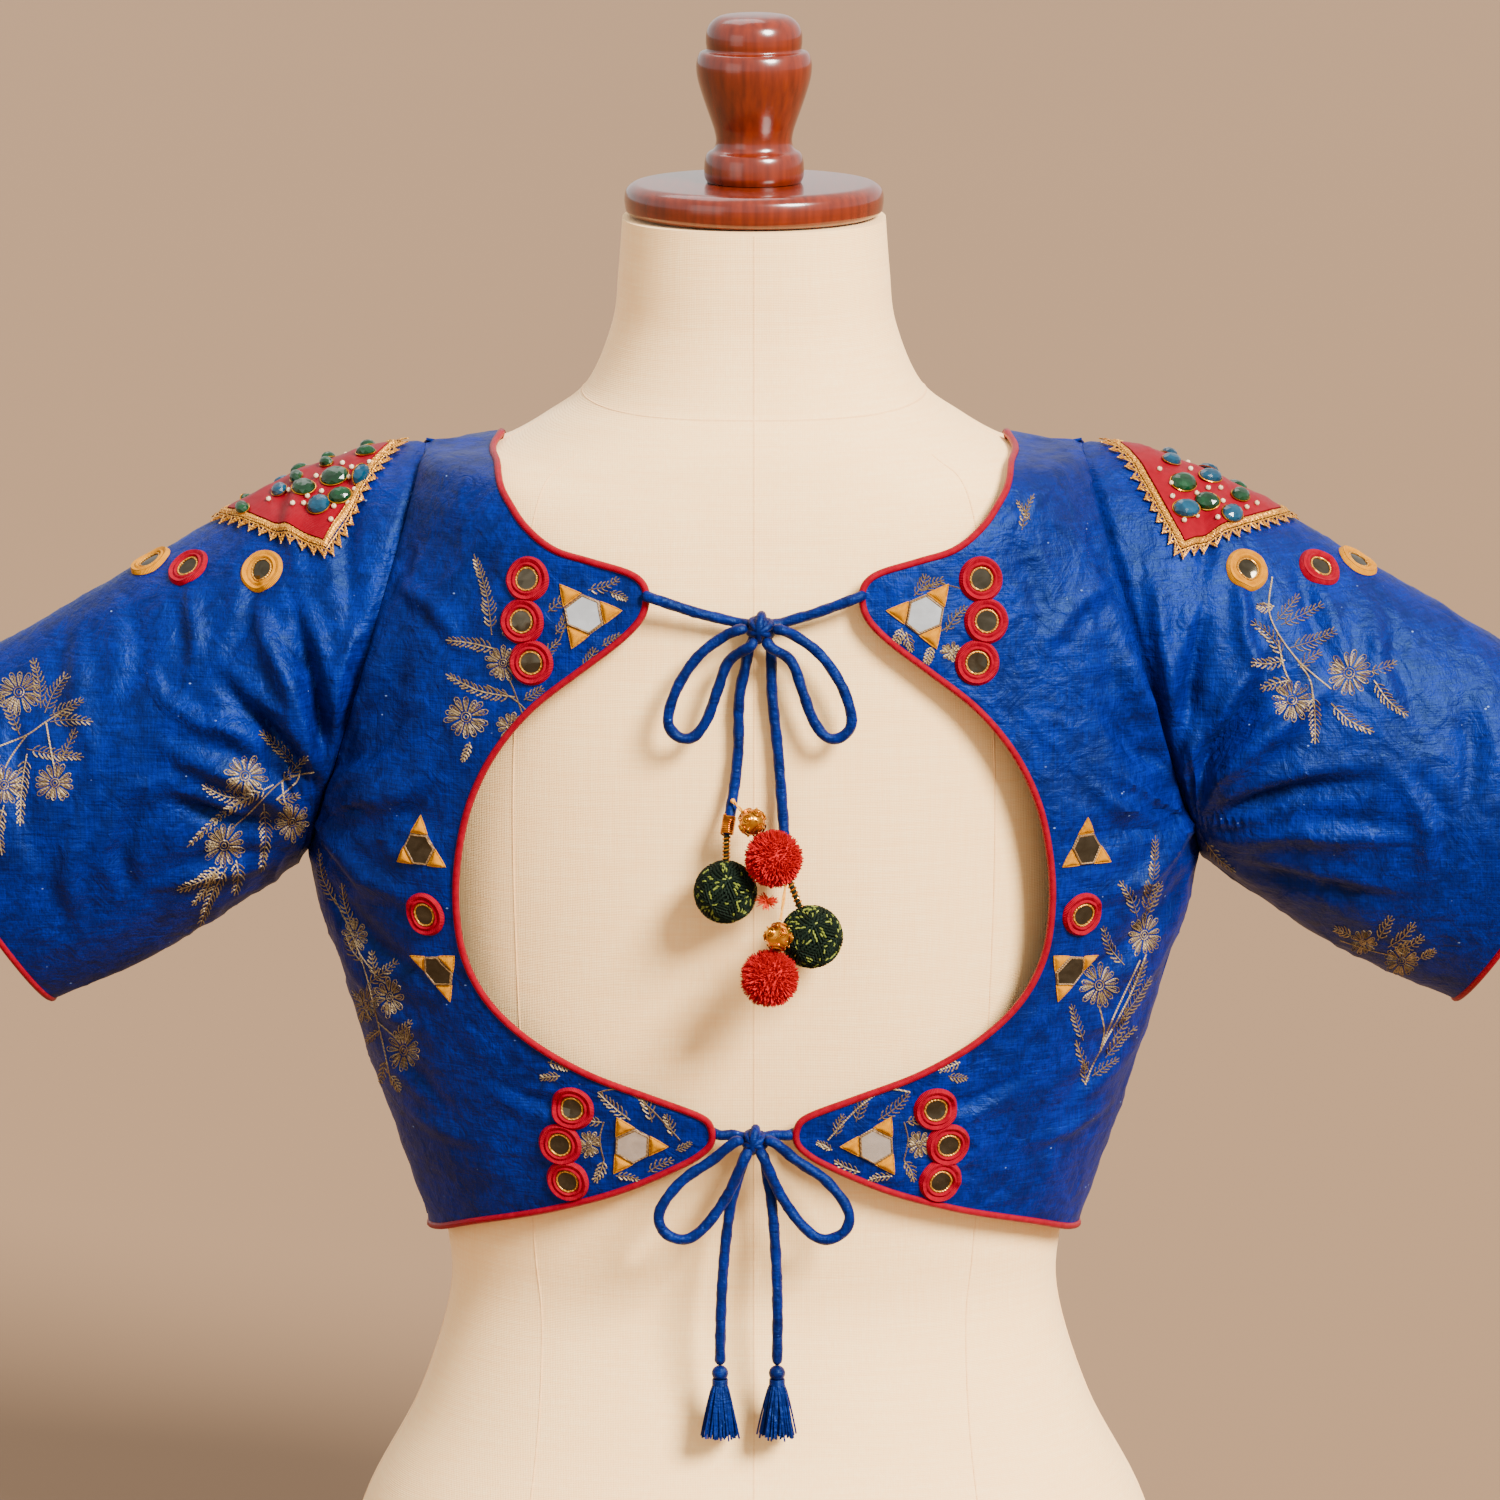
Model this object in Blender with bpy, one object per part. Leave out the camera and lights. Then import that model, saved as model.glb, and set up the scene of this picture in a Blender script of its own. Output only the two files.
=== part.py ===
"""Silk blouse on a limbless dress form, seen from its tied back.

Metres, +Z up. The wearer's back faces -Y and the origin is the middle of the form's flat base.
"""

import math
from typing import NamedTuple

import bmesh
import bpy
from mathutils import Vector
from mathutils.bvhtree import BVHTree

# Driving sizes
CLOTH = 0.0012             # wall of the silk panels
SEAM = 0.0003              # gap between two pieces that meet
PIPING_RADIUS = 0.0016
PIPING_PROUD = 0.0006      # how far its middle lies outside the panel's middle
CORD_RADIUS = 0.0024
SPAN_SAG = 0.02            # share of a span's length that it hangs down
SQUARENESS = 2.3           # 2 is an ellipse, more is squarer
SLEEVE_SQUARENESS = 1.85
HEM_HEIGHT = 0.2355        # at the side seams
SHOULDER = (0.1465, 0.5905)     # top of the armhole, x and z
UNDERARM = (0.1990, 0.4096)     # foot of the armhole, x and z
ARMHOLE_BACK = 0.062
ARMHOLE_FRONT = 0.056
ARMHOLE_CLEAR = 0.003      # least depth of a panel behind the armhole's plane, each column
NECK_DISC_RADIUS = 0.0576
NECK_DISC_THICKNESS = 0.0150
NECK_TOP = 0.6915
RING_RADIUS = 0.0100
MIRROR_RADIUS = 0.0047
RING_HEIGHT = 0.0020
TRIM_LIFT = 0.0009         # trims over a panel, more than the seam because panels are faceted
POMPOM_RADIUS = 0.0126
BALL_RADIUS = 0.0140
BEAD_RADIUS = 0.0066

# How finely each piece is divided
PANEL_COLUMNS = 7
FRONT_COLUMNS = 18
FRONT_ROWS = 15
SLEEVE_AROUND = 24
SLEEVE_ALONG = 11
FORM_AROUND = 22
RING_SIDES = 10


class Finish(NamedTuple):
    """Colour, roughness and metallic value of one material."""
    colour: tuple
    roughness: float
    metallic: float = 0.0


SILK = Finish((0.010, 0.070, 0.420), 0.45)
RED_TRIM = Finish((0.700, 0.015, 0.030), 0.6)
YELLOW_THREAD = Finish((0.850, 0.380, 0.010), 0.5)
GOLD = Finish((0.750, 0.450, 0.110), 0.3, 0.9)
GREEN_YARN = Finish((0.010, 0.060, 0.030), 0.8)
FORM_CLOTH = Finish((0.850, 0.730, 0.560), 0.9)
WOOD = Finish((0.300, 0.070, 0.015), 0.2)


class Ring(NamedTuple):
    """One level of the body: form and cloth have their own half widths and depths there."""
    side_z: float
    middle_z: float
    form_half: float
    form_back: float
    form_front: float
    cloth_half: float
    cloth_back: float
    cloth_front: float
    cloth_lift: float


BODY = [
    Ring(0.000, 0.000, .1820, .114, .100, .188, .120, .106, 0),
    Ring(0.050, 0.050, .1890, .121, .104, .195, .127, .110, 0),
    Ring(0.100, 0.100, .1790, .114, .104, .185, .120, .110, 0),
    Ring(0.150, 0.150, .1535, .094, .098, .159, .100, .104, 0),
    Ring(0.200, 0.200, .1380, .080, .088, .144, .087, .094, 0),
    Ring(0.236, 0.236, .1400, .082, .089, .1475, .091, .097, 0),
    Ring(0.290, 0.290, .1465, .091, .096, .165, .100, .105, 0),
    Ring(0.345, 0.345, .1530, .100, .110, .183, .107, .122, 0),
    Ring(0.395, 0.395, .1570, .105, .126, .1965, .112, .137, 0),
    Ring(0.440, 0.440, .1590, .107, .124, .201, .114, .134, 0),
    Ring(0.482, 0.474, .1600, .107, .112, .197, .114, .121, 0),
    Ring(0.520, 0.503, .1610, .105, .100, .190, .112, .109, .001),
    Ring(0.552, 0.528, .1600, .103, .094, .179, .110, .103, .0025),
    Ring(0.574, 0.550, .1545, .099, .087, .165, .107, .098, .0035),
    Ring(0.5845, 0.568, .1430, .095, .083, .151, .103, .093, .0022),
    Ring(0.5875, 0.583, .1285, .090, .079, .135, .098, .087, .0011),
    Ring(0.5905, 0.595, .1140, .085, .076, .1185, .091, .082, .0004),
    Ring(0.6010, 0.606, .0950, .078, .071, .099, .083, .076, .0007),
    Ring(0.6165, 0.617, .0750, .071, .066, .079, .075, .070, .0025),
    Ring(0.644, 0.642, .0632, .0627, .0597, .067, .067, .064, 0),
    Ring(0.668, 0.668, .0603, .0600, .0570, .064, .064, .061, 0),
    Ring(NECK_TOP, NECK_TOP, .0585, .0582, .0560, .062, .062, .060, 0),
]


class BackRow(NamedTuple):
    """A line across a back panel, from its free edge to its armhole or side seam.

    The free edge is given by x and z. Armhole points are degrees from the shoulder round to
    the underarm, and side seam points are heights.
    """
    edge_x: float
    edge_z: float
    armhole: float = 180.0
    side_z: float = UNDERARM[1]


BACK = [
    BackRow(.1145, .5945, 0),
    BackRow(.1138, .5880, 14),
    BackRow(.1085, .5775, 27),
    BackRow(.1000, .5670, 38),
    BackRow(.0880, .5575, 48),
    BackRow(.0720, .5525, 57),
    BackRow(.0565, .5485, 65),
    BackRow(.0495, .5445, 72),
    BackRow(.0475, .5385, 79),
    BackRow(.0500, .5295, 87),
    BackRow(.0600, .5190, 95),
    BackRow(.0780, .5050, 104),
    BackRow(.0980, .4885, 114),
    BackRow(.1130, .4700, 125),
    BackRow(.1240, .4480, 138),
    BackRow(.1300, .4230, 155),
    BackRow(.1315, .3980, 180),
    BackRow(.1280, .3740, 180, .3850),
    BackRow(.1180, .3545, 180, .3600),
    BackRow(.1005, .3380, 180, .3350),
    BackRow(.0750, .3235, 180, .3120),
    BackRow(.0450, .3125, 180, .2910),
    BackRow(.0240, .3045, 180, .2720),
    BackRow(.0195, .2990, 180, .2560),
    BackRow(.0195, .2935, 180, .2440),
    BackRow(.0220, .2900, 180, HEM_HEIGHT),
]
BACK_HEM = [(.0220, .2900), (.0310, .2838), (.0585, .2704), (.0870, .2602), (.1250, .2479), (.1475, HEM_HEIGHT)]

FRONT_NECK_DEPTH = 0.5080       # height of the front neckline's lowest point
FRONT_HEM_DIP = 0.0040
BUST_DART = (0.072, 0.400)      # where the darts give the front its fullness
BUST_FULLNESS = 0.010


class SleeveStation(NamedTuple):
    """A ring round the sleeve: its top and underside in x and z, and its half depths."""
    top_x: float
    top_z: float
    under_x: float
    under_z: float
    back: float
    front: float


SLEEVE = [
    SleeveStation(SHOULDER[0], SHOULDER[1], UNDERARM[0], UNDERARM[1], ARMHOLE_BACK, ARMHOLE_FRONT),
    SleeveStation(.1740, .5840, .2050, .4015, .0630, .058),
    SleeveStation(.2080, .5710, .2160, .3925, .0620, .058),
    SleeveStation(.2470, .5505, .2330, .3815, .0590, .056),
    SleeveStation(.2920, .5245, .2580, .3650, .0540, .051),
    SleeveStation(.3410, .4955, .2850, .3505, .0480, .046),
    SleeveStation(.3950, .4650, .3165, .3370, .0420, .041),
]


class Fold(NamedTuple):
    """A soft crease: a line in x and z, its half width and its depth, positive outwards."""
    start: tuple
    end: tuple
    width: float
    depth: float


SLEEVE_FOLDS = [
    Fold((.200, .430), (.262, .470), .012, -.0035),
    Fold((.203, .418), (.280, .430), .010, .0030),
    Fold((.195, .450), (.235, .510), .012, .0030),
    Fold((.205, .405), (.290, .385), .010, -.0030),
    Fold((.180, .520), (.230, .480), .014, -.0020),
    Fold((.300, .500), (.330, .430), .014, -.0020),
]
BACK_FOLDS = [
    Fold((.196, .415), (.150, .395), .012, .0020),
    Fold((.192, .385), (.150, .350), .014, .0015),
    Fold((.176, .480), (.140, .440), .013, .0020),
]
FRONT_FOLDS = [
    Fold((.196, .415), (.135, .405), .012, .0020),
    Fold((.185, .370), (.120, .385), .013, .0015),
    Fold((.172, .500), (.130, .450), .013, .0020),
]

PATCH_INNER = (0.1625, 0.5873)  # corner of the red square at the shoulder, x and z
PATCH_OUTER = (0.2340, 0.5570)  # its corner towards the elbow
PATCH_AXIS_DEPTH = 0.0750       # how far below the sleeve's top its centre of turning lies
PATCH_HALF_TURN = 40.0          # degrees round the sleeve, from its centre to its tips
PATCH_TURN_POWER = 0.80         # below 1 straightens its edges on the sleeve's flanks
PATCH_CELLS = 6
PATCH_LIFT = 0.0014
LACE_START = 0.012              # shares of the square's side, from its edge to the lace's edges
LACE_SHARE = 0.105
LACE_THICKNESS = 0.0012

TRIM_ROWS = {
    "rings_upper": [(.0988, .5446), (.1012, .5265), (.0972, .5086)],
    "rings_lower": [(.0800, .3072), (.0858, .2900), (.0825, .2728)],
}
SIDE_RING = (.1450, .3925)
SLEEVE_RINGS = [("a", .375, 45.0), ("b", .520, 28.0), ("c", .585, 9.0)]
STARS = {
    "star_upper": [(.0845, .5431), (.0574, .5327), (.0793, .5156)],
    "star_side_a": [(.1465, .4370), (.1572, .4155), (.1355, .4155)],
    "star_side_b": [(.1520, .3720), (.1320, .3745), (.1342, .3530)],
    "star_lower": [(.0605, .3042), (.0380, .2912), (.0620, .2775)],
}


class Tie(NamedTuple):
    """A cord tied in a bow: where its knot and its two free ends lie."""
    name: str
    knot: tuple
    knot_size: tuple
    span_end: tuple
    loop: list
    tail_left: list
    tail_right: list


UPPER_TIE = Tie(
    "upper",
    knot=(.0025, -.1138, .5263),
    knot_size=(.0063, .0060, .0072),
    span_end=(.0435, -.1115, .5385),
    loop=[(-.020, -.1165, .5095), (-.033, -.1175, .4945), (-.0405, -.1180, .4860),
          (-.0395, -.1180, .4775), (-.0320, -.1178, .4745), (-.0225, -.1175, .4800),
          (-.0140, -.1170, .4950)],
    tail_left=[(-.0065, -.1112, .4940), (-.0070, -.1118, .4700), (-.0095, -.1150, .4500), (-.0120, -.1215, .4360)],
    tail_right=[(.0080, -.1112, .4940), (.0105, -.1118, .4700), (.0128, -.1140, .4400), (.0148, -.1175, .4165)],
)
LOWER_TIE = Tie(
    "lower",
    knot=(.0000, -.1035, .2950),
    knot_size=(.0055, .0058, .0068),
    span_end=(.0157, -.1005, .2965),
    loop=[(-.0190, -.1060, .2860), (-.0320, -.1070, .2770), (-.0415, -.1075, .2640),
          (-.0400, -.1075, .2545), (-.0310, -.1070, .2505), (-.0220, -.1065, .2560),
          (-.0120, -.1060, .2700)],
    tail_left=[(-.0105, -.1018, .2640), (-.0133, -.1015, .2400), (-.0146, -.1025, .2180), (-.0151, -.1035, .1925)],
    tail_right=[(.0080, -.1018, .2640), (.0097, -.1015, .2400), (.0104, -.1025, .2180), (.0102, -.1035, .1925)],
)
# Where each bead's thread leaves its cord, the bead's middle, and which way its pompom lies
BEADS = [((-.0093, -.1186, .4505), (-.0008, -.1262, .4425), (.0092, -.1325, .4262)),
         ((.0146, -.1206, .4200), (.0105, -.1375, .3940), (.0062, -.1385, .3735))]
# Where each wound ball hangs from, and its middle
BALLS = [((-.0120, -.1215, .4360), (-.0125, -.1235, .4110)),
         ((.0148, -.1175, .4165), (.0250, -.1235, .3910))]
TASSEL_LENGTH = 0.0340
TASSEL_STRANDS = 16
TASSEL_SPREAD = 0.0088


def material(name: str, finish: Finish) -> bpy.types.Material:
    """Makes a Principled material of one finish."""
    made = bpy.data.materials.new(name)
    made.use_nodes = True
    shader = made.node_tree.nodes["Principled BSDF"]
    shader.inputs["Base Color"].default_value = (*finish.colour, 1)
    shader.inputs["Roughness"].default_value = finish.roughness
    shader.inputs["Metallic"].default_value = finish.metallic
    return made


def add_object(name: str, data, finish: Finish, helper: bool = False) -> bpy.types.Object:
    """Links a mesh or curve to the scene as one named piece."""
    data.materials.append(material(name, finish))
    piece = bpy.data.objects.new(name, data)
    bpy.context.scene.collection.objects.link(piece)
    if helper:
        piece.hide_render = True
        piece.display_type = "WIRE"
    return piece


def add_mesh(name: str, points: list, faces: list, finish: Finish, helper: bool = False) -> bpy.types.Object:
    """Makes a closed piece from points and faces, turned outwards and shaded smooth."""
    mesh = bpy.data.meshes.new(name)
    mesh.from_pydata([tuple(p) for p in points], [], faces)
    shape = bmesh.new()
    shape.from_mesh(mesh)
    bmesh.ops.recalc_face_normals(shape, faces=shape.faces)
    if shape.calc_volume(signed=True) < 0:
        bmesh.ops.reverse_faces(shape, faces=shape.faces)
    bmesh.ops.triangulate(shape, faces=shape.faces)
    shape.to_mesh(mesh)
    shape.free()
    mesh.shade_smooth()
    mesh.set_sharp_from_angle(angle=math.radians(45))
    return add_object(name, mesh, finish, helper)


def smooth_value(before: float, start: float, end: float, after: float, share: float) -> float:
    """Value of a Catmull-Rom curve between start and end."""
    return start + 0.5 * share * (
        (end - before) + share * (
            (2 * before - 5 * start + 4 * end - after)
            + share * (3 * (start - end) + after - before)))


def read_table(rows: list, place: float) -> list:
    """Reads a table of sections at a place between its rows, smoothly."""
    last = len(rows) - 1
    place = max(0.0, min(last - 1e-6, place))
    index = int(place)
    near = [rows[max(0, min(last, index + k))] for k in (-1, 0, 1, 2)]
    return [smooth_value(*values, place - index) for values in zip(*near)]


def smooth_route(route: list, count: int) -> list:
    """Gives evenly spaced points on a smooth curve through a route."""
    dense = [Vector(read_table(route, k * (len(route) - 1) / 400)) for k in range(401)]
    reach = [0.0]
    for before, after in zip(dense, dense[1:]):
        reach.append(reach[-1] + (after - before).length)
    points = []
    index = 0
    for step in range(count):
        wanted = reach[-1] * step / (count - 1)
        while index < 399 and reach[index + 1] < wanted:
            index += 1
        share = (wanted - reach[index]) / max(1e-9, reach[index + 1] - reach[index])
        points.append(dense[index].lerp(dense[index + 1], min(1.0, share)))
    return points


def power(value: float, exponent: float) -> float:
    """Raises the size of a value and keeps its sign."""
    return math.copysign(abs(value) ** exponent, value)


def body_point(level: float, angle: float, cloth: bool) -> Vector:
    """A point of the form or the cloth; angle 0 is the right side and 90 degrees the front."""
    ring = Ring(*read_table(BODY, level))
    half = ring.cloth_half if cloth else ring.form_half
    back = ring.cloth_back if cloth else ring.form_back
    front = ring.cloth_front if cloth else ring.form_front
    x = half * power(math.cos(angle), 2 / SQUARENESS)
    y = (front if math.sin(angle) > 0 else back) * power(math.sin(angle), 2 / SQUARENESS)
    side_share = (x / half) ** 2
    z = ring.side_z * side_share + ring.middle_z * (1 - side_share) + (ring.cloth_lift if cloth else 0)
    return Vector((x, y, z))


def cloth_place(x: float, z: float) -> tuple:
    """Level and angle from the side of the cloth's point at x and z."""
    low, high = 3.0, float(len(BODY) - 3)
    for _ in range(40):
        middle = (low + high) / 2
        ring = Ring(*read_table(BODY, middle))
        side_share = min(1.0, (x / ring.cloth_half) ** 2)
        here = ring.side_z * side_share + ring.middle_z * (1 - side_share) + ring.cloth_lift
        if here < z:
            low = middle
        else:
            high = middle
    half = Ring(*read_table(BODY, low)).cloth_half
    return low, math.acos(min(1.0, abs(x) / half) ** (SQUARENESS / 2))


def armhole_point(degrees: float, front: bool) -> Vector:
    """A point of the armhole seam on the right side, counted from the shoulder."""
    return sleeve_point(0.0, degrees if front else -degrees)


def sleeve_point(place: float, degrees: float) -> Vector:
    """A point of the right sleeve: place runs from armhole 0 to cuff 1, and plus is the front."""
    ring = SleeveStation(*read_table(SLEEVE, place * (len(SLEEVE) - 1)))
    turn = math.radians(degrees)
    top = Vector((ring.top_x, 0, ring.top_z))
    under = Vector((ring.under_x, 0, ring.under_z))
    depth = (ring.front if turn > 0 else ring.back) * power(math.sin(turn), 2 / SLEEVE_SQUARENESS)
    return (top + under) / 2 + (top - under) / 2 * power(math.cos(turn), 2 / SLEEVE_SQUARENESS) + Vector((0, depth, 0))


def fold_height(point: Vector, folds: list) -> float:
    """Height that the folds give a point, from its distance to each fold's line."""
    height = 0.0
    for fold in folds:
        start, end = Vector(fold.start), Vector(fold.end)
        here = Vector((abs(point.x), point.z))
        along = end - start
        share = (here - start).dot(along) / along.length_squared
        inside = max(0.0, min(1.0, share))
        gap = (here - start - along * inside).length
        height += fold.depth * math.exp(-(gap / fold.width) ** 2)
    return height


def grid_normals(grid: list, wrapped: bool) -> list:
    """Outward directions of a grid of points, from its neighbouring points."""
    rows, columns = len(grid), len(grid[0])
    normals = []
    for i in range(rows):
        line = []
        for j in range(columns):
            if wrapped:
                across = grid[i][(j + 1) % columns] - grid[i][(j - 1) % columns]
            else:
                across = grid[i][min(columns - 1, j + 1)] - grid[i][max(0, j - 1)]
            down = grid[min(rows - 1, i + 1)][j] - grid[max(0, i - 1)][j]
            line.append(across.cross(down).normalized())
        normals.append(line)
    return normals


def face_outwards(normals: list, grid: list, inside: Vector) -> None:
    """Turns all directions of a grid away from a point inside the garment."""
    i, j = len(grid) // 2, len(grid[0]) // 2
    if normals[i][j].dot(grid[i][j] - inside) < 0:
        for line in normals:
            for direction in line:
                direction.negate()


def wall_faces(rows: int, columns: int, wrapped: bool) -> list:
    """Faces of a wall whose inner points come first and outer points second."""
    size = rows * columns
    spans = columns if wrapped else columns - 1
    faces = []
    for i in range(rows - 1):
        for j in range(spans):
            k = (j + 1) % columns
            a, b, c, d = i * columns + j, i * columns + k, (i + 1) * columns + k, (i + 1) * columns + j
            faces.append((a, b, c, d))
            faces.append((d + size, c + size, b + size, a + size))
    for j in range(spans):
        k = (j + 1) % columns
        last = (rows - 1) * columns
        faces.append((j, j + size, k + size, k))
        faces.append((last + k, last + k + size, last + j + size, last + j))
    if not wrapped:
        for i in range(rows - 1):
            left, below = i * columns, (i + 1) * columns
            faces.append((left, below, below + size, left + size))
            right, under = left + columns - 1, below + columns - 1
            faces.append((right, right + size, under + size, under))
    return faces


def seam_direction(own: Vector, miter: Vector) -> tuple:
    """Direction and stretch of a wall's edge that has to lie in its seam's plane."""
    return miter, 1 / max(0.6, own.dot(miter))


def armhole_miter(degrees: float, front: bool) -> Vector:
    """Outward direction of the armhole's own plane at one of its points."""
    middle = (Vector((SHOULDER[0], 0, SHOULDER[1])) + Vector((UNDERARM[0], 0, UNDERARM[1]))) / 2
    ahead = armhole_point(degrees + 2, front) if degrees < 178 else armhole_point(degrees, front)
    behind = armhole_point(degrees - 2, front) if degrees > 2 else armhole_point(degrees, front)
    along = (ahead - behind).normalized()
    radial = armhole_point(degrees, front) - middle
    if degrees <= 2 or degrees >= 178:
        return radial.normalized()
    return (radial - along * radial.dot(along)).normalized()


SLEEVE_AXIS = Vector((SHOULDER[1] - UNDERARM[1], 0, UNDERARM[0] - SHOULDER[0])).normalized()


def mirrored(points: list) -> list:
    """The same points on the other side of the middle."""
    return [Vector((-p.x, p.y, p.z)) for p in points]


class Panel:
    """Grid of a panel's inner points with the direction and thickness of its wall at each."""

    def __init__(self, grid: list, directions: list, stretch: list):
        self.grid = grid
        self.directions = directions
        self.stretch = stretch

    def outer(self) -> list:
        """Points of the outer side."""
        return [[p + d * (CLOTH * s) for p, d, s in zip(*lines)]
                for lines in zip(self.grid, self.directions, self.stretch)]

    def middle(self) -> list:
        """Points half way through the wall."""
        return [[p + d * (CLOTH * s / 2) for p, d, s in zip(*lines)]
                for lines in zip(self.grid, self.directions, self.stretch)]

    def build(self, name: str, flip: bool, finish: Finish, wrapped: bool = False) -> bpy.types.Object:
        """Makes the wall, on the left side of the garment when it is flipped."""
        points = [p for line in self.grid for p in line] + [p for line in self.outer() for p in line]
        if flip:
            points = mirrored(points)
        return add_mesh(name, points, wall_faces(len(self.grid), len(self.grid[0]), wrapped), finish)


def back_panel() -> Panel:
    """The right back panel, from its free edge to its armhole and side seam."""
    hem = smooth_route([(x, 0, z) for x, z in BACK_HEM], PANEL_COLUMNS + 1)
    hem_places = [cloth_place(p.x, p.z) for p in hem]
    hem_places[-1] = (hem_places[-1][0], 0.0)
    grid, on_armhole = [], []
    last = len(BACK) - 1
    for index, row in enumerate(BACK):
        level, angle = cloth_place(row.edge_x, row.edge_z)
        if index == 0:
            angle = 0.0
        if row.side_z == UNDERARM[1]:
            target = armhole_point(row.armhole, False)
            end_level, end_angle = cloth_place(target.x, target.z)
            if row.armhole in (0, 180):
                end_angle = 0.0
        else:
            target = None
            end_level, end_angle = cloth_place(0.12, row.side_z)[0], 0.0
        on_armhole.append(target is not None)
        line = []
        hem_pull = max(0.0, (index - last + 7) / 7) ** 2
        for j in range(PANEL_COLUMNS + 1):
            share = j / PANEL_COLUMNS
            place_level = level + (end_level - level) * share
            place_angle = angle + (end_angle - angle) * share
            hem_line = hem_places[0][0] + (hem_places[-1][0] - hem_places[0][0]) * share
            hem_turn = hem_places[0][1] * (1 - share)
            place_level += (hem_places[j][0] - hem_line) * hem_pull
            place_angle += (hem_places[j][1] - hem_turn) * hem_pull
            point = body_point(place_level, -place_angle, True)
            if target is not None:
                reached = body_point(end_level, -end_angle, True)
                point += (target - reached) * share ** 3
            line.append(point)
        grid.append(line)
    return finish_panel(grid, on_armhole, [row.armhole for row in BACK], False, BACK_FOLDS)


def finish_panel(grid: list, on_armhole: list, degrees: list, front: bool, folds: list) -> Panel:
    """Adds folds, seam gaps and the wall's directions to the right half of a body panel."""
    normals = grid_normals(grid, False)
    face_outwards(normals, grid, Vector((0, 0, 0.42)))
    stretch = [[1.0] * len(grid[0]) for _ in grid]
    away = SEAM / 2 if front else -SEAM / 2
    foot = Vector((UNDERARM[0], 0, UNDERARM[1]))
    last_column = len(grid[0]) - 1
    for i, line in enumerate(grid):
        for j, point in enumerate(line):
            if j < last_column and i > 0:
                line[j] = point + normals[i][j] * max(-0.001, fold_height(point, folds))
            if j < last_column and on_armhole[i]:
                over = (line[j] - foot).dot(SLEEVE_AXIS) + ARMHOLE_CLEAR * (last_column - j)
                line[j] = line[j] - SLEEVE_AXIS * max(0.0, over)
        end = last_column
        if on_armhole[i]:
            miter = armhole_miter(degrees[i], front)
            normals[i][end], stretch[i][end] = seam_direction(normals[i][end], miter)
            line[end] = line[end] - SLEEVE_AXIS * (SEAM / 2)
        if not on_armhole[i] or degrees[i] in (0, 180):
            level_direction = Vector((normals[i][end].x, 0, normals[i][end].z)).normalized()
            normals[i][end] = level_direction
            line[end] = line[end] + Vector((0, away, 0))
    return Panel(grid, normals, stretch)


def shoulder_seam(panel: Panel, front: bool, row: int, columns: range) -> None:
    """Sets a panel's shoulder edge in the seam's plane."""
    away = SEAM / 2 if front else -SEAM / 2
    for j in columns:
        direction = panel.directions[row][j]
        panel.directions[row][j] = Vector((direction.x, 0, direction.z)).normalized()
        panel.grid[row][j].y = away


def front_outer_places() -> list:
    """Rows of the front's right edge: armhole degrees, or a height on the side seam."""
    armhole_rows = 9
    places = []
    for k in range(armhole_rows):
        places.append((180.0 * (k / (armhole_rows - 1)) ** 0.9, None))
    side_rows = FRONT_ROWS + 1 - armhole_rows
    for k in range(1, side_rows + 1):
        places.append((180.0, UNDERARM[1] + (HEM_HEIGHT - UNDERARM[1]) * k / side_rows))
    return places


def neckline_places() -> list:
    """Level and angle of each column of the front's top edge, from the middle to the shoulder."""
    corner_x, corner_z = BACK[0].edge_x, BACK[0].edge_z
    steps = 60
    places, reach = [], [0.0]
    for k in range(steps + 1):
        turn = math.pi / 2 * k / steps
        z = FRONT_NECK_DEPTH + (corner_z - FRONT_NECK_DEPTH) * (1 - math.cos(turn))
        places.append(cloth_place(corner_x * math.sin(turn), z))
    places[-1] = (places[-1][0], 0.0)
    points = [body_point(level, angle, True) for level, angle in places]
    for before, after in zip(points, points[1:]):
        reach.append(reach[-1] + (after - before).length)
    last_column = FRONT_COLUMNS // 2 - 1
    columns = []
    for j in range(last_column + 1):
        wanted = reach[-1] * j / last_column
        nearest = min(range(steps + 1), key=lambda k: abs(reach[k] - wanted))
        columns.append(places[nearest])
    return columns + [(cloth_place(*SHOULDER)[0], 0.0)]


def front_panel() -> Panel:
    """The right half of the front, from its side to the middle; column 0 is the middle."""
    half = FRONT_COLUMNS // 2
    places = front_outer_places()
    grid, on_armhole, degrees = [], [], []
    hem_level = cloth_place(0.12, HEM_HEIGHT)[0]
    neckline = neckline_places()
    for index, (turn, height) in enumerate(places):
        down = index / (len(places) - 1)
        if height is None:
            target = armhole_point(turn, True)
            end_level, end_angle = cloth_place(target.x, target.z)
            if turn in (0, 180):
                end_angle = 0.0
        else:
            target = None
            end_level, end_angle = cloth_place(0.12, height)[0], 0.0
        on_armhole.append(target is not None)
        degrees.append(turn)
        line = []
        for j in range(half + 1):
            to_side = j / half
            top_level, top_angle = neckline[j]
            side_angle = end_angle + (math.pi / 2 - end_angle) * (1 - to_side)
            straight_angle = math.pi / 2 * (1 - to_side)
            rise = top_level - cloth_place(*SHOULDER)[0]
            level = end_level + rise * (1 - down) ** (5 if rise > 0 else 2.5)
            angle = side_angle + (top_angle - straight_angle) * (1 - down) ** 2.5
            level = max(level, hem_level)
            point = body_point(level, angle, True)
            point.z -= FRONT_HEM_DIP * (1 - to_side ** 2) * down ** 4
            if target is not None:
                point += (target - body_point(end_level, end_angle, True)) * to_side ** 3
            gap = math.hypot(abs(point.x) - BUST_DART[0], point.z - BUST_DART[1])
            point.y += BUST_FULLNESS * math.exp(-(gap / 0.045) ** 2)
            line.append(point)
        grid.append(line)
    return finish_panel(grid, on_armhole, degrees, True, FRONT_FOLDS)


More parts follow.
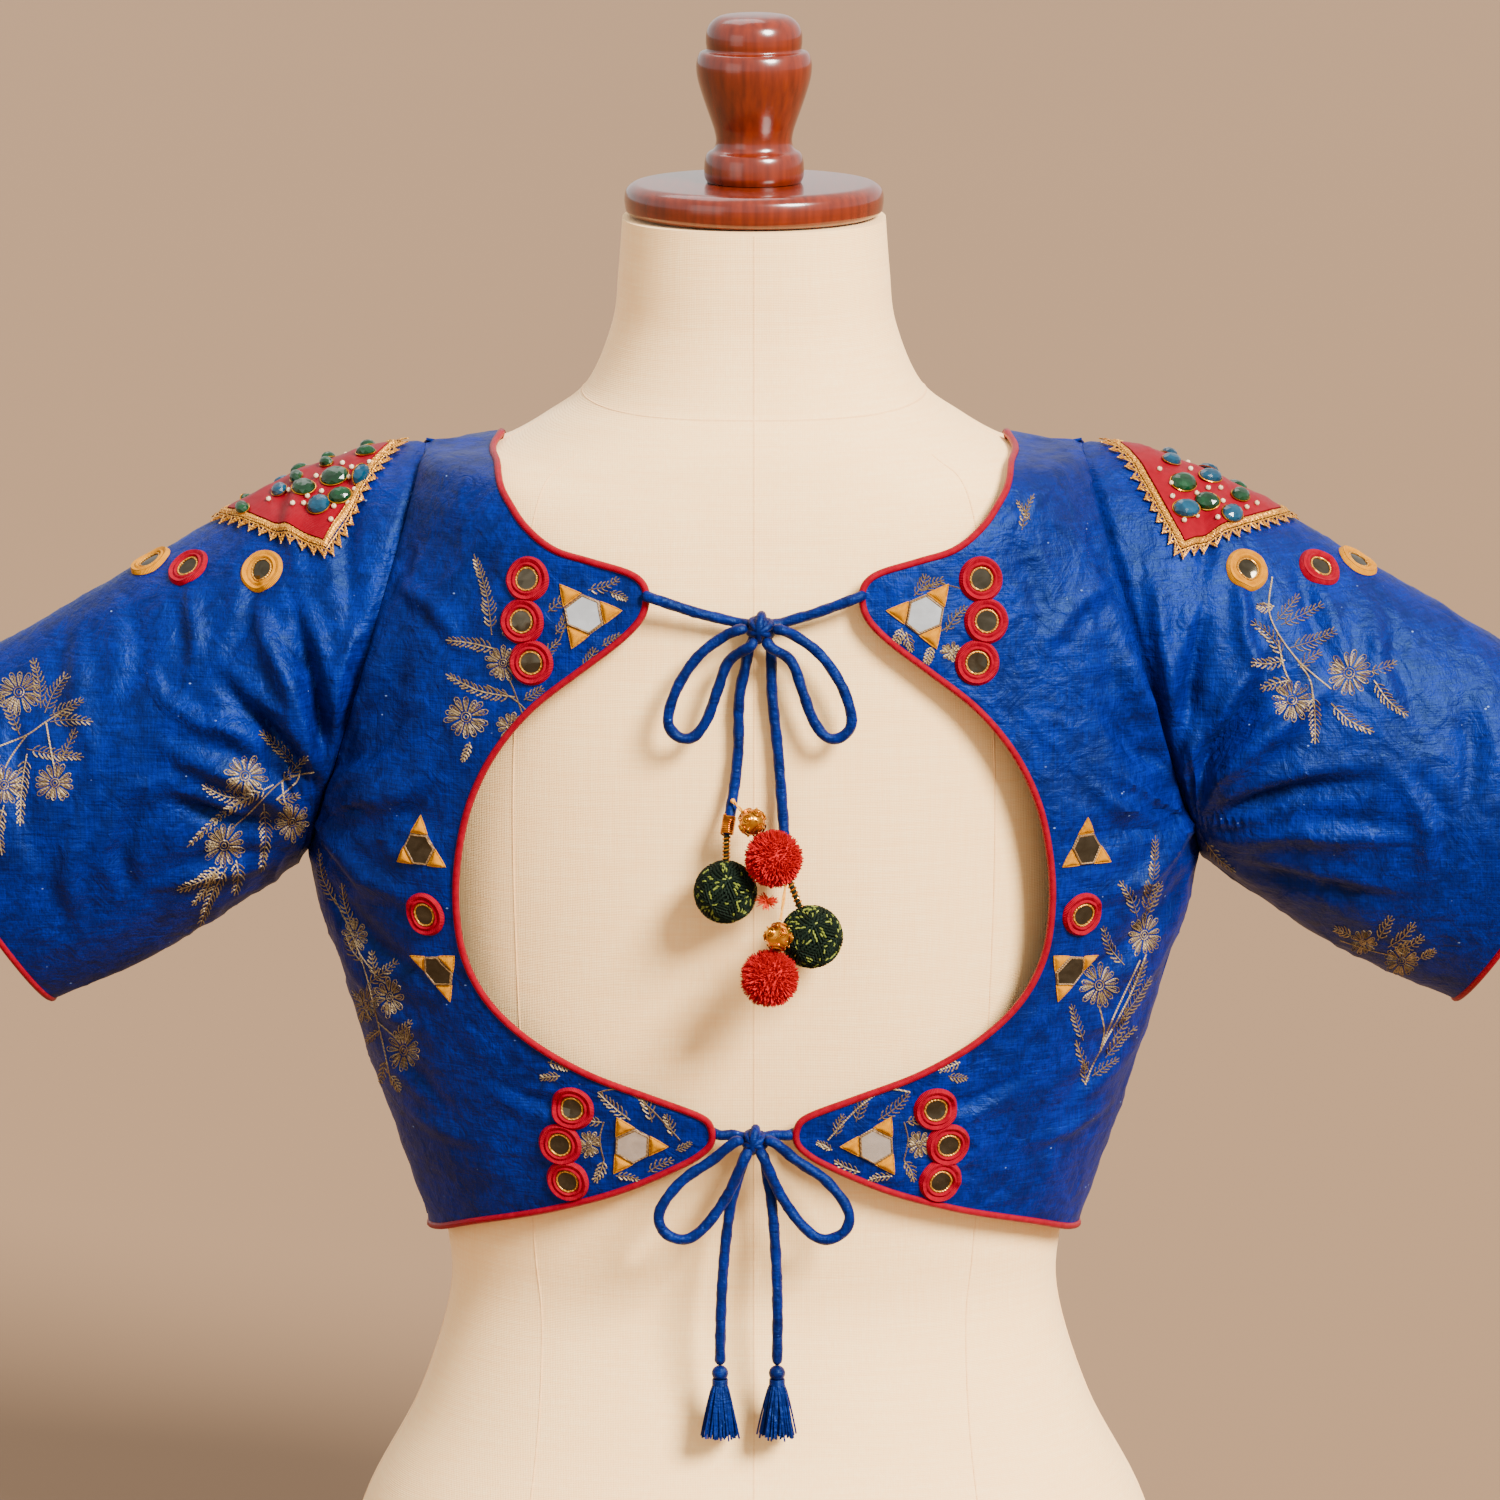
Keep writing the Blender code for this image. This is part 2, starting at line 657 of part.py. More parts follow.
def whole_front(half_panel: Panel) -> Panel:
    """Joins the right half of the front to its mirror image at the middle."""
    def both(lines: list) -> list:
        joined = []
        for line in lines:
            middle = Vector((0, line[0].y, line[0].z))
            joined.append(mirrored(line[:0:-1]) + [middle] + line[1:])
        return joined

    stretch = [line[:0:-1] + [line[0]] + line[1:] for line in half_panel.stretch]
    directions = both(half_panel.directions)
    for line in directions:
        for direction in line:
            direction.normalize()
    return Panel(both(half_panel.grid), directions, stretch)


def sleeve_panel() -> Panel:
    """The right sleeve, a tube from the armhole to the cuff."""
    grid = []
    for i in range(SLEEVE_ALONG + 1):
        place = i / SLEEVE_ALONG
        line = []
        for j in range(SLEEVE_AROUND):
            line.append(sleeve_point(place, (360 * j / SLEEVE_AROUND + 180) % 360 - 180))
        grid.append(line)
    normals = grid_normals(grid, True)
    face_outwards(normals, grid, Vector((0.26, 0, 0.45)))
    stretch = [[1.0] * SLEEVE_AROUND for _ in grid]
    for i, line in enumerate(grid):
        place = i / SLEEVE_ALONG
        fade = min(1.0, place * 8) * min(1.0, (1 - place) * 5)
        for j, point in enumerate(line):
            line[j] = point + normals[i][j] * (fold_height(point, SLEEVE_FOLDS) * fade)
    for j in range(SLEEVE_AROUND):
        turn = (360 * j / SLEEVE_AROUND + 180) % 360 - 180
        miter = armhole_miter(abs(turn), turn > 0)
        normals[0][j], stretch[0][j] = seam_direction(normals[0][j], miter)
        grid[0][j] = grid[0][j] + SLEEVE_AXIS * (SEAM / 2)
    return Panel(grid, normals, stretch)


def tube_mesh(points: list, ups: list, radius: float, sides: int, closed: bool) -> tuple:
    """Points and faces of a tube along a path, with a reference direction at each point."""
    count = len(points)
    vertices = []
    for i, point in enumerate(points):
        if closed:
            along = (points[(i + 1) % count] - points[i - 1]).normalized()
        else:
            along = (points[min(count - 1, i + 1)] - points[max(0, i - 1)]).normalized()
        up = (ups[i] - along * ups[i].dot(along)).normalized()
        across = along.cross(up)
        for k in range(sides):
            turn = 2 * math.pi * k / sides
            vertices.append(point + (up * math.cos(turn) + across * math.sin(turn)) * radius)
    faces = []
    for i in range(count if closed else count - 1):
        for k in range(sides):
            a, b = i * sides + k, i * sides + (k + 1) % sides
            c, d = (b + sides) % (count * sides), (a + sides) % (count * sides)
            faces.append((a, b, c, d))
    if not closed:
        faces.append(tuple(range(sides)))
        faces.append(tuple(range((count - 1) * sides, count * sides)))
    return vertices, faces


def edge_route(edge: list, inside: list, normals: list) -> list:
    """Piping points beside a panel's edge, with the panel's outward direction at each."""
    route = []
    reach = SEAM + PIPING_RADIUS + 0.0001
    for i, point in enumerate(edge):
        along = edge[min(len(edge) - 1, i + 1)] - edge[max(0, i - 1)]
        out = normals[i].cross(along)
        if out.dot(point - inside[i]) < 0:
            out.negate()
        route.append((point + out.normalized() * reach + normals[i] * PIPING_PROUD, normals[i]))
    return route


def body_piping(back: Panel, front: Panel) -> None:
    """One piping round the front neck, the back edges and the hem."""
    back_middle, front_middle = back.middle(), front.middle()
    neck_columns = [j for j in range(len(front_middle[0])) if j <= front_neck_corner(front)]
    route = edge_route([front_middle[0][j] for j in neck_columns],
                       [front_middle[1][j] for j in neck_columns],
                       [front.directions[0][j] for j in neck_columns])
    route.pop()
    route += edge_route([line[0] for line in back_middle], [line[1] for line in back_middle],
                        [line[0] for line in back.directions])
    hem = edge_route(back_middle[-1], back_middle[-2], back.directions[-1])
    route += hem[1:-1]
    front_hem = edge_route(front_middle[-1], front_middle[-2], front.directions[-1])
    route += front_hem[::-1]
    points = [p for p, _ in route]
    ups = [n for _, n in route]
    points[0].x = points[-1].x = 0
    loop = points + mirrored(points[-2:0:-1])
    loop_ups = ups + mirrored(ups[-2:0:-1])
    vertices, faces = tube_mesh(loop, loop_ups, PIPING_RADIUS, 6, True)
    add_mesh("piping_body", vertices, faces, RED_TRIM)


def front_neck_corner(front: Panel) -> int:
    """Column of the half front where the neckline meets the shoulder seam."""
    for j, point in enumerate(front.grid[0]):
        if abs(point.y) < 0.002:
            return j
    return len(front.grid[0]) - 1


def cuff_piping(sleeve: Panel, name: str, flip: bool) -> None:
    """Piping round one cuff."""
    middle = sleeve.middle()
    points = []
    for edge, inside in zip(middle[-1], middle[-2]):
        out = (edge - inside).normalized()
        points.append(edge + out * (SEAM + PIPING_RADIUS + 0.0001))
    ups = list(sleeve.directions[-1])
    if flip:
        points, ups = mirrored(points), mirrored(ups)
    vertices, faces = tube_mesh(points, ups, PIPING_RADIUS, 6, True)
    add_mesh(name, vertices, faces, RED_TRIM)


class Seat:
    """The outer side of one panel, on which trims are laid."""

    def __init__(self, piece: bpy.types.Object):
        mesh = piece.data
        self.tree = BVHTree.FromPolygons([v.co.copy() for v in mesh.vertices],
                                         [tuple(p.vertices) for p in mesh.polygons])

    def find(self, origin: Vector, direction: Vector) -> tuple:
        """Point and outward direction where a ray meets the panel."""
        point, normal, _, _ = self.tree.ray_cast(origin, direction)
        if normal.dot(direction) > 0:
            normal = -normal
        return point, normal

    def lay(self, middle: Vector, normal: Vector, offset: Vector, height: float) -> Vector:
        """Puts a point over the panel: an offset beside the middle and a height over the cloth."""
        above = middle + offset + normal * 0.02
        hit, _, _, gap = self.tree.ray_cast(above, -normal)
        if hit is None or gap > 0.04:
            hit = middle + offset
        return hit + normal * height


def ring_piece(name: str, seat: Seat, middle: Vector, normal: Vector, finish: Finish,
               helper: bool = False) -> bpy.types.Object:
    """A fabric-covered ring round a small mirror, laid on the cloth."""
    across = normal.cross(Vector((0, 0, 1))).normalized()
    up = across.cross(normal)
    floor = TRIM_LIFT
    mirror = TRIM_LIFT + RING_HEIGHT * 0.4
    top = TRIM_LIFT + RING_HEIGHT
    profile = [(RING_RADIUS, floor), (RING_RADIUS - 0.0010, top), (MIRROR_RADIUS + 0.0010, top),
               (MIRROR_RADIUS, mirror)]
    points = []
    for radius, height in profile:
        for k in range(RING_SIDES):
            turn = 2 * math.pi * (k + 0.5) / RING_SIDES
            offset = across * (radius * math.cos(turn)) + up * (radius * math.sin(turn))
            points.append(seat.lay(middle, normal, offset, height))
    below = len(points)
    points.append(seat.lay(middle, normal, Vector(), floor))
    points.append(seat.lay(middle, normal, Vector(), mirror))
    faces = []
    for level in range(len(profile) - 1):
        for k in range(RING_SIDES):
            a, b = level * RING_SIDES + k, level * RING_SIDES + (k + 1) % RING_SIDES
            faces.append((a, b, b + RING_SIDES, a + RING_SIDES))
    inner = (len(profile) - 1) * RING_SIDES
    for k in range(RING_SIDES):
        following = (k + 1) % RING_SIDES
        faces.append((below, following, k))
        faces.append((below + 1, inner + k, inner + following))
    return add_mesh(name, points, faces, finish, helper)


def back_direction() -> Vector:
    """The way that a ray runs from behind the garment."""
    return Vector((0, 1, 0))


def trim_rows(seats: dict) -> None:
    """The rows of three touching rings, each row joined into one piece."""
    for side, sign in (("left", -1), ("right", 1)):
        seat = seats["back_" + side]
        for row, places in TRIM_ROWS.items():
            rings = []
            for number, (x, z) in enumerate(places):
                middle, normal = seat.find(Vector((sign * x, -0.5, z)), back_direction())
                name = f"{row}_{side}" if number == 0 else f"{row}_{side}_{number}"
                rings.append(ring_piece(name, seat, middle, normal, RED_TRIM, number > 0))
            for other in rings[1:]:
                union = rings[0].modifiers.new("join", "BOOLEAN")
                union.operation = "UNION"
                union.object = other
        middle, normal = seat.find(Vector((sign * SIDE_RING[0], -0.5, SIDE_RING[1])), back_direction())
        ring_piece(f"ring_side_{side}", seat, middle, normal, RED_TRIM)


def sleeve_rings(seats: dict) -> None:
    """The single rings on each sleeve, below its red square."""
    for side, sign in (("left", -1), ("right", 1)):
        seat = seats["sleeve_" + side]
        for letter, place, degrees in SLEEVE_RINGS:
            point = sleeve_point(place, -degrees)
            ahead, round_on = sleeve_point(place + 0.01, -degrees), sleeve_point(place, -degrees - 1)
            out = (ahead - point).cross(round_on - point).normalized()
            axis = (sleeve_point(place, 0) + sleeve_point(place, 180)) / 2
            if out.dot(point - axis) < 0:
                out.negate()
            if sign < 0:
                point, out = mirrored([point, out])
            middle, normal = seat.find(point + out * 0.03, -out)
            finish = RED_TRIM if letter == "b" else YELLOW_THREAD
            ring_piece(f"ring_sleeve_{side}_{letter}", seat, middle, out, finish)


def star_piece(name: str, seat: Seat, corners: list, sign: int) -> None:
    """Three stitched triangles round a six-sided mirror, as one raised triangular plate."""
    found = [seat.find(Vector((sign * x, -0.5, z)), back_direction()) for x, z in corners]
    middle = sum((p for p, _ in found), Vector()) / 3
    normal = sum((n for _, n in found), Vector()).normalized()
    rim = []
    for k in range(3):
        here, following = found[k][0], found[(k + 1) % 3][0]
        for share in (0.0, 1 / 3, 2 / 3):
            rim.append(here.lerp(following, share) - middle)
    points = [seat.lay(middle, normal, offset, TRIM_LIFT) for offset in rim]
    points += [seat.lay(middle, normal, offset * 0.96, TRIM_LIFT + 0.0012) for offset in rim]
    points += [seat.lay(middle, normal, offset * 0.45, TRIM_LIFT + 0.0009) for offset in rim]
    points += [seat.lay(middle, normal, Vector(), TRIM_LIFT), seat.lay(middle, normal, Vector(), TRIM_LIFT + 0.0009)]
    count = len(rim)
    faces = []
    for k in range(count):
        following = (k + 1) % count
        faces.append((k, following, following + count, k + count))
        faces.append((k + count, following + count, following + 2 * count, k + 2 * count))
        faces.append((3 * count, following, k))
        faces.append((3 * count + 1, k + 2 * count, following + 2 * count))
    add_mesh(name, points, faces, YELLOW_THREAD)


def patch_lay(seat: Seat, along: float, around: float, flip: bool, height: float) -> Vector:
    """A point over the sleeve, given by the square's own grid, whose sides run from 0 to 1."""
    inner = Vector((PATCH_INNER[0], 0, PATCH_INNER[1]))
    outer = Vector((PATCH_OUTER[0], 0, PATCH_OUTER[1]))
    line = (outer - inner).normalized()
    up = Vector((-line.z, 0, line.x))
    axis = inner.lerp(outer, (1 + along - around) / 2) - up * PATCH_AXIS_DEPTH
    turn = math.radians(PATCH_HALF_TURN) * power(along + around - 1, PATCH_TURN_POWER)
    out = up * math.cos(turn) - Vector((0, 1, 0)) * math.sin(turn)
    if flip:
        axis, out = mirrored([axis, out])
    hit, _ = seat.find(axis + out * 0.15, -out)
    return hit + out * height


def patch_piece(name: str, seat: Seat, flip: bool) -> None:
    """The red square folded over the top of a sleeve."""
    lower, upper = [], []
    for i in range(PATCH_CELLS + 1):
        for j in range(PATCH_CELLS + 1):
            along, around = i / PATCH_CELLS, j / PATCH_CELLS
            lower.append(patch_lay(seat, along, around, flip, PATCH_LIFT))
            upper.append(patch_lay(seat, along, around, flip, PATCH_LIFT + CLOTH))
    add_mesh(name, lower + upper, wall_faces(PATCH_CELLS + 1, PATCH_CELLS + 1, False), RED_TRIM)


def lace_piece(name: str, seat: Seat, flip: bool) -> None:
    """The gold lace round the square, a flat band just outside its edges."""
    steps = 7
    corners = [(0, 0), (1, 0), (1, 1), (0, 1)]
    rows = {"inner_low": [], "outer_low": [], "inner_top": [], "outer_top": []}
    for corner in range(4):
        here, following = corners[corner], corners[(corner + 1) % 4]
        for k in range(steps):
            along = here[0] + (following[0] - here[0]) * k / steps
            around = here[1] + (following[1] - here[1]) * k / steps
            for label, spread in (("inner", LACE_START), ("outer", LACE_START + LACE_SHARE)):
                grown = 1 + 2 * spread
                spot = (0.5 + (along - 0.5) * grown, 0.5 + (around - 0.5) * grown)
                rows[label + "_low"].append(patch_lay(seat, *spot, flip, PATCH_LIFT))
                rows[label + "_top"].append(patch_lay(seat, *spot, flip, PATCH_LIFT + LACE_THICKNESS))
    count = len(rows["inner_low"])
    points = rows["inner_low"] + rows["outer_low"] + rows["outer_top"] + rows["inner_top"]
    faces = []
    for k in range(count):
        following = (k + 1) % count
        for band in range(4):
            a, b = band * count, (band + 1) % 4 * count
            faces.append((a + k, a + following, b + following, b + k))
    add_mesh(name, points, faces, GOLD)


def turned_piece(name: str, start: Vector, end: Vector, profile: list, sides: int, finish: Finish) -> None:
    """A turned solid from start to end; its profile holds a distance along and a radius."""
    axis = (end - start).normalized()
    across = axis.cross(Vector((0.31, 0.9, 0.17))).normalized()
    up = axis.cross(across)
    points = [start + axis * profile[0][0]]
    for distance, radius in profile:
        for k in range(sides):
            turn = 2 * math.pi * k / sides
            points.append(start + axis * distance + (across * math.cos(turn) + up * math.sin(turn)) * radius)
    points.append(start + axis * profile[-1][0])
    faces = []
    for level in range(len(profile) - 1):
        for k in range(sides):
            a, b = 1 + level * sides + k, 1 + level * sides + (k + 1) % sides
            faces.append((a, b, b + sides, a + sides))
    last = 1 + (len(profile) - 1) * sides
    for k in range(sides):
        following = (k + 1) % sides
        faces.append((0, 1 + following, 1 + k))
        faces.append((len(points) - 1, last + k, last + following))
    add_mesh(name, points, faces, finish)


def round_profile(start: float, end: float, radius: float, steps: int, stem: float) -> list:
    """Profile of a ball between two distances, whose ends are as wide as its stem."""
    middle, half = (start + end) / 2, (end - start) / 2
    profile = []
    for k in range(steps + 1):
        turn = math.pi * k / steps
        profile.append((middle - half * math.cos(turn), max(stem, radius * math.sin(turn))))
    return profile


def cord_piece(name: str, route: list, count: int) -> None:
    """A round cord along a smooth route."""
    curve = bpy.data.curves.new(name, "CURVE")
    curve.dimensions = "3D"
    curve.bevel_depth = CORD_RADIUS
    curve.bevel_resolution = 2
    curve.use_fill_caps = True
    points = smooth_route(route, count)
    spline = curve.splines.new("POLY")
    spline.points.add(count - 1)
    for spot, point in zip(spline.points, points):
        spot.co = (*point, 1)
    add_object(name, curve, SILK)


def leave_knot(tie: Tie, direction: tuple) -> list:
    """First two points of a cord that leaves the knot straight, in a given direction."""
    way = Vector(direction).normalized()
    size = Vector(tie.knot_size)
    radius = 1 / math.sqrt(sum((w / s) ** 2 for w, s in zip(way, size)))
    start = Vector(tie.knot) + way * (radius + 2 * SEAM)
    return [tuple(start), tuple(start + way * CORD_RADIUS * 1.6)]


def tie_pieces(tie: Tie) -> None:
    """Spans, knot, loops and tails of one bow."""
    knot = Vector(tie.knot)
    size = Vector(tie.knot_size)
    shape = bmesh.new()
    bmesh.ops.create_uvsphere(shape, u_segments=10, v_segments=6, radius=1)
    for vertex in shape.verts:
        vertex.co = Vector([c * s for c, s in zip(vertex.co, size)]) + knot
    mesh = bpy.data.meshes.new(tie.name + "_knot")
    shape.to_mesh(mesh)
    shape.free()
    mesh.shade_smooth()
    add_object(tie.name + "_knot", mesh, SILK)
    for side, sign in (("left", -1), ("right", 1)):
        end = Vector((sign * tie.span_end[0], tie.span_end[1], tie.span_end[2]))
        leave = leave_knot(tie, (sign * 0.94, 0.30, 0.15))
        middle = Vector(leave[1]).lerp(end, 0.5) - Vector((0, 0, SPAN_SAG * abs(end.x - leave[1][0])))
        cord_piece(f"{tie.name}_span_{side}", leave + [tuple(middle), tuple(end)], 6)
        loop = [(tie.knot[0] - sign * (x - tie.knot[0]), y, z) for x, y, z in tie.loop]
        out = leave_knot(tie, (sign * 0.86, -0.45, -0.02))
        back = leave_knot(tie, (sign * 0.40, -0.62, -0.67))[::-1]
        cord_piece(f"{tie.name}_loop_{side}", out + loop + back, 19)
        tail = tie.tail_left if sign < 0 else tie.tail_right
        cord_piece(f"{tie.name}_tail_{side}", leave_knot(tie, (sign * 0.42, 0.30, -0.86)) + tail, 10)


def pompom_piece(name: str, middle: Vector) -> None:
    """A ball of yarn locks, each one a spike on a round core."""
    shape = bmesh.new()
    bmesh.ops.create_icosphere(shape, subdivisions=2, radius=POMPOM_RADIUS * 0.86)
    for face in list(shape.faces):
        tip = face.calc_center_median().normalized() * POMPOM_RADIUS
        bmesh.ops.poke(shape, faces=[face])["verts"][0].co = tip
    for vertex in shape.verts:
        vertex.co += middle
    mesh = bpy.data.meshes.new(name)
    shape.to_mesh(mesh)
    shape.free()
    add_object(name, mesh, RED_TRIM)


def tassel_piece(name: str, top: Vector) -> None:
    """A tassel: a bound head and a skirt of strands that spring from it."""
    head_radius, head_height, root_radius = 0.0036, 0.0085, 0.0030
    sides = TASSEL_STRANDS
    levels = [(0.0, 0.0022), (0.0015, head_radius), (0.0050, head_radius), (0.0062, 0.0030), (head_height, root_radius)]
    points = [top.copy()]
    for drop, radius in levels:
        for k in range(sides):
            turn = 2 * math.pi * k / sides
            points.append(top + Vector((radius * math.cos(turn), radius * math.sin(turn), -drop)))
    faces = []
    for level in range(len(levels) - 1):
        for k in range(sides):
            a, b = 1 + level * sides + k, 1 + level * sides + (k + 1) % sides
            faces.append((a, b, b + sides, a + sides))
    for k in range(sides):
        faces.append((0, 1 + (k + 1) % sides, 1 + k))
    root = 1 + (len(levels) - 1) * sides
    foot = len(points)
    points.append(top + Vector((0, 0, -head_height)))
    for k in range(sides):
        a, b = root + k, root + (k + 1) % sides
        end = len(points)
        drop = Vector((0, 0, -TASSEL_LENGTH + 0.001 * (k % 3)))
        for step, radius in ((0.12, TASSEL_SPREAD), (0.88, TASSEL_SPREAD), (0.5, TASSEL_SPREAD * 0.45)):
            turn = 2 * math.pi * (k + step) / sides
            points.append(top + drop + Vector((math.cos(turn), math.sin(turn), 0)) * radius)
        faces += [(a, b, end + 1, end), (b, foot, end + 2, end + 1), (foot, a, end, end + 2),
                  (end, end + 1, end + 2)]
    add_mesh(name, points, faces, SILK)


def tie_ends() -> None:
    """Beads, pompoms and wound balls of the upper tie, and tassels of the lower one."""
    for side, places, ball in zip(("left", "right"), BEADS, BALLS):
        start, bead, pompom = (Vector(p) for p in places)
        to_bead = (bead - start).length
        profile = [(0.0, 0.0007)] + round_profile(to_bead - BEAD_RADIUS, to_bead + BEAD_RADIUS, BEAD_RADIUS, 6, 0.0007)
        turned_piece(f"bead_{side}", start, bead, profile, 8, GOLD)
        pompom_piece(f"pompom_{side}", bead + (pompom - bead).normalized() * (BEAD_RADIUS + POMPOM_RADIUS * 0.95))
        top, middle = (Vector(p) for p in ball)
        reach = (middle - top).length
        profile = [(SEAM + 0.0012, 0.0021)] + round_profile(reach - BALL_RADIUS, reach + BALL_RADIUS, BALL_RADIUS, 8, 0.0021)
        turned_piece(f"ball_{side}", top, middle, profile, 12, GREEN_YARN)
    for side, tail in (("left", LOWER_TIE.tail_left), ("right", LOWER_TIE.tail_right)):
        end = Vector(tail[-1])
        tassel_piece(f"tassel_{side}", end - Vector((0, 0, SEAM)))


def dress_form() -> None:
    """Padded torso with its flat base, the wooden disc on its neck and the turned finial."""
    levels = []
    for step in range(len(BODY)):
        levels.append([body_point(step, 2 * math.pi * k / FORM_AROUND, False) for k in range(FORM_AROUND)])
    count = len(levels)
    points = [p for line in levels for p in line]
    faces = []
    for i in range(count - 1):
        for k in range(FORM_AROUND):
            a, b = i * FORM_AROUND + k, i * FORM_AROUND + (k + 1) % FORM_AROUND
            faces.append((a, b, b + FORM_AROUND, a + FORM_AROUND))
    faces.append(tuple(range(FORM_AROUND)))
    faces.append(tuple(range((count - 1) * FORM_AROUND, count * FORM_AROUND)))
    add_mesh("form_torso", points, faces, FORM_CLOTH)
    low = NECK_TOP + SEAM
    disc = [(0.0, 0.0540), (0.0022, 0.0568), (0.0075, NECK_DISC_RADIUS), (0.0125, 0.0566),
            (NECK_DISC_THICKNESS, 0.0535)]
    turned_piece("neck_disc", Vector((0, 0, low)), Vector((0, 0, low + 1)), disc, 24, WOOD)
    foot = low + NECK_DISC_THICKNESS + SEAM
    finial = [(0.0, 0.0215), (0.0050, 0.0222), (0.0115, 0.0215), (0.0148, 0.0178), (0.0185, 0.0170),
              (0.0270, 0.0190), (0.0370, 0.0225), (0.0470, 0.0252), (0.0530, 0.0257), (0.0570, 0.0243),
              (0.0590, 0.0212), (0.0650, 0.0213), (0.0705, 0.0195), (0.0745, 0.0120)]
    turned_piece("neck_finial", Vector((0, 0, foot)), Vector((0, 0, foot + 1)), finial, 16, WOOD)


def main() -> None:
    """Builds the dress form and the blouse on it."""
    for old in list(bpy.data.objects):
        bpy.data.objects.remove(old)
    dress_form()
    back = back_panel()
    shoulder_seam(back, False, 0, range(len(back.grid[0])))
    front_half = front_panel()
    corner = front_neck_corner(front_half)
    shoulder_seam(front_half, True, 0, range(corner, len(front_half.grid[0])))
    front = whole_front(front_half)
    sleeve = sleeve_panel()
    seats = {}
    front.build("front", False, SILK)
    for side, flip in (("left", True), ("right", False)):
        seats["back_" + side] = Seat(back.build("back_" + side, flip, SILK))
        seats["sleeve_" + side] = Seat(sleeve.build("sleeve_" + side, flip, SILK, wrapped=True))
        cuff_piping(sleeve, "piping_cuff_" + side, flip)
        patch_piece("patch_" + side, seats["sleeve_" + side], flip)
        lace_piece("lace_" + side, seats["sleeve_" + side], flip)
    body_piping(back, front_half)
    trim_rows(seats)
    sleeve_rings(seats)
    for side, sign in (("left", -1), ("right", 1)):
        for name, corners in STARS.items():
            star_piece(f"{name}_{side}", seats["back_" + side], corners, sign)
    for tie in (UPPER_TIE, LOWER_TIE):
        tie_pieces(tie)
    tie_ends()


main()
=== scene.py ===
"""Silk blouse with an open, corded back, worn by a limbless dress form.

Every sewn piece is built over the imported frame, in metres and +Z up. The wearer's back faces -Y.
"""

import logging
import math
import random
from dataclasses import dataclass, field
from enum import Enum
from typing import Callable, ClassVar, NamedTuple, Sequence

import bmesh
import bpy
import numpy as np
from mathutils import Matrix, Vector, noise
from mathutils.bvhtree import BVHTree

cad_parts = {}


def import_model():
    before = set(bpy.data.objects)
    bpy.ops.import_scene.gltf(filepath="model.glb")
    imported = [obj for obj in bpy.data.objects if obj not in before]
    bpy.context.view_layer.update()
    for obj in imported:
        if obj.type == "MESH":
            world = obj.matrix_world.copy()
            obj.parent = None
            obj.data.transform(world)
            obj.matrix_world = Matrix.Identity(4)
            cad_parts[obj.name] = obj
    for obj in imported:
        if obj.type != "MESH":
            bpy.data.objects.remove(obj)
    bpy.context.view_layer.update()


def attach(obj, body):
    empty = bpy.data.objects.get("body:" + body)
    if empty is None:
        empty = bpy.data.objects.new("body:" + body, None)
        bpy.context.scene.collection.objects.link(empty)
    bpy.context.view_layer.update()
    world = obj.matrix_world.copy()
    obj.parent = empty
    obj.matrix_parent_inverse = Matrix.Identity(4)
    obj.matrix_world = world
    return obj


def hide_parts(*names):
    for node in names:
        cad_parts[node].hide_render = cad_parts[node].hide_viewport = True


LOG = logging.getLogger("blouse")

CLOTH = 0.0012
SEAM = 0.0003
CORD_RADIUS = 0.0024
SQUARENESS = 2.3
SLEEVE_SQUARENESS = 1.85
HEM_HEIGHT = 0.2355
SHOULDER = (0.1465, 0.5905)
UNDERARM = (0.1990, 0.4096)
NECK_TOP = 0.6915
GOLDEN_TURN = 2.399963

Colour = tuple[float, float, float]
Place = tuple[float, float]
Points = Sequence[Vector]
Piece = bpy.types.Object
Socket = bpy.types.NodeSocket


class Side(Enum):
    """Side of the garment as seen from behind."""
    LEFT = -1
    RIGHT = 1

    @property
    def word(self) -> str:
        """Lower-case name that ends the pieces' names."""
        return self.name.lower()


class Facing(Enum):
    """Which way a piece of cloth looks."""
    BACK = -1
    FRONT = 1


# Materials


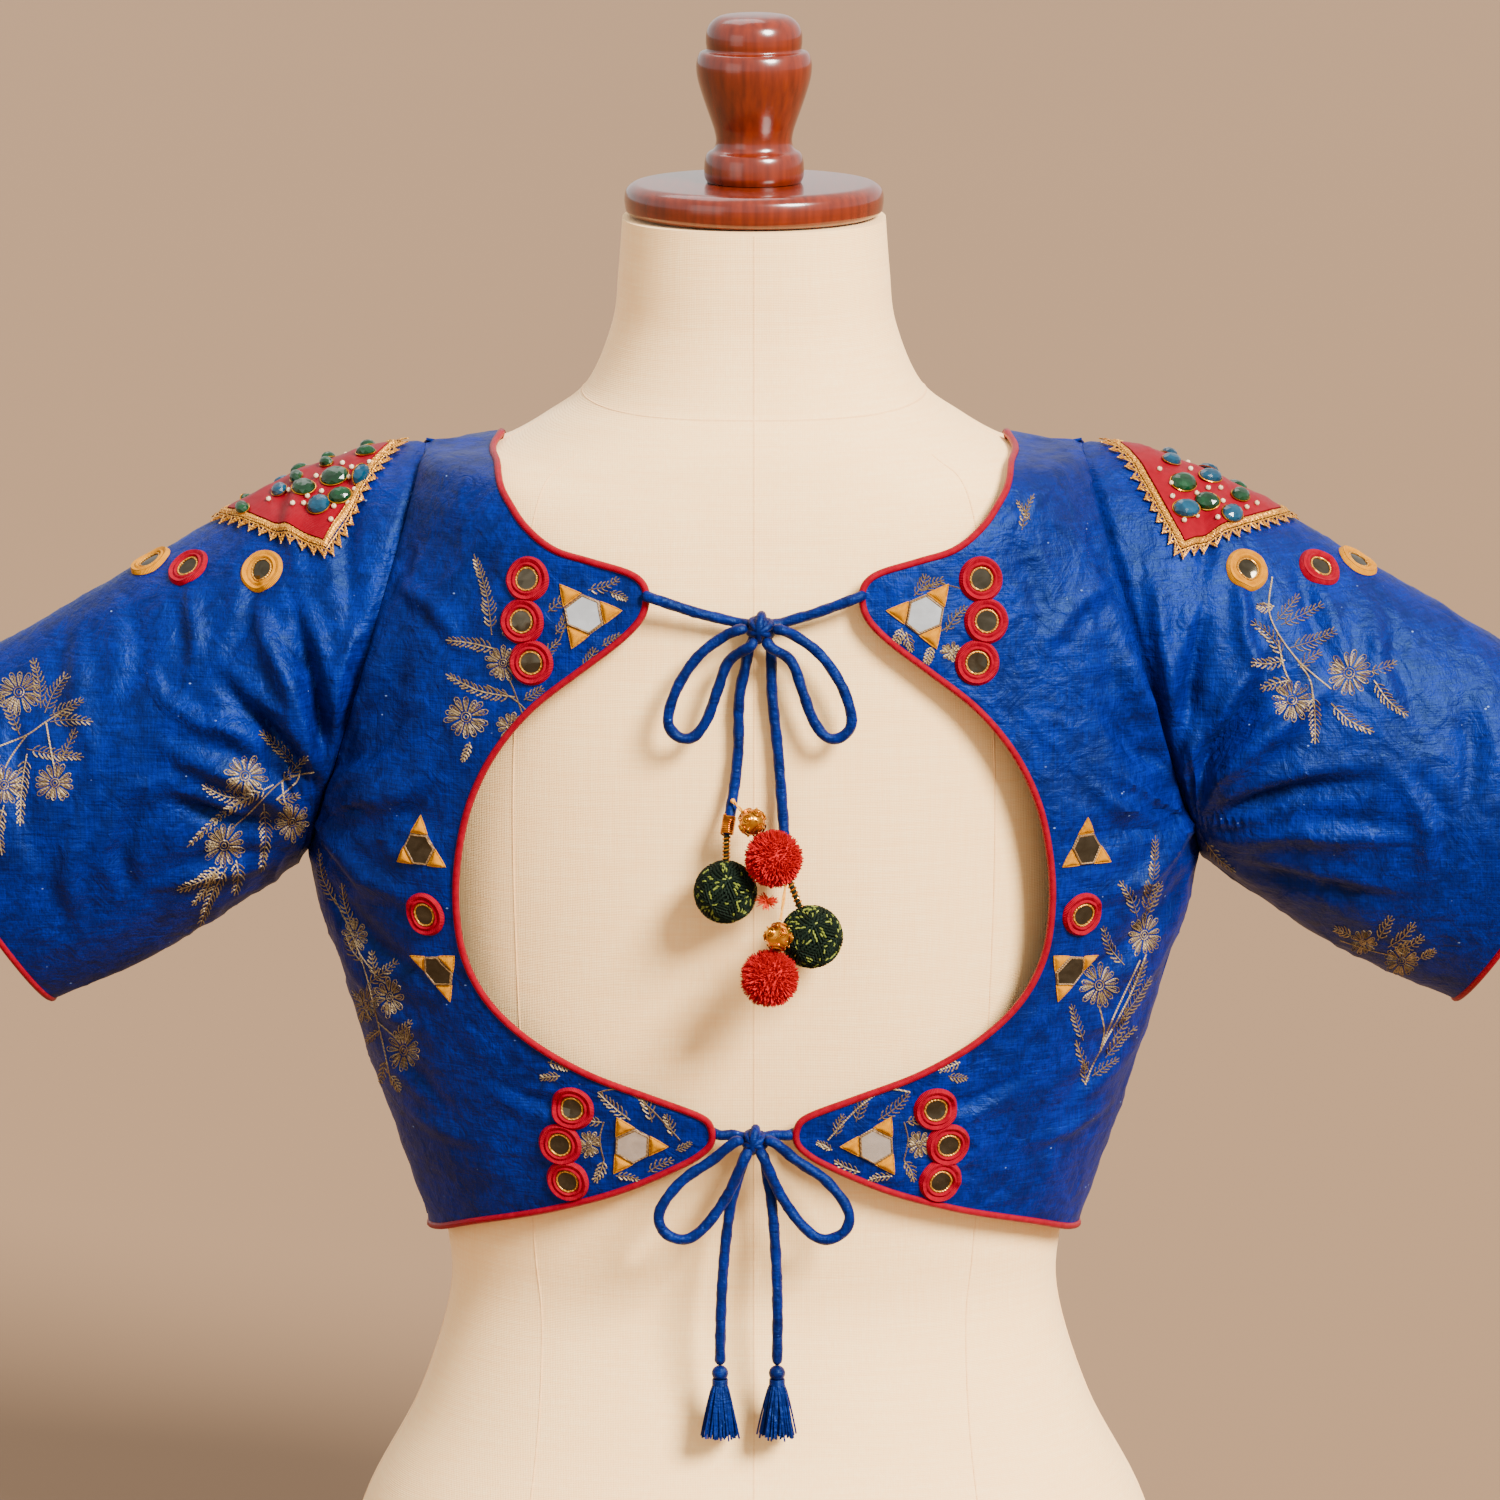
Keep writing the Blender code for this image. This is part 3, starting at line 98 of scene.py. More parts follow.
class Shader:
    """Builds the node tree of one material."""

    def __init__(self, name: str, roughness: float, metallic: float = 0.0) -> None:
        """Starts a material with a Principled surface.

        Args:
            name: The material's name.
            roughness: Roughness of the whole surface.
            metallic: Metallic value of the whole surface.
        """
        self.material = bpy.data.materials.new(name)
        self.material.use_nodes = True
        self.tree = self.material.node_tree
        self.surface = self.tree.nodes["Principled BSDF"]
        self.set({"Roughness": roughness, "Metallic": metallic})
        spaces = self.tree.nodes.new("ShaderNodeTexCoord").outputs
        self.place, self.uv = spaces["Object"], spaces["UV"]

    def set(self, values: dict) -> None:
        """Sets some of the surface's own values.

        Args:
            values: Numbers or colours by socket.
        """
        for label, value in values.items():
            value = (*value, 1.0) if isinstance(value, tuple) else value
            self.surface.inputs[label].default_value = value

    def node(self, kind: str, inputs: dict, output: str | int, **options) -> Socket:
        """Adds a node.

        Args:
            kind: Its type, without the word ShaderNode.
            inputs: A value or a socket for each of its inputs.
            output: The output that is read.
            options: Settings of the node itself.

        Returns:
            The socket of the output.
        """
        node = self.tree.nodes.new("ShaderNode" + kind)
        for label, value in options.items():
            setattr(node, label, value)
        for label, value in inputs.items():
            if isinstance(value, Socket):
                self.tree.links.new(value, node.inputs[label])
            else:
                node.inputs[label].default_value = value
        return node.outputs[output]

    def scaled(self, scale: Colour, space: Socket | None = None) -> Socket:
        """Gives the object's coordinates, or others, stretched along the three axes."""
        return self.node("Mapping", {"Scale": scale, "Vector": space or self.place}, "Vector")

    def noise(self, space: Socket, scale: float, detail: float = 3.0,
              warp: float = 0.0) -> Socket:
        """Adds a noise with a number of octaves."""
        inputs = {"Scale": scale, "Detail": detail, "Distortion": warp, "Vector": space}
        return self.node("TexNoise", inputs, "Fac")

    def wave(self, space: Socket, scale: float, direction: str,
             warp: float = 0.0) -> Socket:
        """Adds bands across X, Y, Z or DIAGONAL."""
        inputs = {"Scale": scale, "Distortion": warp, "Vector": space}
        return self.node("TexWave", inputs, "Fac", bands_direction=direction)

    def cells(self, space: Socket, scale: float) -> Socket:
        """Adds the distance to the middle of the nearest cell."""
        return self.node("TexVoronoi", {"Scale": scale, "Vector": space}, "Distance")

    def ramp(self, value: Socket, low: float, high: float) -> Socket:
        """Stretches a value's range from low and high to 0 and 1."""
        return self.node("MapRange", {"From Min": low, "From Max": high, "Value": value}, "Result")

    def add(self, first: Socket, second: Socket) -> Socket:
        """Adds two values."""
        return self.node("Math", {0: first, 1: second}, 0, operation="ADD")

    def times(self, first: Socket, second: Socket | float) -> Socket:
        """Multiplies two values."""
        return self.node("Math", {0: first, 1: second}, 0, operation="MULTIPLY")

    def tint(self, share: Socket, *colours: Colour | Socket) -> Socket:
        """Mixes two colours by the share of the second one."""
        first, second = ((*c, 1.0) if isinstance(c, tuple) else c for c in colours)
        return self.node("Mix", {"Factor": share, 6: first, 7: second}, 2, data_type="RGBA")

    def finish(self, colour: Socket, height: Socket | None = None,
               strength: float = 0.3, distance: float = 0.0003,
               roughness: Socket | None = None) -> bpy.types.Material:
        """Wires the results into the surface.

        Args:
            colour: The base colour.
            height: The relief.
            strength: Strength of the relief.
            distance: Height of the relief in metres.
            roughness: The roughness where it varies.

        Returns:
            The finished material.
        """
        links = {"Base Color": colour, "Roughness": roughness}
        if height is not None:
            bump = {"Strength": strength, "Distance": distance, "Height": height}
            links["Normal"] = self.node("Bump", bump, "Normal")
        for label, socket in links.items():
            if socket is not None:
                self.tree.links.new(socket, self.surface.inputs[label])
        return self.material


@dataclass(frozen=True)
class Finish:
    """What all finishes with two mixed colours share."""
    name: str
    deep: Colour
    light: Colour

    def mixed(self, shader: Shader, share: Socket, *relief) -> bpy.types.Material:
        """Ends the material with its two colours mixed by a share."""
        return shader.finish(shader.tint(share, self.deep, self.light), *relief)


@dataclass(frozen=True)
class SilkFinish(Finish):
    """Crisp silk with slubbed threads, fine crinkles, a soft sheen and mottled sheen highlights painted into
    its colour.
    """
    fleck: Colour
    roughness: float = 0.46
    crinkle: float = 0.80

    def make(self) -> bpy.types.Material:
        """Makes the material.

        Returns:
            The material.
        """
        shader = Shader(self.name, self.roughness)
        shader.set({"Sheen Weight": 0.02, "Sheen Roughness": 0.35, "Sheen Tint": (0.10, 0.28, 1.0),
                    "Specular IOR Level": 0.30, "Specular Tint": (0.20, 0.45, 1.0)})
        slub = shader.noise(shader.scaled((70, 70, 1500)), 1.0, 4)
        warp = shader.noise(shader.scaled((1300, 1300, 60)), 1.0, 2)
        # The blotchy noises at about 40 mm and 8 mm paint mottled sheen highlights into the blue; the slub
        # threads they are mixed with are the silk's real tone.
        cloud = shader.noise(shader.place, 26, 5, 0.6)
        threads = shader.add(shader.ramp(slub, 0.25, 0.8), shader.ramp(warp, 0.3, 0.8))
        painted_sheen_mottle = shader.ramp(shader.noise(shader.place, 120, 6, 1.0), 0.18, 0.62)
        slub_and_painted_sheen = shader.times(shader.times(threads, shader.ramp(cloud, 0.05, 0.7)), painted_sheen_mottle)
        base = shader.tint(slub_and_painted_sheen, self.deep, self.light)
        speck = shader.ramp(shader.cells(shader.scaled((1, 1, 1.6)), 150), 0.105, 0.06)
        chosen = shader.ramp(shader.noise(shader.place, 95, 1), 0.62, 0.68)
        colour = shader.tint(shader.times(speck, chosen), base, self.fleck)
        fine = shader.times(shader.noise(shader.place, 210, 4, 1.2), 0.5)
        coarse = shader.times(shader.noise(shader.place, 70, 3, 1.8), 1.3)
        relief = shader.add(shader.times(threads, 0.10), shader.add(fine, coarse))
        return shader.finish(colour, relief, self.crinkle, 0.0011, shader.ramp(slub, -0.9, 1.9))


@dataclass(frozen=True)
class SatinFinish(Finish):
    """Smooth satin thread or cloth, with fine stitches across it."""
    roughness: float = 0.42
    threads: float = 900.0
    relief: float = 0.35

    def make(self) -> bpy.types.Material:
        """Makes the material.

        Returns:
            The material.
        """
        shader = Shader(self.name, self.roughness)
        shader.set({"Specular Tint": self.light})
        line = shader.wave(shader.place, self.threads, "DIAGONAL", 3.0)
        cloud = shader.noise(shader.place, 320, 4)
        mix = shader.times(shader.ramp(cloud, 0.2, 0.8), shader.ramp(line, -0.6, 1.0))
        return self.mixed(shader, mix, shader.add(line, cloud), self.relief, 0.00025)


@dataclass(frozen=True)
class StitchFinish(Finish):
    """Satin stitches that follow the piece's own UV map: U counts the threads."""
    roughness: float = 0.45

    def make(self) -> bpy.types.Material:
        """Makes the material.

        Returns:
            The material.
        """
        shader = Shader(self.name, self.roughness)
        shader.set({"Specular Tint": self.light, "Specular IOR Level": 0.25})
        line = shader.wave(shader.scaled((1, 0.1, 1), shader.uv), 0.3183, "X", 0.5)
        cloud = shader.noise(shader.place, 420, 4)
        mix = shader.times(shader.ramp(cloud, 0.1, 0.7), shader.ramp(line, -0.8, 0.9))
        return self.mixed(shader, mix, shader.add(line, shader.times(cloud, 0.7)), 0.55, 0.0003)


@dataclass(frozen=True)
class GoldThreadFinish(Finish):
    """Metallic thread, dull or bright."""
    roughness: float = 0.38
    metallic: float = 0.75
    scale: float = 1400.0

    def make(self) -> bpy.types.Material:
        """Makes the material.

        Returns:
            The material.
        """
        shader = Shader(self.name, self.roughness, self.metallic)
        twist = shader.wave(shader.place, self.scale / 4, "DIAGONAL", 2.0)
        grain = shader.noise(shader.place, self.scale, 2)
        mix = shader.times(shader.ramp(grain, 0.3, 0.7), shader.ramp(twist, -0.5, 1.0))
        return self.mixed(shader, mix, shader.add(twist, grain), 0.5, 0.0003)


@dataclass(frozen=True)
class LinenFinish(Finish):
    """Plain cloth pulled over the form, with its weave, slubs and faint stains."""

    def make(self) -> bpy.types.Material:
        """Makes the material.

        Returns:
            The material.
        """
        shader = Shader(self.name, 0.85)
        shader.set({"Sheen Weight": 0.15})
        weave = shader.add(shader.wave(shader.place, 420, "Z", 1.2), shader.wave(shader.place, 420, "X", 1.2))
        slub = shader.noise(shader.scaled((45, 45, 900)), 1.0, 4)
        long_slub = shader.noise(shader.scaled((800, 800, 50)), 1.0, 3)
        cloud = shader.noise(shader.place, 9, 5, 0.4)
        stain = shader.times(shader.ramp(long_slub, 0.1, 0.65), shader.ramp(cloud, 0.05, 0.5))
        height = shader.add(shader.times(weave, 0.6), shader.add(slub, long_slub))
        return self.mixed(shader, shader.times(shader.ramp(slub, 0.15, 0.7), stain), height, 0.35, 0.0003)


@dataclass(frozen=True)
class WoodFinish(Finish):
    """Varnished reddish wood with rings of grain."""

    def make(self) -> bpy.types.Material:
        """Makes the material.

        Returns:
            The material.
        """
        shader = Shader(self.name, 0.22)
        shader.set({"Coat Weight": 0.35, "Coat Roughness": 0.06})
        bands = shader.wave(shader.scaled((1, 0.5, 0.25)), 60, "X", 9.0)
        fibre = shader.noise(shader.scaled((420, 420, 26)), 1.0, 4)
        grain = shader.times(shader.ramp(fibre, 0.25, 0.75), 0.55)
        return self.mixed(shader, shader.add(shader.times(bands, 0.28), grain), fibre, 0.08, 0.0002)


@dataclass(frozen=True)
class YarnFinish(Finish):
    """Fluffy yarn in one family of colours."""
    scale: float = 700.0

    def make(self) -> bpy.types.Material:
        """Makes the material.

        Returns:
            The material.
        """
        shader = Shader(self.name, 0.8)
        shader.set({"Sheen Weight": 0.05, "Sheen Tint": self.light, "Specular IOR Level": 0.12})
        grain = shader.noise(shader.place, self.scale, 3)
        fibre = shader.noise(shader.scaled((900, 900, 160)), 1.0, 3)
        mix = shader.add(shader.ramp(grain, 0.3, 0.9), shader.times(fibre, 0.35))
        return self.mixed(shader, mix, shader.add(grain, fibre), 0.5, 0.0004)


@dataclass(frozen=True)
class GlassFinish(Finish):
    """Mirror, cut stone or bead."""
    roughness: float
    metallic: float = 0.0
    coat: float = 0.0
    scale: float = 160.0

    def make(self) -> bpy.types.Material:
        """Makes the material.

        Returns:
            The material.
        """
        shader = Shader(self.name, self.roughness, self.metallic)
        shader.set({"Specular IOR Level": 0.3, "Coat Weight": self.coat, "Coat Roughness": 0.05})
        cloud = shader.noise(shader.place, self.scale, 3, 0.8)
        smear = shader.noise(shader.scaled((60, 60, 260)), 1.0, 4)
        mix = shader.times(shader.ramp(cloud, 0.25, 0.75), shader.ramp(smear, 0.2, 0.7))
        return self.mixed(shader, mix, smear, 0.05, 0.0002)


@dataclass(frozen=True)
class FloorFinish(Finish):
    """Plain pale floor."""

    def make(self) -> bpy.types.Material:
        """Makes the material."""
        shader = Shader(self.name, 0.9)
        return self.mixed(shader, shader.noise(shader.place, 1.3, 3))


# Both silk finishes: the lighter blue is partly real slub tone and partly painted sheen highlight.
SILK = SilkFinish("royal_silk", (.0001, .0008, .030), (.0004, .0066, .152), (.12, .19, .38))
CORD_SILK = SilkFinish("cord_silk", (.0001, .001, .028), (.0004, .007, .12), (.03, .09, .30), 0.46, 0.9)
RED_PIPING = SatinFinish("red_piping", (.140, 0, .006), (.280, .001, .013))
RED_STITCH = StitchFinish("red_stitch", (.130, 0, .006), (.290, .001, .013))
YELLOW_STITCH = StitchFinish("yellow_stitch", (.310, .104, 0), (.540, .216, 0))
RED_SATIN = SatinFinish("red_satin", (.130, 0, .005), (.205, .001, .009), 0.52, 500.0, 0.2)
SPRAY_GOLD = GoldThreadFinish("dull_gold_thread", (.100, .065, .026), (.360, .250, .115), 0.5, 0.35)
# The lace gold's darkest tone in its twist bands is painted shade in the gaps between the plies; the twist
# pattern itself is the thread's own.
LACE_GOLD = GoldThreadFinish("lace_gold", (.220, .060, .002), (1.0, .520, .060), 0.38, 0.60)
BEAD_GOLD = GoldThreadFinish("gilt_metal", (.350, .110, .004), (.950, .440, .030), 0.24, 0.95, 300.0)
LINEN = LinenFinish("form_linen", (.970, .570, .220), (1.0, .680, .310))
LINEN_SEAM = LinenFinish("form_seam_linen", (.850, .470, .175), (.960, .600, .260))
WOOD = WoodFinish("varnished_wood", (.065, .0045, .0001), (.165, .0135, .0002))
RED_YARN = YarnFinish("red_yarn", (.230, 0, .002), (.520, 0, .005))
ORANGE_YARN = YarnFinish("orange_yarn", (.420, .014, .003), (.640, .040, .008))
GREEN_YARN = YarnFinish("green_yarn", (.0012, .0035, .0018), (.005, .0125, .006))
LIME_THREAD = YarnFinish("lime_thread", (.070, .090, .012), (.240, .280, .045))
ORANGE_THREAD = YarnFinish("orange_thread", (.500, .170, .010), (.820, .380, .030), 900.0)
# Two copies of one mirror glass: the dark brown-grey one paints a dark reflection, the near-white one a
# bright reflection.
DARK_REFLECTION_MIRROR = GlassFinish("small_mirror", (.040, .032, .020), (.095, .082, .058), 0.12, 0.85)
BRIGHT_REFLECTION_MIRROR = GlassFinish("bright_mirror", (.62, .62, .63), (.86, .86, .87), 0.06, 0.9)
MIRROR_RIM = GoldThreadFinish("mirror_rim", (.090, .045, .015), (.300, .170, .060), 0.5, 0.2)
GREEN_STONE = GlassFinish("green_stone", (.0005, .011, .003), (.002, .050, .014), 0.16, 0.0, 0.25)
TEAL_STONE = GlassFinish("teal_stone", (.0005, .014, .030), (.002, .060, .120), 0.16, 0.0, 0.25)
CREAM_BEAD = GlassFinish("cream_bead", (.560, .380, .200), (.880, .780, .600), 0.25, 0.0, 0.4)
FLOOR = FloorFinish("pale_floor", (.178, .099, .046), (.18334, .10197, .04738))


class Palette:
    """Makes each finish once and hands out its material."""

    def __init__(self) -> None:
        """Starts with no material."""
        self.made: dict[str, bpy.types.Material] = {}

    def get(self, finish: Finish) -> bpy.types.Material:
        """Gives the material of a finish.

        Args:
            finish: One of the finishes above.

        Returns:
            Its material.
        """
        if finish.name not in self.made:
            self.made[finish.name] = finish.make()
        return self.made[finish.name]


PALETTE = Palette()


# Meshes


def spin(first: Vector, second: Vector, turn: float) -> Vector:
    """Turns from the first direction towards the second."""
    return first * math.cos(turn) + second * math.sin(turn)


def scattered(index: int, count: int, shift: float = 0.0) -> Vector:
    """One of many directions that are spread evenly over a ball.

    Args:
        index: Its number.
        count: How many there are.
        shift: Turns all of them about Z.

    Returns:
        The direction.
    """
    z = 1 - 2 * (index + 0.5) / count
    flat = math.sqrt(1 - z * z)
    turn = index * GOLDEN_TURN + shift
    return Vector((flat * math.cos(turn), flat * math.sin(turn), z))


def band_faces(rows: int, sides: int, closed: bool = False, first: int = 0) -> list:
    """Faces between rings of points.

    Args:
        rows: Number of rings.
        sides: Points of each ring.
        closed: Joins the last ring to the first.
        first: Number of the first point.

    Returns:
        The faces.
    """
    faces, total = [], rows * sides
    for i in range(rows if closed else rows - 1):
        for k in range(sides):
            a, b = i * sides + k, i * sides + (k + 1) % sides
            faces.append(tuple(first + corner % total for corner in (a, b, b + sides, a + sides)))
    return faces


def tube_faces(rows: int, sides: int, closed: bool = False) -> list:
    """Faces of a tube, with a cap at each open end.

    Args:
        rows: Number of rings.
        sides: Points of each ring.
        closed: Joins the last ring to the first.

    Returns:
        The faces.
    """
    faces = band_faces(rows, sides, closed)
    if not closed:
        faces += [tuple(range(sides))[::-1], tuple(range((rows - 1) * sides, rows * sides))]
    return faces


class MeshBuilder:
    """Collects points and faces of one piece, with a material and a UV for each face."""

    def __init__(self, name: str, finishes: Sequence) -> None:
        """Starts an empty piece.

        Args:
            name: Name of the piece.
            finishes: Finishes of its material slots, in order.
        """
        self.name = name
        self.finishes = list(finishes)
        self.points: list = []
        self.faces: list = []
        self.slots: list[int] = []
        self.uvs: list = []

    def add(self, points: Sequence, faces: Sequence, slot: int = 0, uvs: Sequence | None = None) -> None:
        """Adds points and faces.

        Args:
            points: New points.
            faces: Faces that count from the first new point.
            slot: Material slot of the faces.
            uvs: A UV for each new point.
        """
        first = len(self.points)
        self.points.extend(tuple(p) for p in points)
        self.uvs.extend(uvs if uvs is not None else [(0.0, 0.0)] * len(points))
        self.faces.extend(tuple(first + k for k in face) for face in faces)
        self.slots.extend([slot] * len(faces))

    def tube(self, path: Points, radius: float | Callable[[float], float], sides: int = 6,
             slot: int = 0, closed: bool = False) -> None:
        """Adds a round tube along a path.

        Args:
            path: Points of its middle line.
            radius: Its radius, or a function of the share along it.
            sides: Points round it.
            slot: Material slot.
            closed: Joins its end to its start.
        """
        count = len(path)
        points, uvs = [], []
        up = None
        for i, point in enumerate(path):
            if closed:
                along = (path[(i + 1) % count] - path[i - 1]).normalized()
            else:
                along = (path[min(count - 1, i + 1)] - path[max(0, i - 1)]).normalized()
            if up is None:
                up = along.orthogonal()
            up = (up - along * up.dot(along)).normalized()
            across = along.cross(up)
            size = radius(i / max(1, count - 1)) if callable(radius) else radius
            for k in range(sides):
                turn = math.tau * k / sides
                points.append(point + spin(up, across, turn) * size)
                uvs.append((i * 1.0, k * 6.28 / sides))
        self.add(points, tube_faces(count, sides, closed), slot, uvs)

    def ball(self, middle: Vector, size: Vector | float, rings: int = 6, slot: int = 0,
             axes: tuple | None = None) -> None:
        """Adds a ball or an ellipsoid.

        Args:
            middle: Its middle.
            size: Its radius, or three radii.
            rings: Rings from pole to pole.
            slot: Material slot.
            axes: Three directions of its radii.
        """
        size = Vector((size, size, size)) if isinstance(size, (int, float)) else Vector(size)
        axes = axes or (Vector((1, 0, 0)), Vector((0, 1, 0)), Vector((0, 0, 1)))
        around = rings * 2
        points = [middle + axes[2] * size.z]
        for i in range(1, rings):
            tilt = math.pi * i / rings
            for k in range(around):
                turn = math.tau * k / around
                points.append(middle + axes[0] * (size.x * math.sin(tilt) * math.cos(turn))
                              + axes[1] * (size.y * math.sin(tilt) * math.sin(turn))
                              + axes[2] * (size.z * math.cos(tilt)))
        points.append(middle - axes[2] * size.z)
        faces = []
        for k in range(around):
            following = (k + 1) % around
            faces.append((0, 1 + k, 1 + following))
            last = 1 + (rings - 2) * around
            faces.append((len(points) - 1, last + following, last + k))
            for i in range(rings - 2):
                a, b = 1 + i * around + k, 1 + i * around + following
                faces.append((a, a + around, b + around, b))
        self.add(points, faces, slot)

    def build(self, smooth: bool = True, closed: bool = True) -> Piece:
        """Makes the object and lets it ride.

        Args:
            smooth: Shades it smooth.
            closed: Turns its faces outwards.

        Returns:
            The object.
        """
        mesh = bpy.data.meshes.new(self.name)
        mesh.from_pydata(self.points, [], self.faces)
        for finish in self.finishes:
            mesh.materials.append(PALETTE.get(finish))
        mesh.polygons.foreach_set("material_index", self.slots)
        layer = mesh.uv_layers.new(name="UVMap")
        corners = np.zeros(len(mesh.loops), dtype=np.int32)
        mesh.loops.foreach_get("vertex_index", corners)
        layer.data.foreach_set("uv", np.array(self.uvs, dtype=np.float32)[corners].ravel())
        if closed:
            shape = bmesh.new()
            shape.from_mesh(mesh)
            bmesh.ops.recalc_face_normals(shape, faces=shape.faces)
            shape.to_mesh(mesh)
            shape.free()
        if smooth:
            mesh.shade_smooth()
            mesh.set_sharp_from_angle(angle=math.radians(50))
        piece = bpy.data.objects.new(self.name, mesh)
        bpy.context.scene.collection.objects.link(piece)
        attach(piece, "root")
        return piece

    def stand_in(self, slot: str, *nodes: str, **how: bool) -> Piece:
        """Makes the object in place of some nodes.

        Args:
            slot: Its material slot in the record; not used.
            nodes: Nodes that it replaces.
            how: How it is built.

        Returns:
            The object.
        """
        piece = self.build(**how)
        if nodes:
            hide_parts(*nodes)
        return piece


def blended(before: float, start: float, end: float, after: float, share: float) -> float:
    """Value of a smooth curve between start and end.

    Args:
        before: Value before start.
        start: First value.
        end: Second value.
        after: Value after end.
        share: Share of the way from start to end.

    Returns:
        The value there.
    """
    return start + 0.5 * share * (
        (end - before) + share * (
            (2 * before - 5 * start + 4 * end - after)
            + share * (3 * (start - end) + after - before)))


def read_table(rows: Sequence, place: float) -> list[float]:
    """Reads a table of sections at a place between its rows.

    Args:
        rows: Rows of numbers.
        place: Row number, with its fraction.

    Returns:
        The numbers there.
    """
    last = len(rows) - 1
    place = max(0.0, min(last - 1e-6, place))
    index = int(place)
    near = [rows[max(0, min(last, index + k))] for k in (-1, 0, 1, 2)]
    return [blended(*values, place - index) for values in zip(*near)]


def smooth_route(route: Sequence, count: int) -> list[Vector]:
    """Spaces points evenly on a smooth curve through a route.

    Args:
        route: Points that it runs through.
        count: Number of points wanted.

    Returns:
        The points.
    """
    dense = [Vector(read_table(route, k * (len(route) - 1) / 400)) for k in range(401)]
    reach = [0.0]
    for before, after in zip(dense, dense[1:]):
        reach.append(reach[-1] + (after - before).length)
    points, index = [], 0
    for step in range(count):
        wanted = reach[-1] * step / (count - 1)
        while index < 399 and reach[index + 1] < wanted:
            index += 1
        share = (wanted - reach[index]) / max(1e-9, reach[index + 1] - reach[index])
        points.append(dense[index].lerp(dense[index + 1], min(1.0, share)))
    return points


def path_length(path: Points) -> float:
    """Length of a path."""
    return sum((after - before).length for before, after in zip(path, path[1:]))


def power(value: float, exponent: float) -> float:
    """Raises the size of a value and keeps its sign."""
    return math.copysign(abs(value) ** exponent, value)


def mirror(points: Points) -> list[Vector]:
    """Mirrors points to the other side of the middle."""
    return [Vector((-p.x, p.y, p.z)) for p in points]


# The body that form and cloth share


class Ring(NamedTuple):
    """One level of the body: form and cloth have their own half widths and depths there."""
    side_z: float
    middle_z: float
    form_half: float
    form_back: float
    form_front: float
    cloth_half: float
    cloth_back: float
    cloth_front: float
    cloth_lift: float


@dataclass(frozen=True)
class Body:
    """Rings of the torso, from the flat base to the top of the neck."""
    rings: tuple[Ring, ...] = (
        Ring(0.000, 0.000, .1820, .114, .100, .188, .120, .106, 0),
        Ring(0.050, 0.050, .1890, .121, .104, .195, .127, .110, 0),
        Ring(0.100, 0.100, .1790, .114, .104, .185, .120, .110, 0),
        Ring(0.150, 0.150, .1535, .094, .098, .159, .100, .104, 0),
        Ring(0.200, 0.200, .1380, .080, .088, .144, .087, .094, 0),
        Ring(0.236, 0.236, .1400, .082, .089, .1475, .091, .097, 0),
        Ring(0.290, 0.290, .1465, .091, .096, .165, .100, .105, 0),
        Ring(0.345, 0.345, .1530, .100, .110, .183, .107, .122, 0),
        Ring(0.395, 0.395, .1570, .105, .126, .1965, .112, .137, 0),
        Ring(0.440, 0.440, .1590, .107, .124, .201, .114, .134, 0),
        Ring(0.482, 0.474, .1600, .107, .112, .197, .114, .121, 0),
        Ring(0.520, 0.503, .1610, .105, .100, .190, .112, .109, .001),
        Ring(0.552, 0.528, .1600, .103, .094, .179, .110, .103, .0025),
        Ring(0.574, 0.550, .1545, .099, .087, .165, .107, .098, .0035),
        Ring(0.5845, 0.568, .1430, .095, .083, .151, .103, .093, .0022),
        Ring(0.5875, 0.583, .1285, .090, .079, .135, .098, .087, .0011),
        Ring(0.5905, 0.595, .1140, .085, .076, .1185, .091, .082, .0004),
        Ring(0.6010, 0.606, .0950, .078, .071, .099, .083, .076, .0007),
        Ring(0.6165, 0.617, .0750, .071, .066, .079, .075, .070, .0025),
        Ring(0.644, 0.642, .0632, .0627, .0597, .067, .067, .064, 0),
        Ring(0.668, 0.668, .0603, .0600, .0570, .064, .064, .061, 0),
        Ring(NECK_TOP, NECK_TOP, .0585, .0582, .0560, .062, .062, .060, 0),
    )

    def point(self, level: float, angle: float, cloth: bool) -> Vector:
        """A point of the form or the cloth.

        Args:
            level: Ring number, with its fraction.
            angle: 0 is the right side and a quarter turn is the front.
            cloth: Takes the cloth's ring and not the form's.

        Returns:
            The point.
        """
        ring = Ring(*read_table(self.rings, level))
        half = ring.cloth_half if cloth else ring.form_half
        back = ring.cloth_back if cloth else ring.form_back
        front = ring.cloth_front if cloth else ring.form_front
        x = half * power(math.cos(angle), 2 / SQUARENESS)
        y = (front if math.sin(angle) > 0 else back) * power(math.sin(angle), 2 / SQUARENESS)
        share = (x / half) ** 2
        z = ring.side_z * share + ring.middle_z * (1 - share) + (ring.cloth_lift if cloth else 0)
        return Vector((x, y, z))

    def place(self, x: float, z: float) -> Place:
        """Finds the cloth's point at x and z.

        Args:
            x: Distance from the middle.
            z: Height.

        Returns:
            Its level, and its angle from the side.
        """
        low, high = 3.0, float(len(self.rings) - 3)
        for _ in range(30):
            middle = (low + high) / 2
            ring = Ring(*read_table(self.rings, middle))
            share = min(1.0, (x / ring.cloth_half) ** 2)
            here = ring.side_z * share + ring.middle_z * (1 - share) + ring.cloth_lift
            if here < z:
                low = middle
            else:
                high = middle
        half = Ring(*read_table(self.rings, low)).cloth_half
        return low, math.acos(min(1.0, abs(x) / half) ** (SQUARENESS / 2))


BODY = Body()


class SleeveStation(NamedTuple):
    """A ring round the sleeve: its top and underside in x and z, and its half depths."""
    top_x: float
    top_z: float
    under_x: float
    under_z: float
    back: float
    front: float


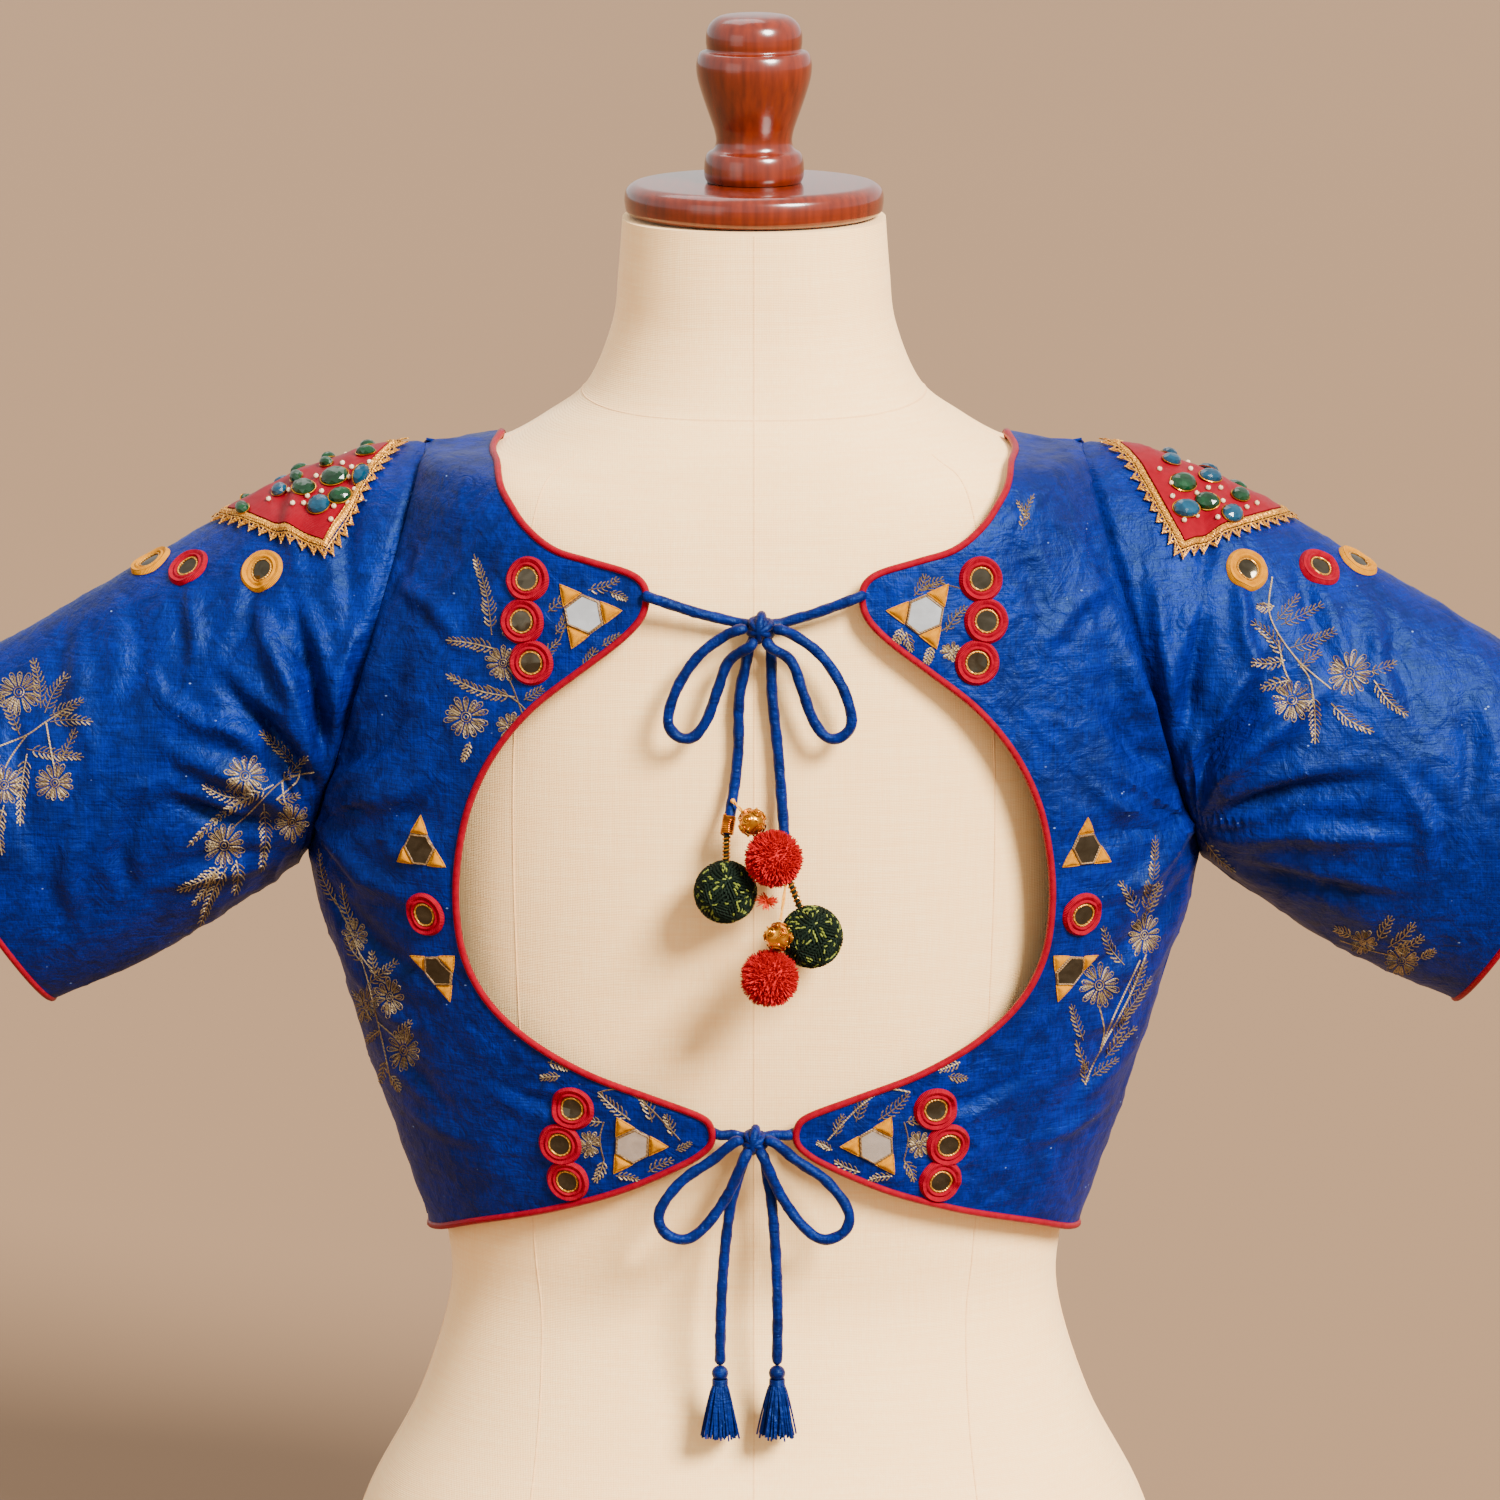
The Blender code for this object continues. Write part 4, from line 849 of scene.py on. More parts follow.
@dataclass(frozen=True)
class SleeveForm:
    """Rings of the right sleeve, from the armhole to the cuff."""
    stations: tuple[SleeveStation, ...] = (
        SleeveStation(SHOULDER[0], SHOULDER[1], UNDERARM[0], UNDERARM[1], .062, .056),
        SleeveStation(.1740, .5840, .2050, .4015, .0630, .058),
        SleeveStation(.2080, .5710, .2160, .3925, .0620, .058),
        SleeveStation(.2470, .5505, .2330, .3815, .0590, .056),
        SleeveStation(.2920, .5245, .2580, .3650, .0540, .051),
        SleeveStation(.3410, .4955, .2850, .3505, .0480, .046),
        SleeveStation(.3950, .4650, .3165, .3370, .0420, .041),
    )

    def point(self, place: float, degrees: float) -> Vector:
        """A point of the right sleeve.

        Args:
            place: 0 at the armhole and 1 at the cuff.
            degrees: Turn from the top; plus is the front.

        Returns:
            The point.
        """
        ring = SleeveStation(*read_table(self.stations, place * (len(self.stations) - 1)))
        turn = math.radians(degrees)
        top = Vector((ring.top_x, 0, ring.top_z))
        under = Vector((ring.under_x, 0, ring.under_z))
        depth = (ring.front if turn > 0 else ring.back) * power(math.sin(turn), 2 / SLEEVE_SQUARENESS)
        return ((top + under) / 2 + (top - under) / 2 * power(math.cos(turn), 2 / SLEEVE_SQUARENESS)
                + Vector((0, depth, 0)))

    def armhole(self, degrees: float, facing: Facing) -> Vector:
        """A point of the armhole seam."""
        return self.point(0.0, degrees * facing.value)


SLEEVE = SleeveForm()
SLEEVE_AXIS = Vector((SHOULDER[1] - UNDERARM[1], 0, UNDERARM[0] - SHOULDER[0])).normalized()


def held_back(point: Vector, slack: float, at_seam: bool) -> Vector:
    """Keeps a point of a body panel short of the sleeve's plane."""
    over = (point - Vector((UNDERARM[0], 0, UNDERARM[1]))).dot(SLEEVE_AXIS) + slack
    return point - SLEEVE_AXIS * max(0.0, over) - SLEEVE_AXIS * (SEAM / 2 if at_seam else 0.0)


# Creases and crinkles


class Crease(NamedTuple):
    """A fold: its line in x and z, its half width, and its depth, positive outwards."""
    line: tuple[Place, ...]
    width: float
    depth: float


def creased(*rows: tuple) -> list[Crease]:
    """Reads a table whose rows are the x and z of each place of the line, the width and the depth."""
    return [Crease(tuple(zip(row[:-2:2], row[1:-2:2])), row[-2], row[-1]) for row in rows]


def crease_heights(points: np.ndarray, creases: Sequence[Crease]) -> np.ndarray:
    """Height that the creases give each point.

    Args:
        points: Points, one a row.
        creases: The creases, on the side x > 0.

    Returns:
        A height for each point.
    """
    flat = np.stack([np.abs(points[:, 0]), points[:, 2]], axis=1)
    total = np.zeros(len(points))
    for crease in creases:
        line = [np.array(spot) for spot in crease.line]
        lengths = [float(np.linalg.norm(b - a)) for a, b in zip(line, line[1:])]
        whole = sum(lengths)
        best = np.full(len(points), 1e9)
        signed = np.zeros(len(points))
        along = np.zeros(len(points))
        passed = 0.0
        for start, end, length in zip(line, line[1:], lengths):
            way = (end - start) / length
            offset = flat - start
            reach = np.clip(offset @ way, 0.0, length)
            gap = offset - reach[:, None] * way
            size = np.linalg.norm(gap, axis=1)
            nearer = size < best
            best = np.where(nearer, size, best)
            cross = way[0] * offset[:, 1] - way[1] * offset[:, 0]
            signed = np.where(nearer, np.sign(cross) * size, signed)
            along = np.where(nearer, (passed + reach) / whole, along)
            passed += length
        taper = np.clip(np.minimum(along * 3.0, (1.0 - along) * 2.2) + 0.12, 0.0, 1.0)
        width = crease.width * (0.42 + 0.25 * taper)
        g = signed / width
        shape = np.exp(-g ** 2) - 0.42 * np.exp(-((g - 1.7) ** 2))
        far = np.exp(-np.maximum(0.0, best - np.abs(signed)) / crease.width)
        total += crease.depth * shape * taper * far
    return total


ARMPIT = (0.198, 0.425)


def pulled(point: Vector, seed: float) -> float:
    """Height of the sharp folds that fan out from the armpit.

    Args:
        point: Where it is read.
        seed: Shifts the pattern.

    Returns:
        The height in metres.
    """
    right, up = abs(point.x) - ARMPIT[0], point.z - ARMPIT[1]
    reach = math.hypot(right, up) + 0.004
    turn = math.atan2(up, right)
    bent = turn * 3.4 + 0.9 * noise.noise(Vector((point.x * 22, seed, point.z * 22)))
    fold = 1 - 2.6 * abs(noise.noise(Vector((bent, seed * 3.1, reach * 9 + (3 if point.y > 0 else 0)))))
    near = math.exp(-((reach - 0.028) / 0.042) ** 2) if reach > 0.028 else reach / 0.028
    lower = 0.3 + 0.7 * min(1.0, max(0.0, (up + 0.012) / 0.020))
    return 0.0034 * (fold - 0.35) * near * lower


NOISE_SHIFTS = ((9.321, -1.531, -7.951), (0, 0, 0), (6.327, 0.167, -2.672))


def noise_offset(point: Vector) -> Vector:
    """Reads three noises, because noise_vector gives other values in each run."""
    return Vector([noise.noise(point + Vector(shift)) for shift in NOISE_SHIFTS])


def crinkle(point: Vector, seed: float) -> float:
    """Small uneven height of crisp silk.

    Args:
        point: Where it is read.
        seed: Shifts the pattern.

    Returns:
        The height in metres.
    """
    shift = Vector((seed, 0.7 * seed, -seed))
    warped = point + noise_offset((point + shift) * 30) * 0.012
    wide = noise.noise((warped + shift) * 34)
    ridge = max(0.0, 1 - abs(noise.noise((warped + shift * 2) * 46)) * 5.0)
    small = max(0.0, 1 - abs(noise.noise((warped - shift) * 92)) * 4.5)
    patchy = 0.45 + 0.9 * abs(noise.noise((point - shift) * 17))
    return 0.0011 * wide + (0.00085 * ridge + 0.00040 * small) * patchy


BACK_CREASES = creased(
    (.196, .428, .172, .404, .150, .398, .0075, .0026), (.193, .400, .165, .372, .140, .362, .0080, -.0022),
    (.186, .372, .162, .342, .142, .336, .0070, .0018), (.182, .470, .168, .492, .158, .520, .0080, .0022),
    (.188, .452, .170, .462, .150, .486, .0070, -.0020), (.180, .438, .160, .440, .142, .456, .0060, .0014),
    (.170, .520, .156, .540, .146, .560, .0060, -.0014), (.160, .540, .140, .530, .126, .512, .0070, .0012),
    (.168, .330, .150, .316, .134, .300, .0060, -.0014), (.160, .300, .140, .290, .118, .286, .0060, .0012),
    (.118, .320, .098, .310, .070, .306, .0055, -.0009), (.112, .560, .122, .540, .128, .520, .0070, -.0010),
)
FRONT_CREASES = creased(
    (.196, .428, .166, .414, .130, .412, .0085, .0030), (.192, .400, .160, .388, .124, .392, .0085, -.0024),
    (.186, .370, .150, .352, .112, .356, .0080, .0020), (.178, .470, .152, .482, .126, .500, .0085, .0024),
    (.182, .448, .150, .452, .116, .466, .0080, -.0022), (.168, .520, .150, .540, .140, .560, .0070, -.0016),
    (.168, .320, .130, .306, .096, .312, .0070, -.0018), (.156, .290, .112, .276, .060, .280, .0070, .0015),
    (.090, .300, .078, .330, .072, .372, .0060, .0016), (.050, .262, .046, .300, .050, .340, .0070, -.0012),
    (.020, .480, .050, .462, .086, .452, .0070, .0012), (.104, .440, .090, .410, .070, .392, .0080, .0014),
)
SLEEVE_CREASES = {
    Side.LEFT: creased(
        (.193, .440, .207, .462, .237, .494, .0075, -.0048),
        (.196, .450, .204, .490, .224, .530, .0080, .0040),
        (.190, .462, .196, .500, .205, .530, .0060, -.0034),
        (.188, .470, .182, .500, .172, .520, .0070, .0024),
        (.200, .430, .225, .448, .262, .462, .0080, .0034),
        (.205, .424, .232, .428, .266, .442, .0070, -.0034),
        (.250, .532, .246, .505, .252, .490, .0060, .0020),
        (.222, .545, .222, .520, .234, .500, .0060, -.0018),
        (.212, .468, .244, .474, .262, .484, .268, .500, .0050, .0020),
        (.278, .525, .272, .500, .280, .480, .0080, -.0016),
        (.300, .510, .300, .480, .292, .450, .0080, .0016),
        (.215, .408, .240, .404, .270, .396, .0060, .0024),
        (.272, .440, .282, .412, .276, .388, .0070, -.0018),
        (.300, .430, .306, .400, .300, .372, .0070, .0016),
        (.330, .480, .326, .440, .316, .400, .0080, -.0014),
        (.350, .470, .346, .440, .330, .400, .0060, .0010),
        (.200, .575, .205, .555, .200, .535, .0060, .0014),
        (.176, .575, .180, .550, .178, .520, .0070, -.0014),
    ),
    Side.RIGHT: creased(
        (.193, .442, .212, .470, .232, .506, .0075, -.0046),
        (.197, .444, .222, .466, .256, .490, .0080, .0040),
        (.190, .462, .193, .496, .200, .528, .0065, -.0032),
        (.186, .476, .180, .510, .176, .540, .0070, .0024),
        (.202, .430, .236, .442, .276, .448, .0075, -.0036),
        (.205, .418, .244, .422, .290, .420, .0070, .0028),
        (.214, .540, .216, .512, .226, .490, .0060, .0020),
        (.240, .540, .250, .510, .262, .488, .0070, -.0020),
        (.276, .520, .276, .494, .290, .470, .0070, .0018),
        (.216, .404, .250, .396, .290, .390, .0060, -.0024),
        (.286, .450, .300, .424, .300, .396, .0070, .0018),
        (.316, .486, .320, .456, .314, .420, .0080, -.0016),
        (.344, .474, .342, .440, .330, .404, .0070, .0012),
        (.196, .572, .200, .550, .196, .530, .0060, -.0014),
    ),
}


class Seat:
    """Outer side of one panel, on which trims are laid."""

    def __init__(self, piece: Piece) -> None:
        """Reads a panel.

        Args:
            piece: The panel.
        """
        mesh = piece.data
        self.tree = BVHTree.FromPolygons([v.co.copy() for v in mesh.vertices],
                                         [tuple(p.vertices) for p in mesh.polygons])

    def find(self, origin: Vector, direction: Vector) -> tuple[Vector, Vector]:
        """Finds where a ray meets the panel.

        Args:
            origin: Start of the ray.
            direction: Its direction.

        Returns:
            The point and the outward direction there.
        """
        point, normal, _, _ = self.tree.ray_cast(origin, direction)
        if point is None:
            point, normal, _, _ = self.tree.find_nearest(origin)
        return point, (-normal if normal.dot(direction) > 0 else normal)

    def lay(self, middle: Vector, normal: Vector, offset: Vector, height: float) -> Vector:
        """Puts a point over the panel.

        Args:
            middle: Middle of the trim, on the panel.
            normal: Outward direction at the middle.
            offset: Offset beside the middle.
            height: Height over the cloth.

        Returns:
            The point.
        """
        hit, _, _, gap = self.tree.ray_cast(middle + offset + normal * 0.02, -normal)
        if hit is None or gap > 0.045:
            hit, _, _, _ = self.tree.find_nearest(middle + offset)
        return hit + normal * height


@dataclass
class Panel:
    """A grid of cloth points that becomes a thin shell.

    Attributes:
        DEPTHS: Places of its two sides in the cloth's thickness.
        FOLDING: Strength of the creases, whose heights stay between LOWEST and HIGHEST.
        ROLL: How far a sewn edge rolls in, on a body panel and on a sleeve.
        grid: Rows of points on the cloth's inner side.
        wrapped: Joins the last column to the first.
    """
    DEPTHS: ClassVar = (0.15, 0.92)
    FOLDING: ClassVar = 1.9
    LOWEST: ClassVar = -0.0095
    HIGHEST: ClassVar = 0.0068
    ROLL: ClassVar = (0.0017, 0.0022)
    ROLL_WIDTH: ClassVar = 0.0030
    grid: list
    wrapped: bool = False
    normals: list = field(default_factory=list)

    def face_outwards(self, inside: Vector) -> None:
        """Works out the outward direction at each point.

        Args:
            inside: A point inside the garment.
        """
        rows, columns = len(self.grid), len(self.grid[0])
        self.normals = []
        for i in range(rows):
            line = []
            for j in range(columns):
                if self.wrapped:
                    across = self.grid[i][(j + 1) % columns] - self.grid[i][(j - 1) % columns]
                else:
                    across = self.grid[i][min(columns - 1, j + 1)] - self.grid[i][max(0, j - 1)]
                down = self.grid[min(rows - 1, i + 1)][j] - self.grid[max(0, i - 1)][j]
                line.append(across.cross(down).normalized())
            self.normals.append(line)
        i, j = rows // 2, columns // 2
        if self.normals[i][j].dot(self.grid[i][j] - inside) < 0:
            self.normals = [[-n for n in line] for line in self.normals]

    def crease(self, creases: Sequence[Crease], seed: float, margin: float, whole: bool = False) -> None:
        """Moves the points along their directions by the creases and the crinkle.

        Args:
            creases: The creases.
            seed: Shifts the crinkle.
            margin: Width of the calm band along the edges.
            whole: Both sides are sewn, not the last column only.
        """
        rows, columns = len(self.grid), len(self.grid[0])
        flat = np.array([tuple(p) for line in self.grid for p in line])
        heights = crease_heights(flat, creases).reshape(rows, columns)
        left = np.zeros((rows, columns))
        top = np.zeros((rows, columns))
        points = flat.reshape(rows, columns, 3)
        left[:, 1:] = np.cumsum(np.linalg.norm(np.diff(points, axis=1), axis=2), axis=1)
        top[1:, :] = np.cumsum(np.linalg.norm(np.diff(points, axis=0), axis=2), axis=0)
        edge = np.minimum(top, top[-1:, :] - top)
        sewn = top
        if not self.wrapped:
            sewn = np.minimum(left, left[:, -1:] - left) if whole else left[:, -1:] - left
            edge = np.minimum(edge, np.minimum(left, left[:, -1:] - left))
        calm = np.clip(edge / margin, 0.0, 1.0)
        for i in range(rows):
            for j in range(columns):
                point = self.grid[i][j]
                height = heights[i, j] * self.FOLDING + crinkle(point, seed) + pulled(point, seed)
                height = max(self.LOWEST, min(self.HIGHEST, height)) * calm[i, j]
                height -= self.ROLL[self.wrapped] * math.exp(-(sewn[i, j] / self.ROLL_WIDTH) ** 2)
                self.grid[i][j] = self.grid[i][j] + self.normals[i][j] * height

    def shell(self, node: str, flip: bool = False) -> Piece:
        """Makes the silk shell in place of its node.

        Args:
            node: The node.
            flip: Makes it on the left side.

        Returns:
            The piece.
        """
        rows, columns = len(self.grid), len(self.grid[0])
        points = []
        for depth in self.DEPTHS:
            for line, normals in zip(self.grid, self.normals):
                points += [point + normal * (CLOTH * depth) for point, normal in zip(line, normals)]
        builder = MeshBuilder(f"silk_{node}", [SILK])
        builder.add(mirror(points) if flip else points, wall_faces(rows, columns, self.wrapped))
        return builder.stand_in("silk", node)


def wall_faces(rows: int, columns: int, wrapped: bool) -> list:
    """Faces of a wall whose inner points come first and outer points second.

    Args:
        rows: Rows of the grid.
        columns: Columns of the grid.
        wrapped: Joins the last column to the first.

    Returns:
        The faces.
    """
    size = rows * columns
    spans = columns if wrapped else columns - 1
    faces = []
    for i in range(rows - 1):
        for j in range(spans):
            k = (j + 1) % columns
            a, b, c, d = i * columns + j, i * columns + k, (i + 1) * columns + k, (i + 1) * columns + j
            faces.append((a, b, c, d))
            faces.append((d + size, c + size, b + size, a + size))
    for j in range(spans):
        k = (j + 1) % columns
        last = (rows - 1) * columns
        faces.append((j, j + size, k + size, k))
        faces.append((last + k, last + k + size, last + j + size, last + j))
    if not wrapped:
        for i in range(rows - 1):
            left, below = i * columns, (i + 1) * columns
            faces.append((left, below, below + size, left + size))
            right, under = left + columns - 1, below + columns - 1
            faces.append((right, right + size, under + size, under))
    return faces


# Cloth panels


class BackRow(NamedTuple):
    """A line across a back panel: its free edge in x and z, and its place on the seam."""
    edge_x: float
    edge_z: float
    armhole: float = 180.0
    side_z: float = UNDERARM[1]


@dataclass
class BackPanel:
    """One of the two back panels, with a rounded free edge and two pointed ends."""
    rows: tuple[BackRow, ...] = (
        BackRow(.1152, .5933, 0),
        BackRow(.1141, .5892, 14),
        BackRow(.1093, .5777, 27),
        BackRow(.1010, .5668, 38),
        BackRow(.0885, .5572, 48),
        BackRow(.0720, .5525, 57),
        BackRow(.0565, .5485, 65),
        BackRow(.0495, .5445, 72),
        BackRow(.0475, .5385, 79),
        BackRow(.0500, .5295, 87),
        BackRow(.0600, .5190, 95),
        BackRow(.0780, .5050, 104),
        BackRow(.0980, .4885, 114),
        BackRow(.1130, .4700, 125),
        BackRow(.1240, .4480, 138),
        BackRow(.1300, .4230, 155),
        BackRow(.1315, .3980, 180),
        BackRow(.1280, .3740, 180, .3850),
        BackRow(.1180, .3545, 180, .3600),
        BackRow(.1005, .3380, 180, .3350),
        BackRow(.0750, .3235, 180, .3120),
        BackRow(.0450, .3125, 180, .2910),
        BackRow(.0240, .3045, 180, .2720),
        BackRow(.0195, .2990, 180, .2560),
        BackRow(.0195, .2935, 180, .2440),
        BackRow(.0220, .2900, 180, HEM_HEIGHT),
    )
    hem: tuple[Place, ...] = ((.0220, .2900), (.0310, .2838), (.0585, .2704), (.0870, .2602),
                              (.1250, .2479), (.1475, HEM_HEIGHT))
    along: int = 160
    across: int = 76
    underarm_row: int = 16
    slack: float = 0.021

    def ends(self, index: int, row: BackRow) -> tuple:
        """Where one row starts and ends on the body.

        Args:
            index: Its number.
            row: The row.

        Returns:
            Level and angle of its edge, level and angle of its seam end, and its place on the armhole.
        """
        level, angle = BODY.place(row.edge_x, row.edge_z)
        if index > self.underarm_row:
            return level, angle, BODY.place(0.12, row.side_z)[0], 0.0, row.armhole
        target = SLEEVE.armhole(row.armhole, Facing.BACK)
        end_level, end_angle = BODY.place(target.x, target.z)
        flat = row.armhole in (0, 180)
        return level, 0.0 if index == 0 else angle, end_level, 0.0 if flat else end_angle, row.armhole

    def grid(self) -> Panel:
        """Works out the smooth grid of the right panel.

        Returns:
            The panel without creases.
        """
        hem = smooth_route([(x, 0, z) for x, z in self.hem], self.across + 1)
        hem_places = [BODY.place(p.x, p.z) for p in hem]
        hem_places[-1] = (hem_places[-1][0], 0.0)
        last = len(self.rows) - 1
        table = [self.ends(index, row) for index, row in enumerate(self.rows)]
        lines = []
        for index in range(self.along + 1):
            place = last * index / self.along
            level, angle, end_level, end_angle, turn = read_table(table, place)
            target = None
            if place <= self.underarm_row:
                target = SLEEVE.armhole(min(180.0, max(0.0, turn)), Facing.BACK)
            else:
                end_level, end_angle = min(end_level, table[self.underarm_row][2]), 0.0
            angle, end_angle = max(0.0, angle), max(0.0, end_angle)
            reached = BODY.point(end_level, -end_angle, True)
            line = []
            pull = max(0.0, (place - last + 7) / 7) ** 2
            for j in range(self.across + 1):
                share = j / self.across
                here_level = level + (end_level - level) * share
                here_angle = angle + (end_angle - angle) * share
                hem_line = hem_places[0][0] + (hem_places[-1][0] - hem_places[0][0]) * share
                here_level += (hem_places[j][0] - hem_line) * pull
                here_angle += (hem_places[j][1] - hem_places[0][1] * (1 - share)) * pull
                point = BODY.point(here_level, -here_angle, True)
                if target is not None:
                    point += (target - reached) * share ** 3
                    point = held_back(point, self.slack * (1 - share), j == self.across)
                line.append(point)
            lines.append(line)
        for point in lines[0]:
            point.y = min(point.y, -SEAM / 2)
        for line in lines:
            line[-1].y = min(line[-1].y, -SEAM / 2)
        panel = Panel(lines)
        panel.face_outwards(Vector((0, 0, 0.42)))
        return panel

    def build(self, side: Side) -> Piece:
        """Makes one back panel.

        Args:
            side: Which one.

        Returns:
            The piece.
        """
        panel = self.grid()
        panel.crease(BACK_CREASES, 1.3 if side is Side.LEFT else 4.1, 0.006)
        return panel.shell(f"back_{side.word}", side is Side.LEFT)


@dataclass
class FrontPanel:
    """The front in one piece, with a round neckline and fullness over the bust."""
    neck_depth: float = 0.5080
    hem_dip: float = 0.0040
    dart: Place = (0.072, 0.400)
    fullness: float = 0.010
    along: int = 124
    across: int = 81
    cad_rows: int = 15
    armhole_rows: int = 8
    slack: float = 0.027

    def neckline(self) -> list[Place]:
        """Places of the front's top edge, from the middle to the shoulder.

        Returns:
            Level and angle of each column.
        """
        corner_x, corner_z = BackPanel().rows[0][:2]
        steps = 240
        places, reach = [], [0.0]
        for k in range(steps + 1):
            turn = math.pi / 2 * k / steps
            z = self.neck_depth + (corner_z - self.neck_depth) * (1 - math.cos(turn))
            places.append(BODY.place(corner_x * math.sin(turn), z))
        places[-1] = (places[-1][0], 0.0)
        points = [BODY.point(level, angle, True) for level, angle in places]
        for before, after in zip(points, points[1:]):
            reach.append(reach[-1] + (after - before).length)
        corner = self.across * 8 // 9
        columns = []
        for j in range(corner + 1):
            wanted = reach[-1] * j / corner
            k = min(steps - 1, int(np.searchsorted(reach, wanted, side="right")) - 1)
            share = (wanted - reach[k]) / max(1e-9, reach[k + 1] - reach[k])
            columns.append(tuple(a + (b - a) * min(1.0, share) for a, b in zip(places[k], places[k + 1])))
        shoulder = BODY.place(*SHOULDER)[0]
        for j in range(corner + 1, self.across + 1):
            share = (j - corner) / (self.across - corner)
            columns.append((places[-1][0] + (shoulder - places[-1][0]) * share, 0.0))
        return columns

    def grid(self) -> Panel:
        """Works out the smooth grid of the whole front.

        Returns:
            The panel without creases.
        """
        neckline = self.neckline()
        shoulder = BODY.place(*SHOULDER)[0]
        hem_level = BODY.place(0.12, HEM_HEIGHT)[0]
        corner = self.across * 8 // 9
        half_lines = []
        for index in range(self.along + 1):
            down = index / self.along
            place = down * self.cad_rows
            target = None
            if place <= self.armhole_rows:
                turn = 180.0 * (place / self.armhole_rows) ** 0.9
                target = SLEEVE.armhole(turn, Facing.FRONT)
                end_level, end_angle = BODY.place(target.x, target.z)
                if index == 0 or turn > 179.9:
                    end_angle = 0.0
            else:
                share = (place - self.armhole_rows) / (self.cad_rows - self.armhole_rows)
                height = UNDERARM[1] + (HEM_HEIGHT - UNDERARM[1]) * share
                end_level, end_angle = BODY.place(0.12, height)[0], 0.0
            reached = BODY.point(end_level, end_angle, True)
            line = []
            for j in range(self.across + 1):
                to_side = j / self.across
                top_level, top_angle = neckline[j]
                side_angle = end_angle + (math.pi / 2 - end_angle) * (1 - to_side)
                rise = top_level - shoulder
                level = max(hem_level, end_level + rise * (1 - down) ** (5 if rise > 0 else 2.5))
                angle = side_angle + (top_angle - math.pi / 2 * (1 - to_side)) * (1 - down) ** 2.5
                point = BODY.point(level, angle, True)
                point.z -= self.hem_dip * (1 - to_side ** 2) * down ** 4
                if target is not None:
                    calm = max(0.0, 1 - index / 12)
                    beyond = max(0.0, (j - corner) / (self.across - corner))
                    point += (target - reached) * (to_side ** 3 * (1 - calm) + beyond ** 3 * calm)
                gap = math.hypot(abs(point.x) - self.dart[0], point.z - self.dart[1])
                point.y += self.fullness * math.exp(-(gap / 0.045) ** 2)
                if target is not None:
                    point = held_back(point, self.slack * (1 - to_side), j == self.across)
                line.append(point)
            half_lines.append(line)
        for j in range(corner, self.across + 1):
            half_lines[0][j].y = SEAM / 2
        for line in half_lines:
            line[-1].y = max(line[-1].y, SEAM / 2)
            line[0].x = 0.0
        panel = Panel([mirror(line[:0:-1]) + line for line in half_lines])
        panel.face_outwards(Vector((0, 0, 0.42)))
        return panel

    def build(self) -> Piece:
        """Makes the front.

        Returns:
            The piece.
        """
        panel = self.grid()
        panel.crease(FRONT_CREASES, 7.7, 0.006, whole=True)
        return panel.shell("front")


@dataclass
class Sleeve:
    """A short set-in sleeve, open at the cuff."""
    along: int = 112
    around: int = 168

    def ring(self, place: float) -> list[Vector]:
        """Points round the right sleeve at a place along it."""
        return [SLEEVE.point(place, (360 * j / self.around + 180) % 360 - 180) for j in range(self.around)]

    def cuff(self) -> Panel:
        """Gives the last two rings of the right sleeve, for its piping.

        Returns:
            A panel with these rings.
        """
        panel = Panel([self.ring(0.98), self.ring(1.0)], wrapped=True)
        panel.face_outwards(Vector((0.32, 0, 0.40)))
        return panel

    def build(self, side: Side) -> Piece:
        """Makes one sleeve.

        Args:
            side: Which one.

        Returns:
            The piece.
        """
        lines = []
        for i in range(self.along + 1):
            place = i / self.along
            line = self.ring(place)
            if i == 0:
                line = [p - SLEEVE_AXIS * (SEAM * 2) for p in line]
            lines.append(line)
        panel = Panel(lines, wrapped=True)
        panel.face_outwards(Vector((0.26, 0, 0.45)))
        panel.crease(SLEEVE_CREASES[side], 2.2 if side is Side.LEFT else 5.9, 0.010)
        return panel.shell(f"sleeve_{side.word}", side is Side.LEFT)


# Dress form


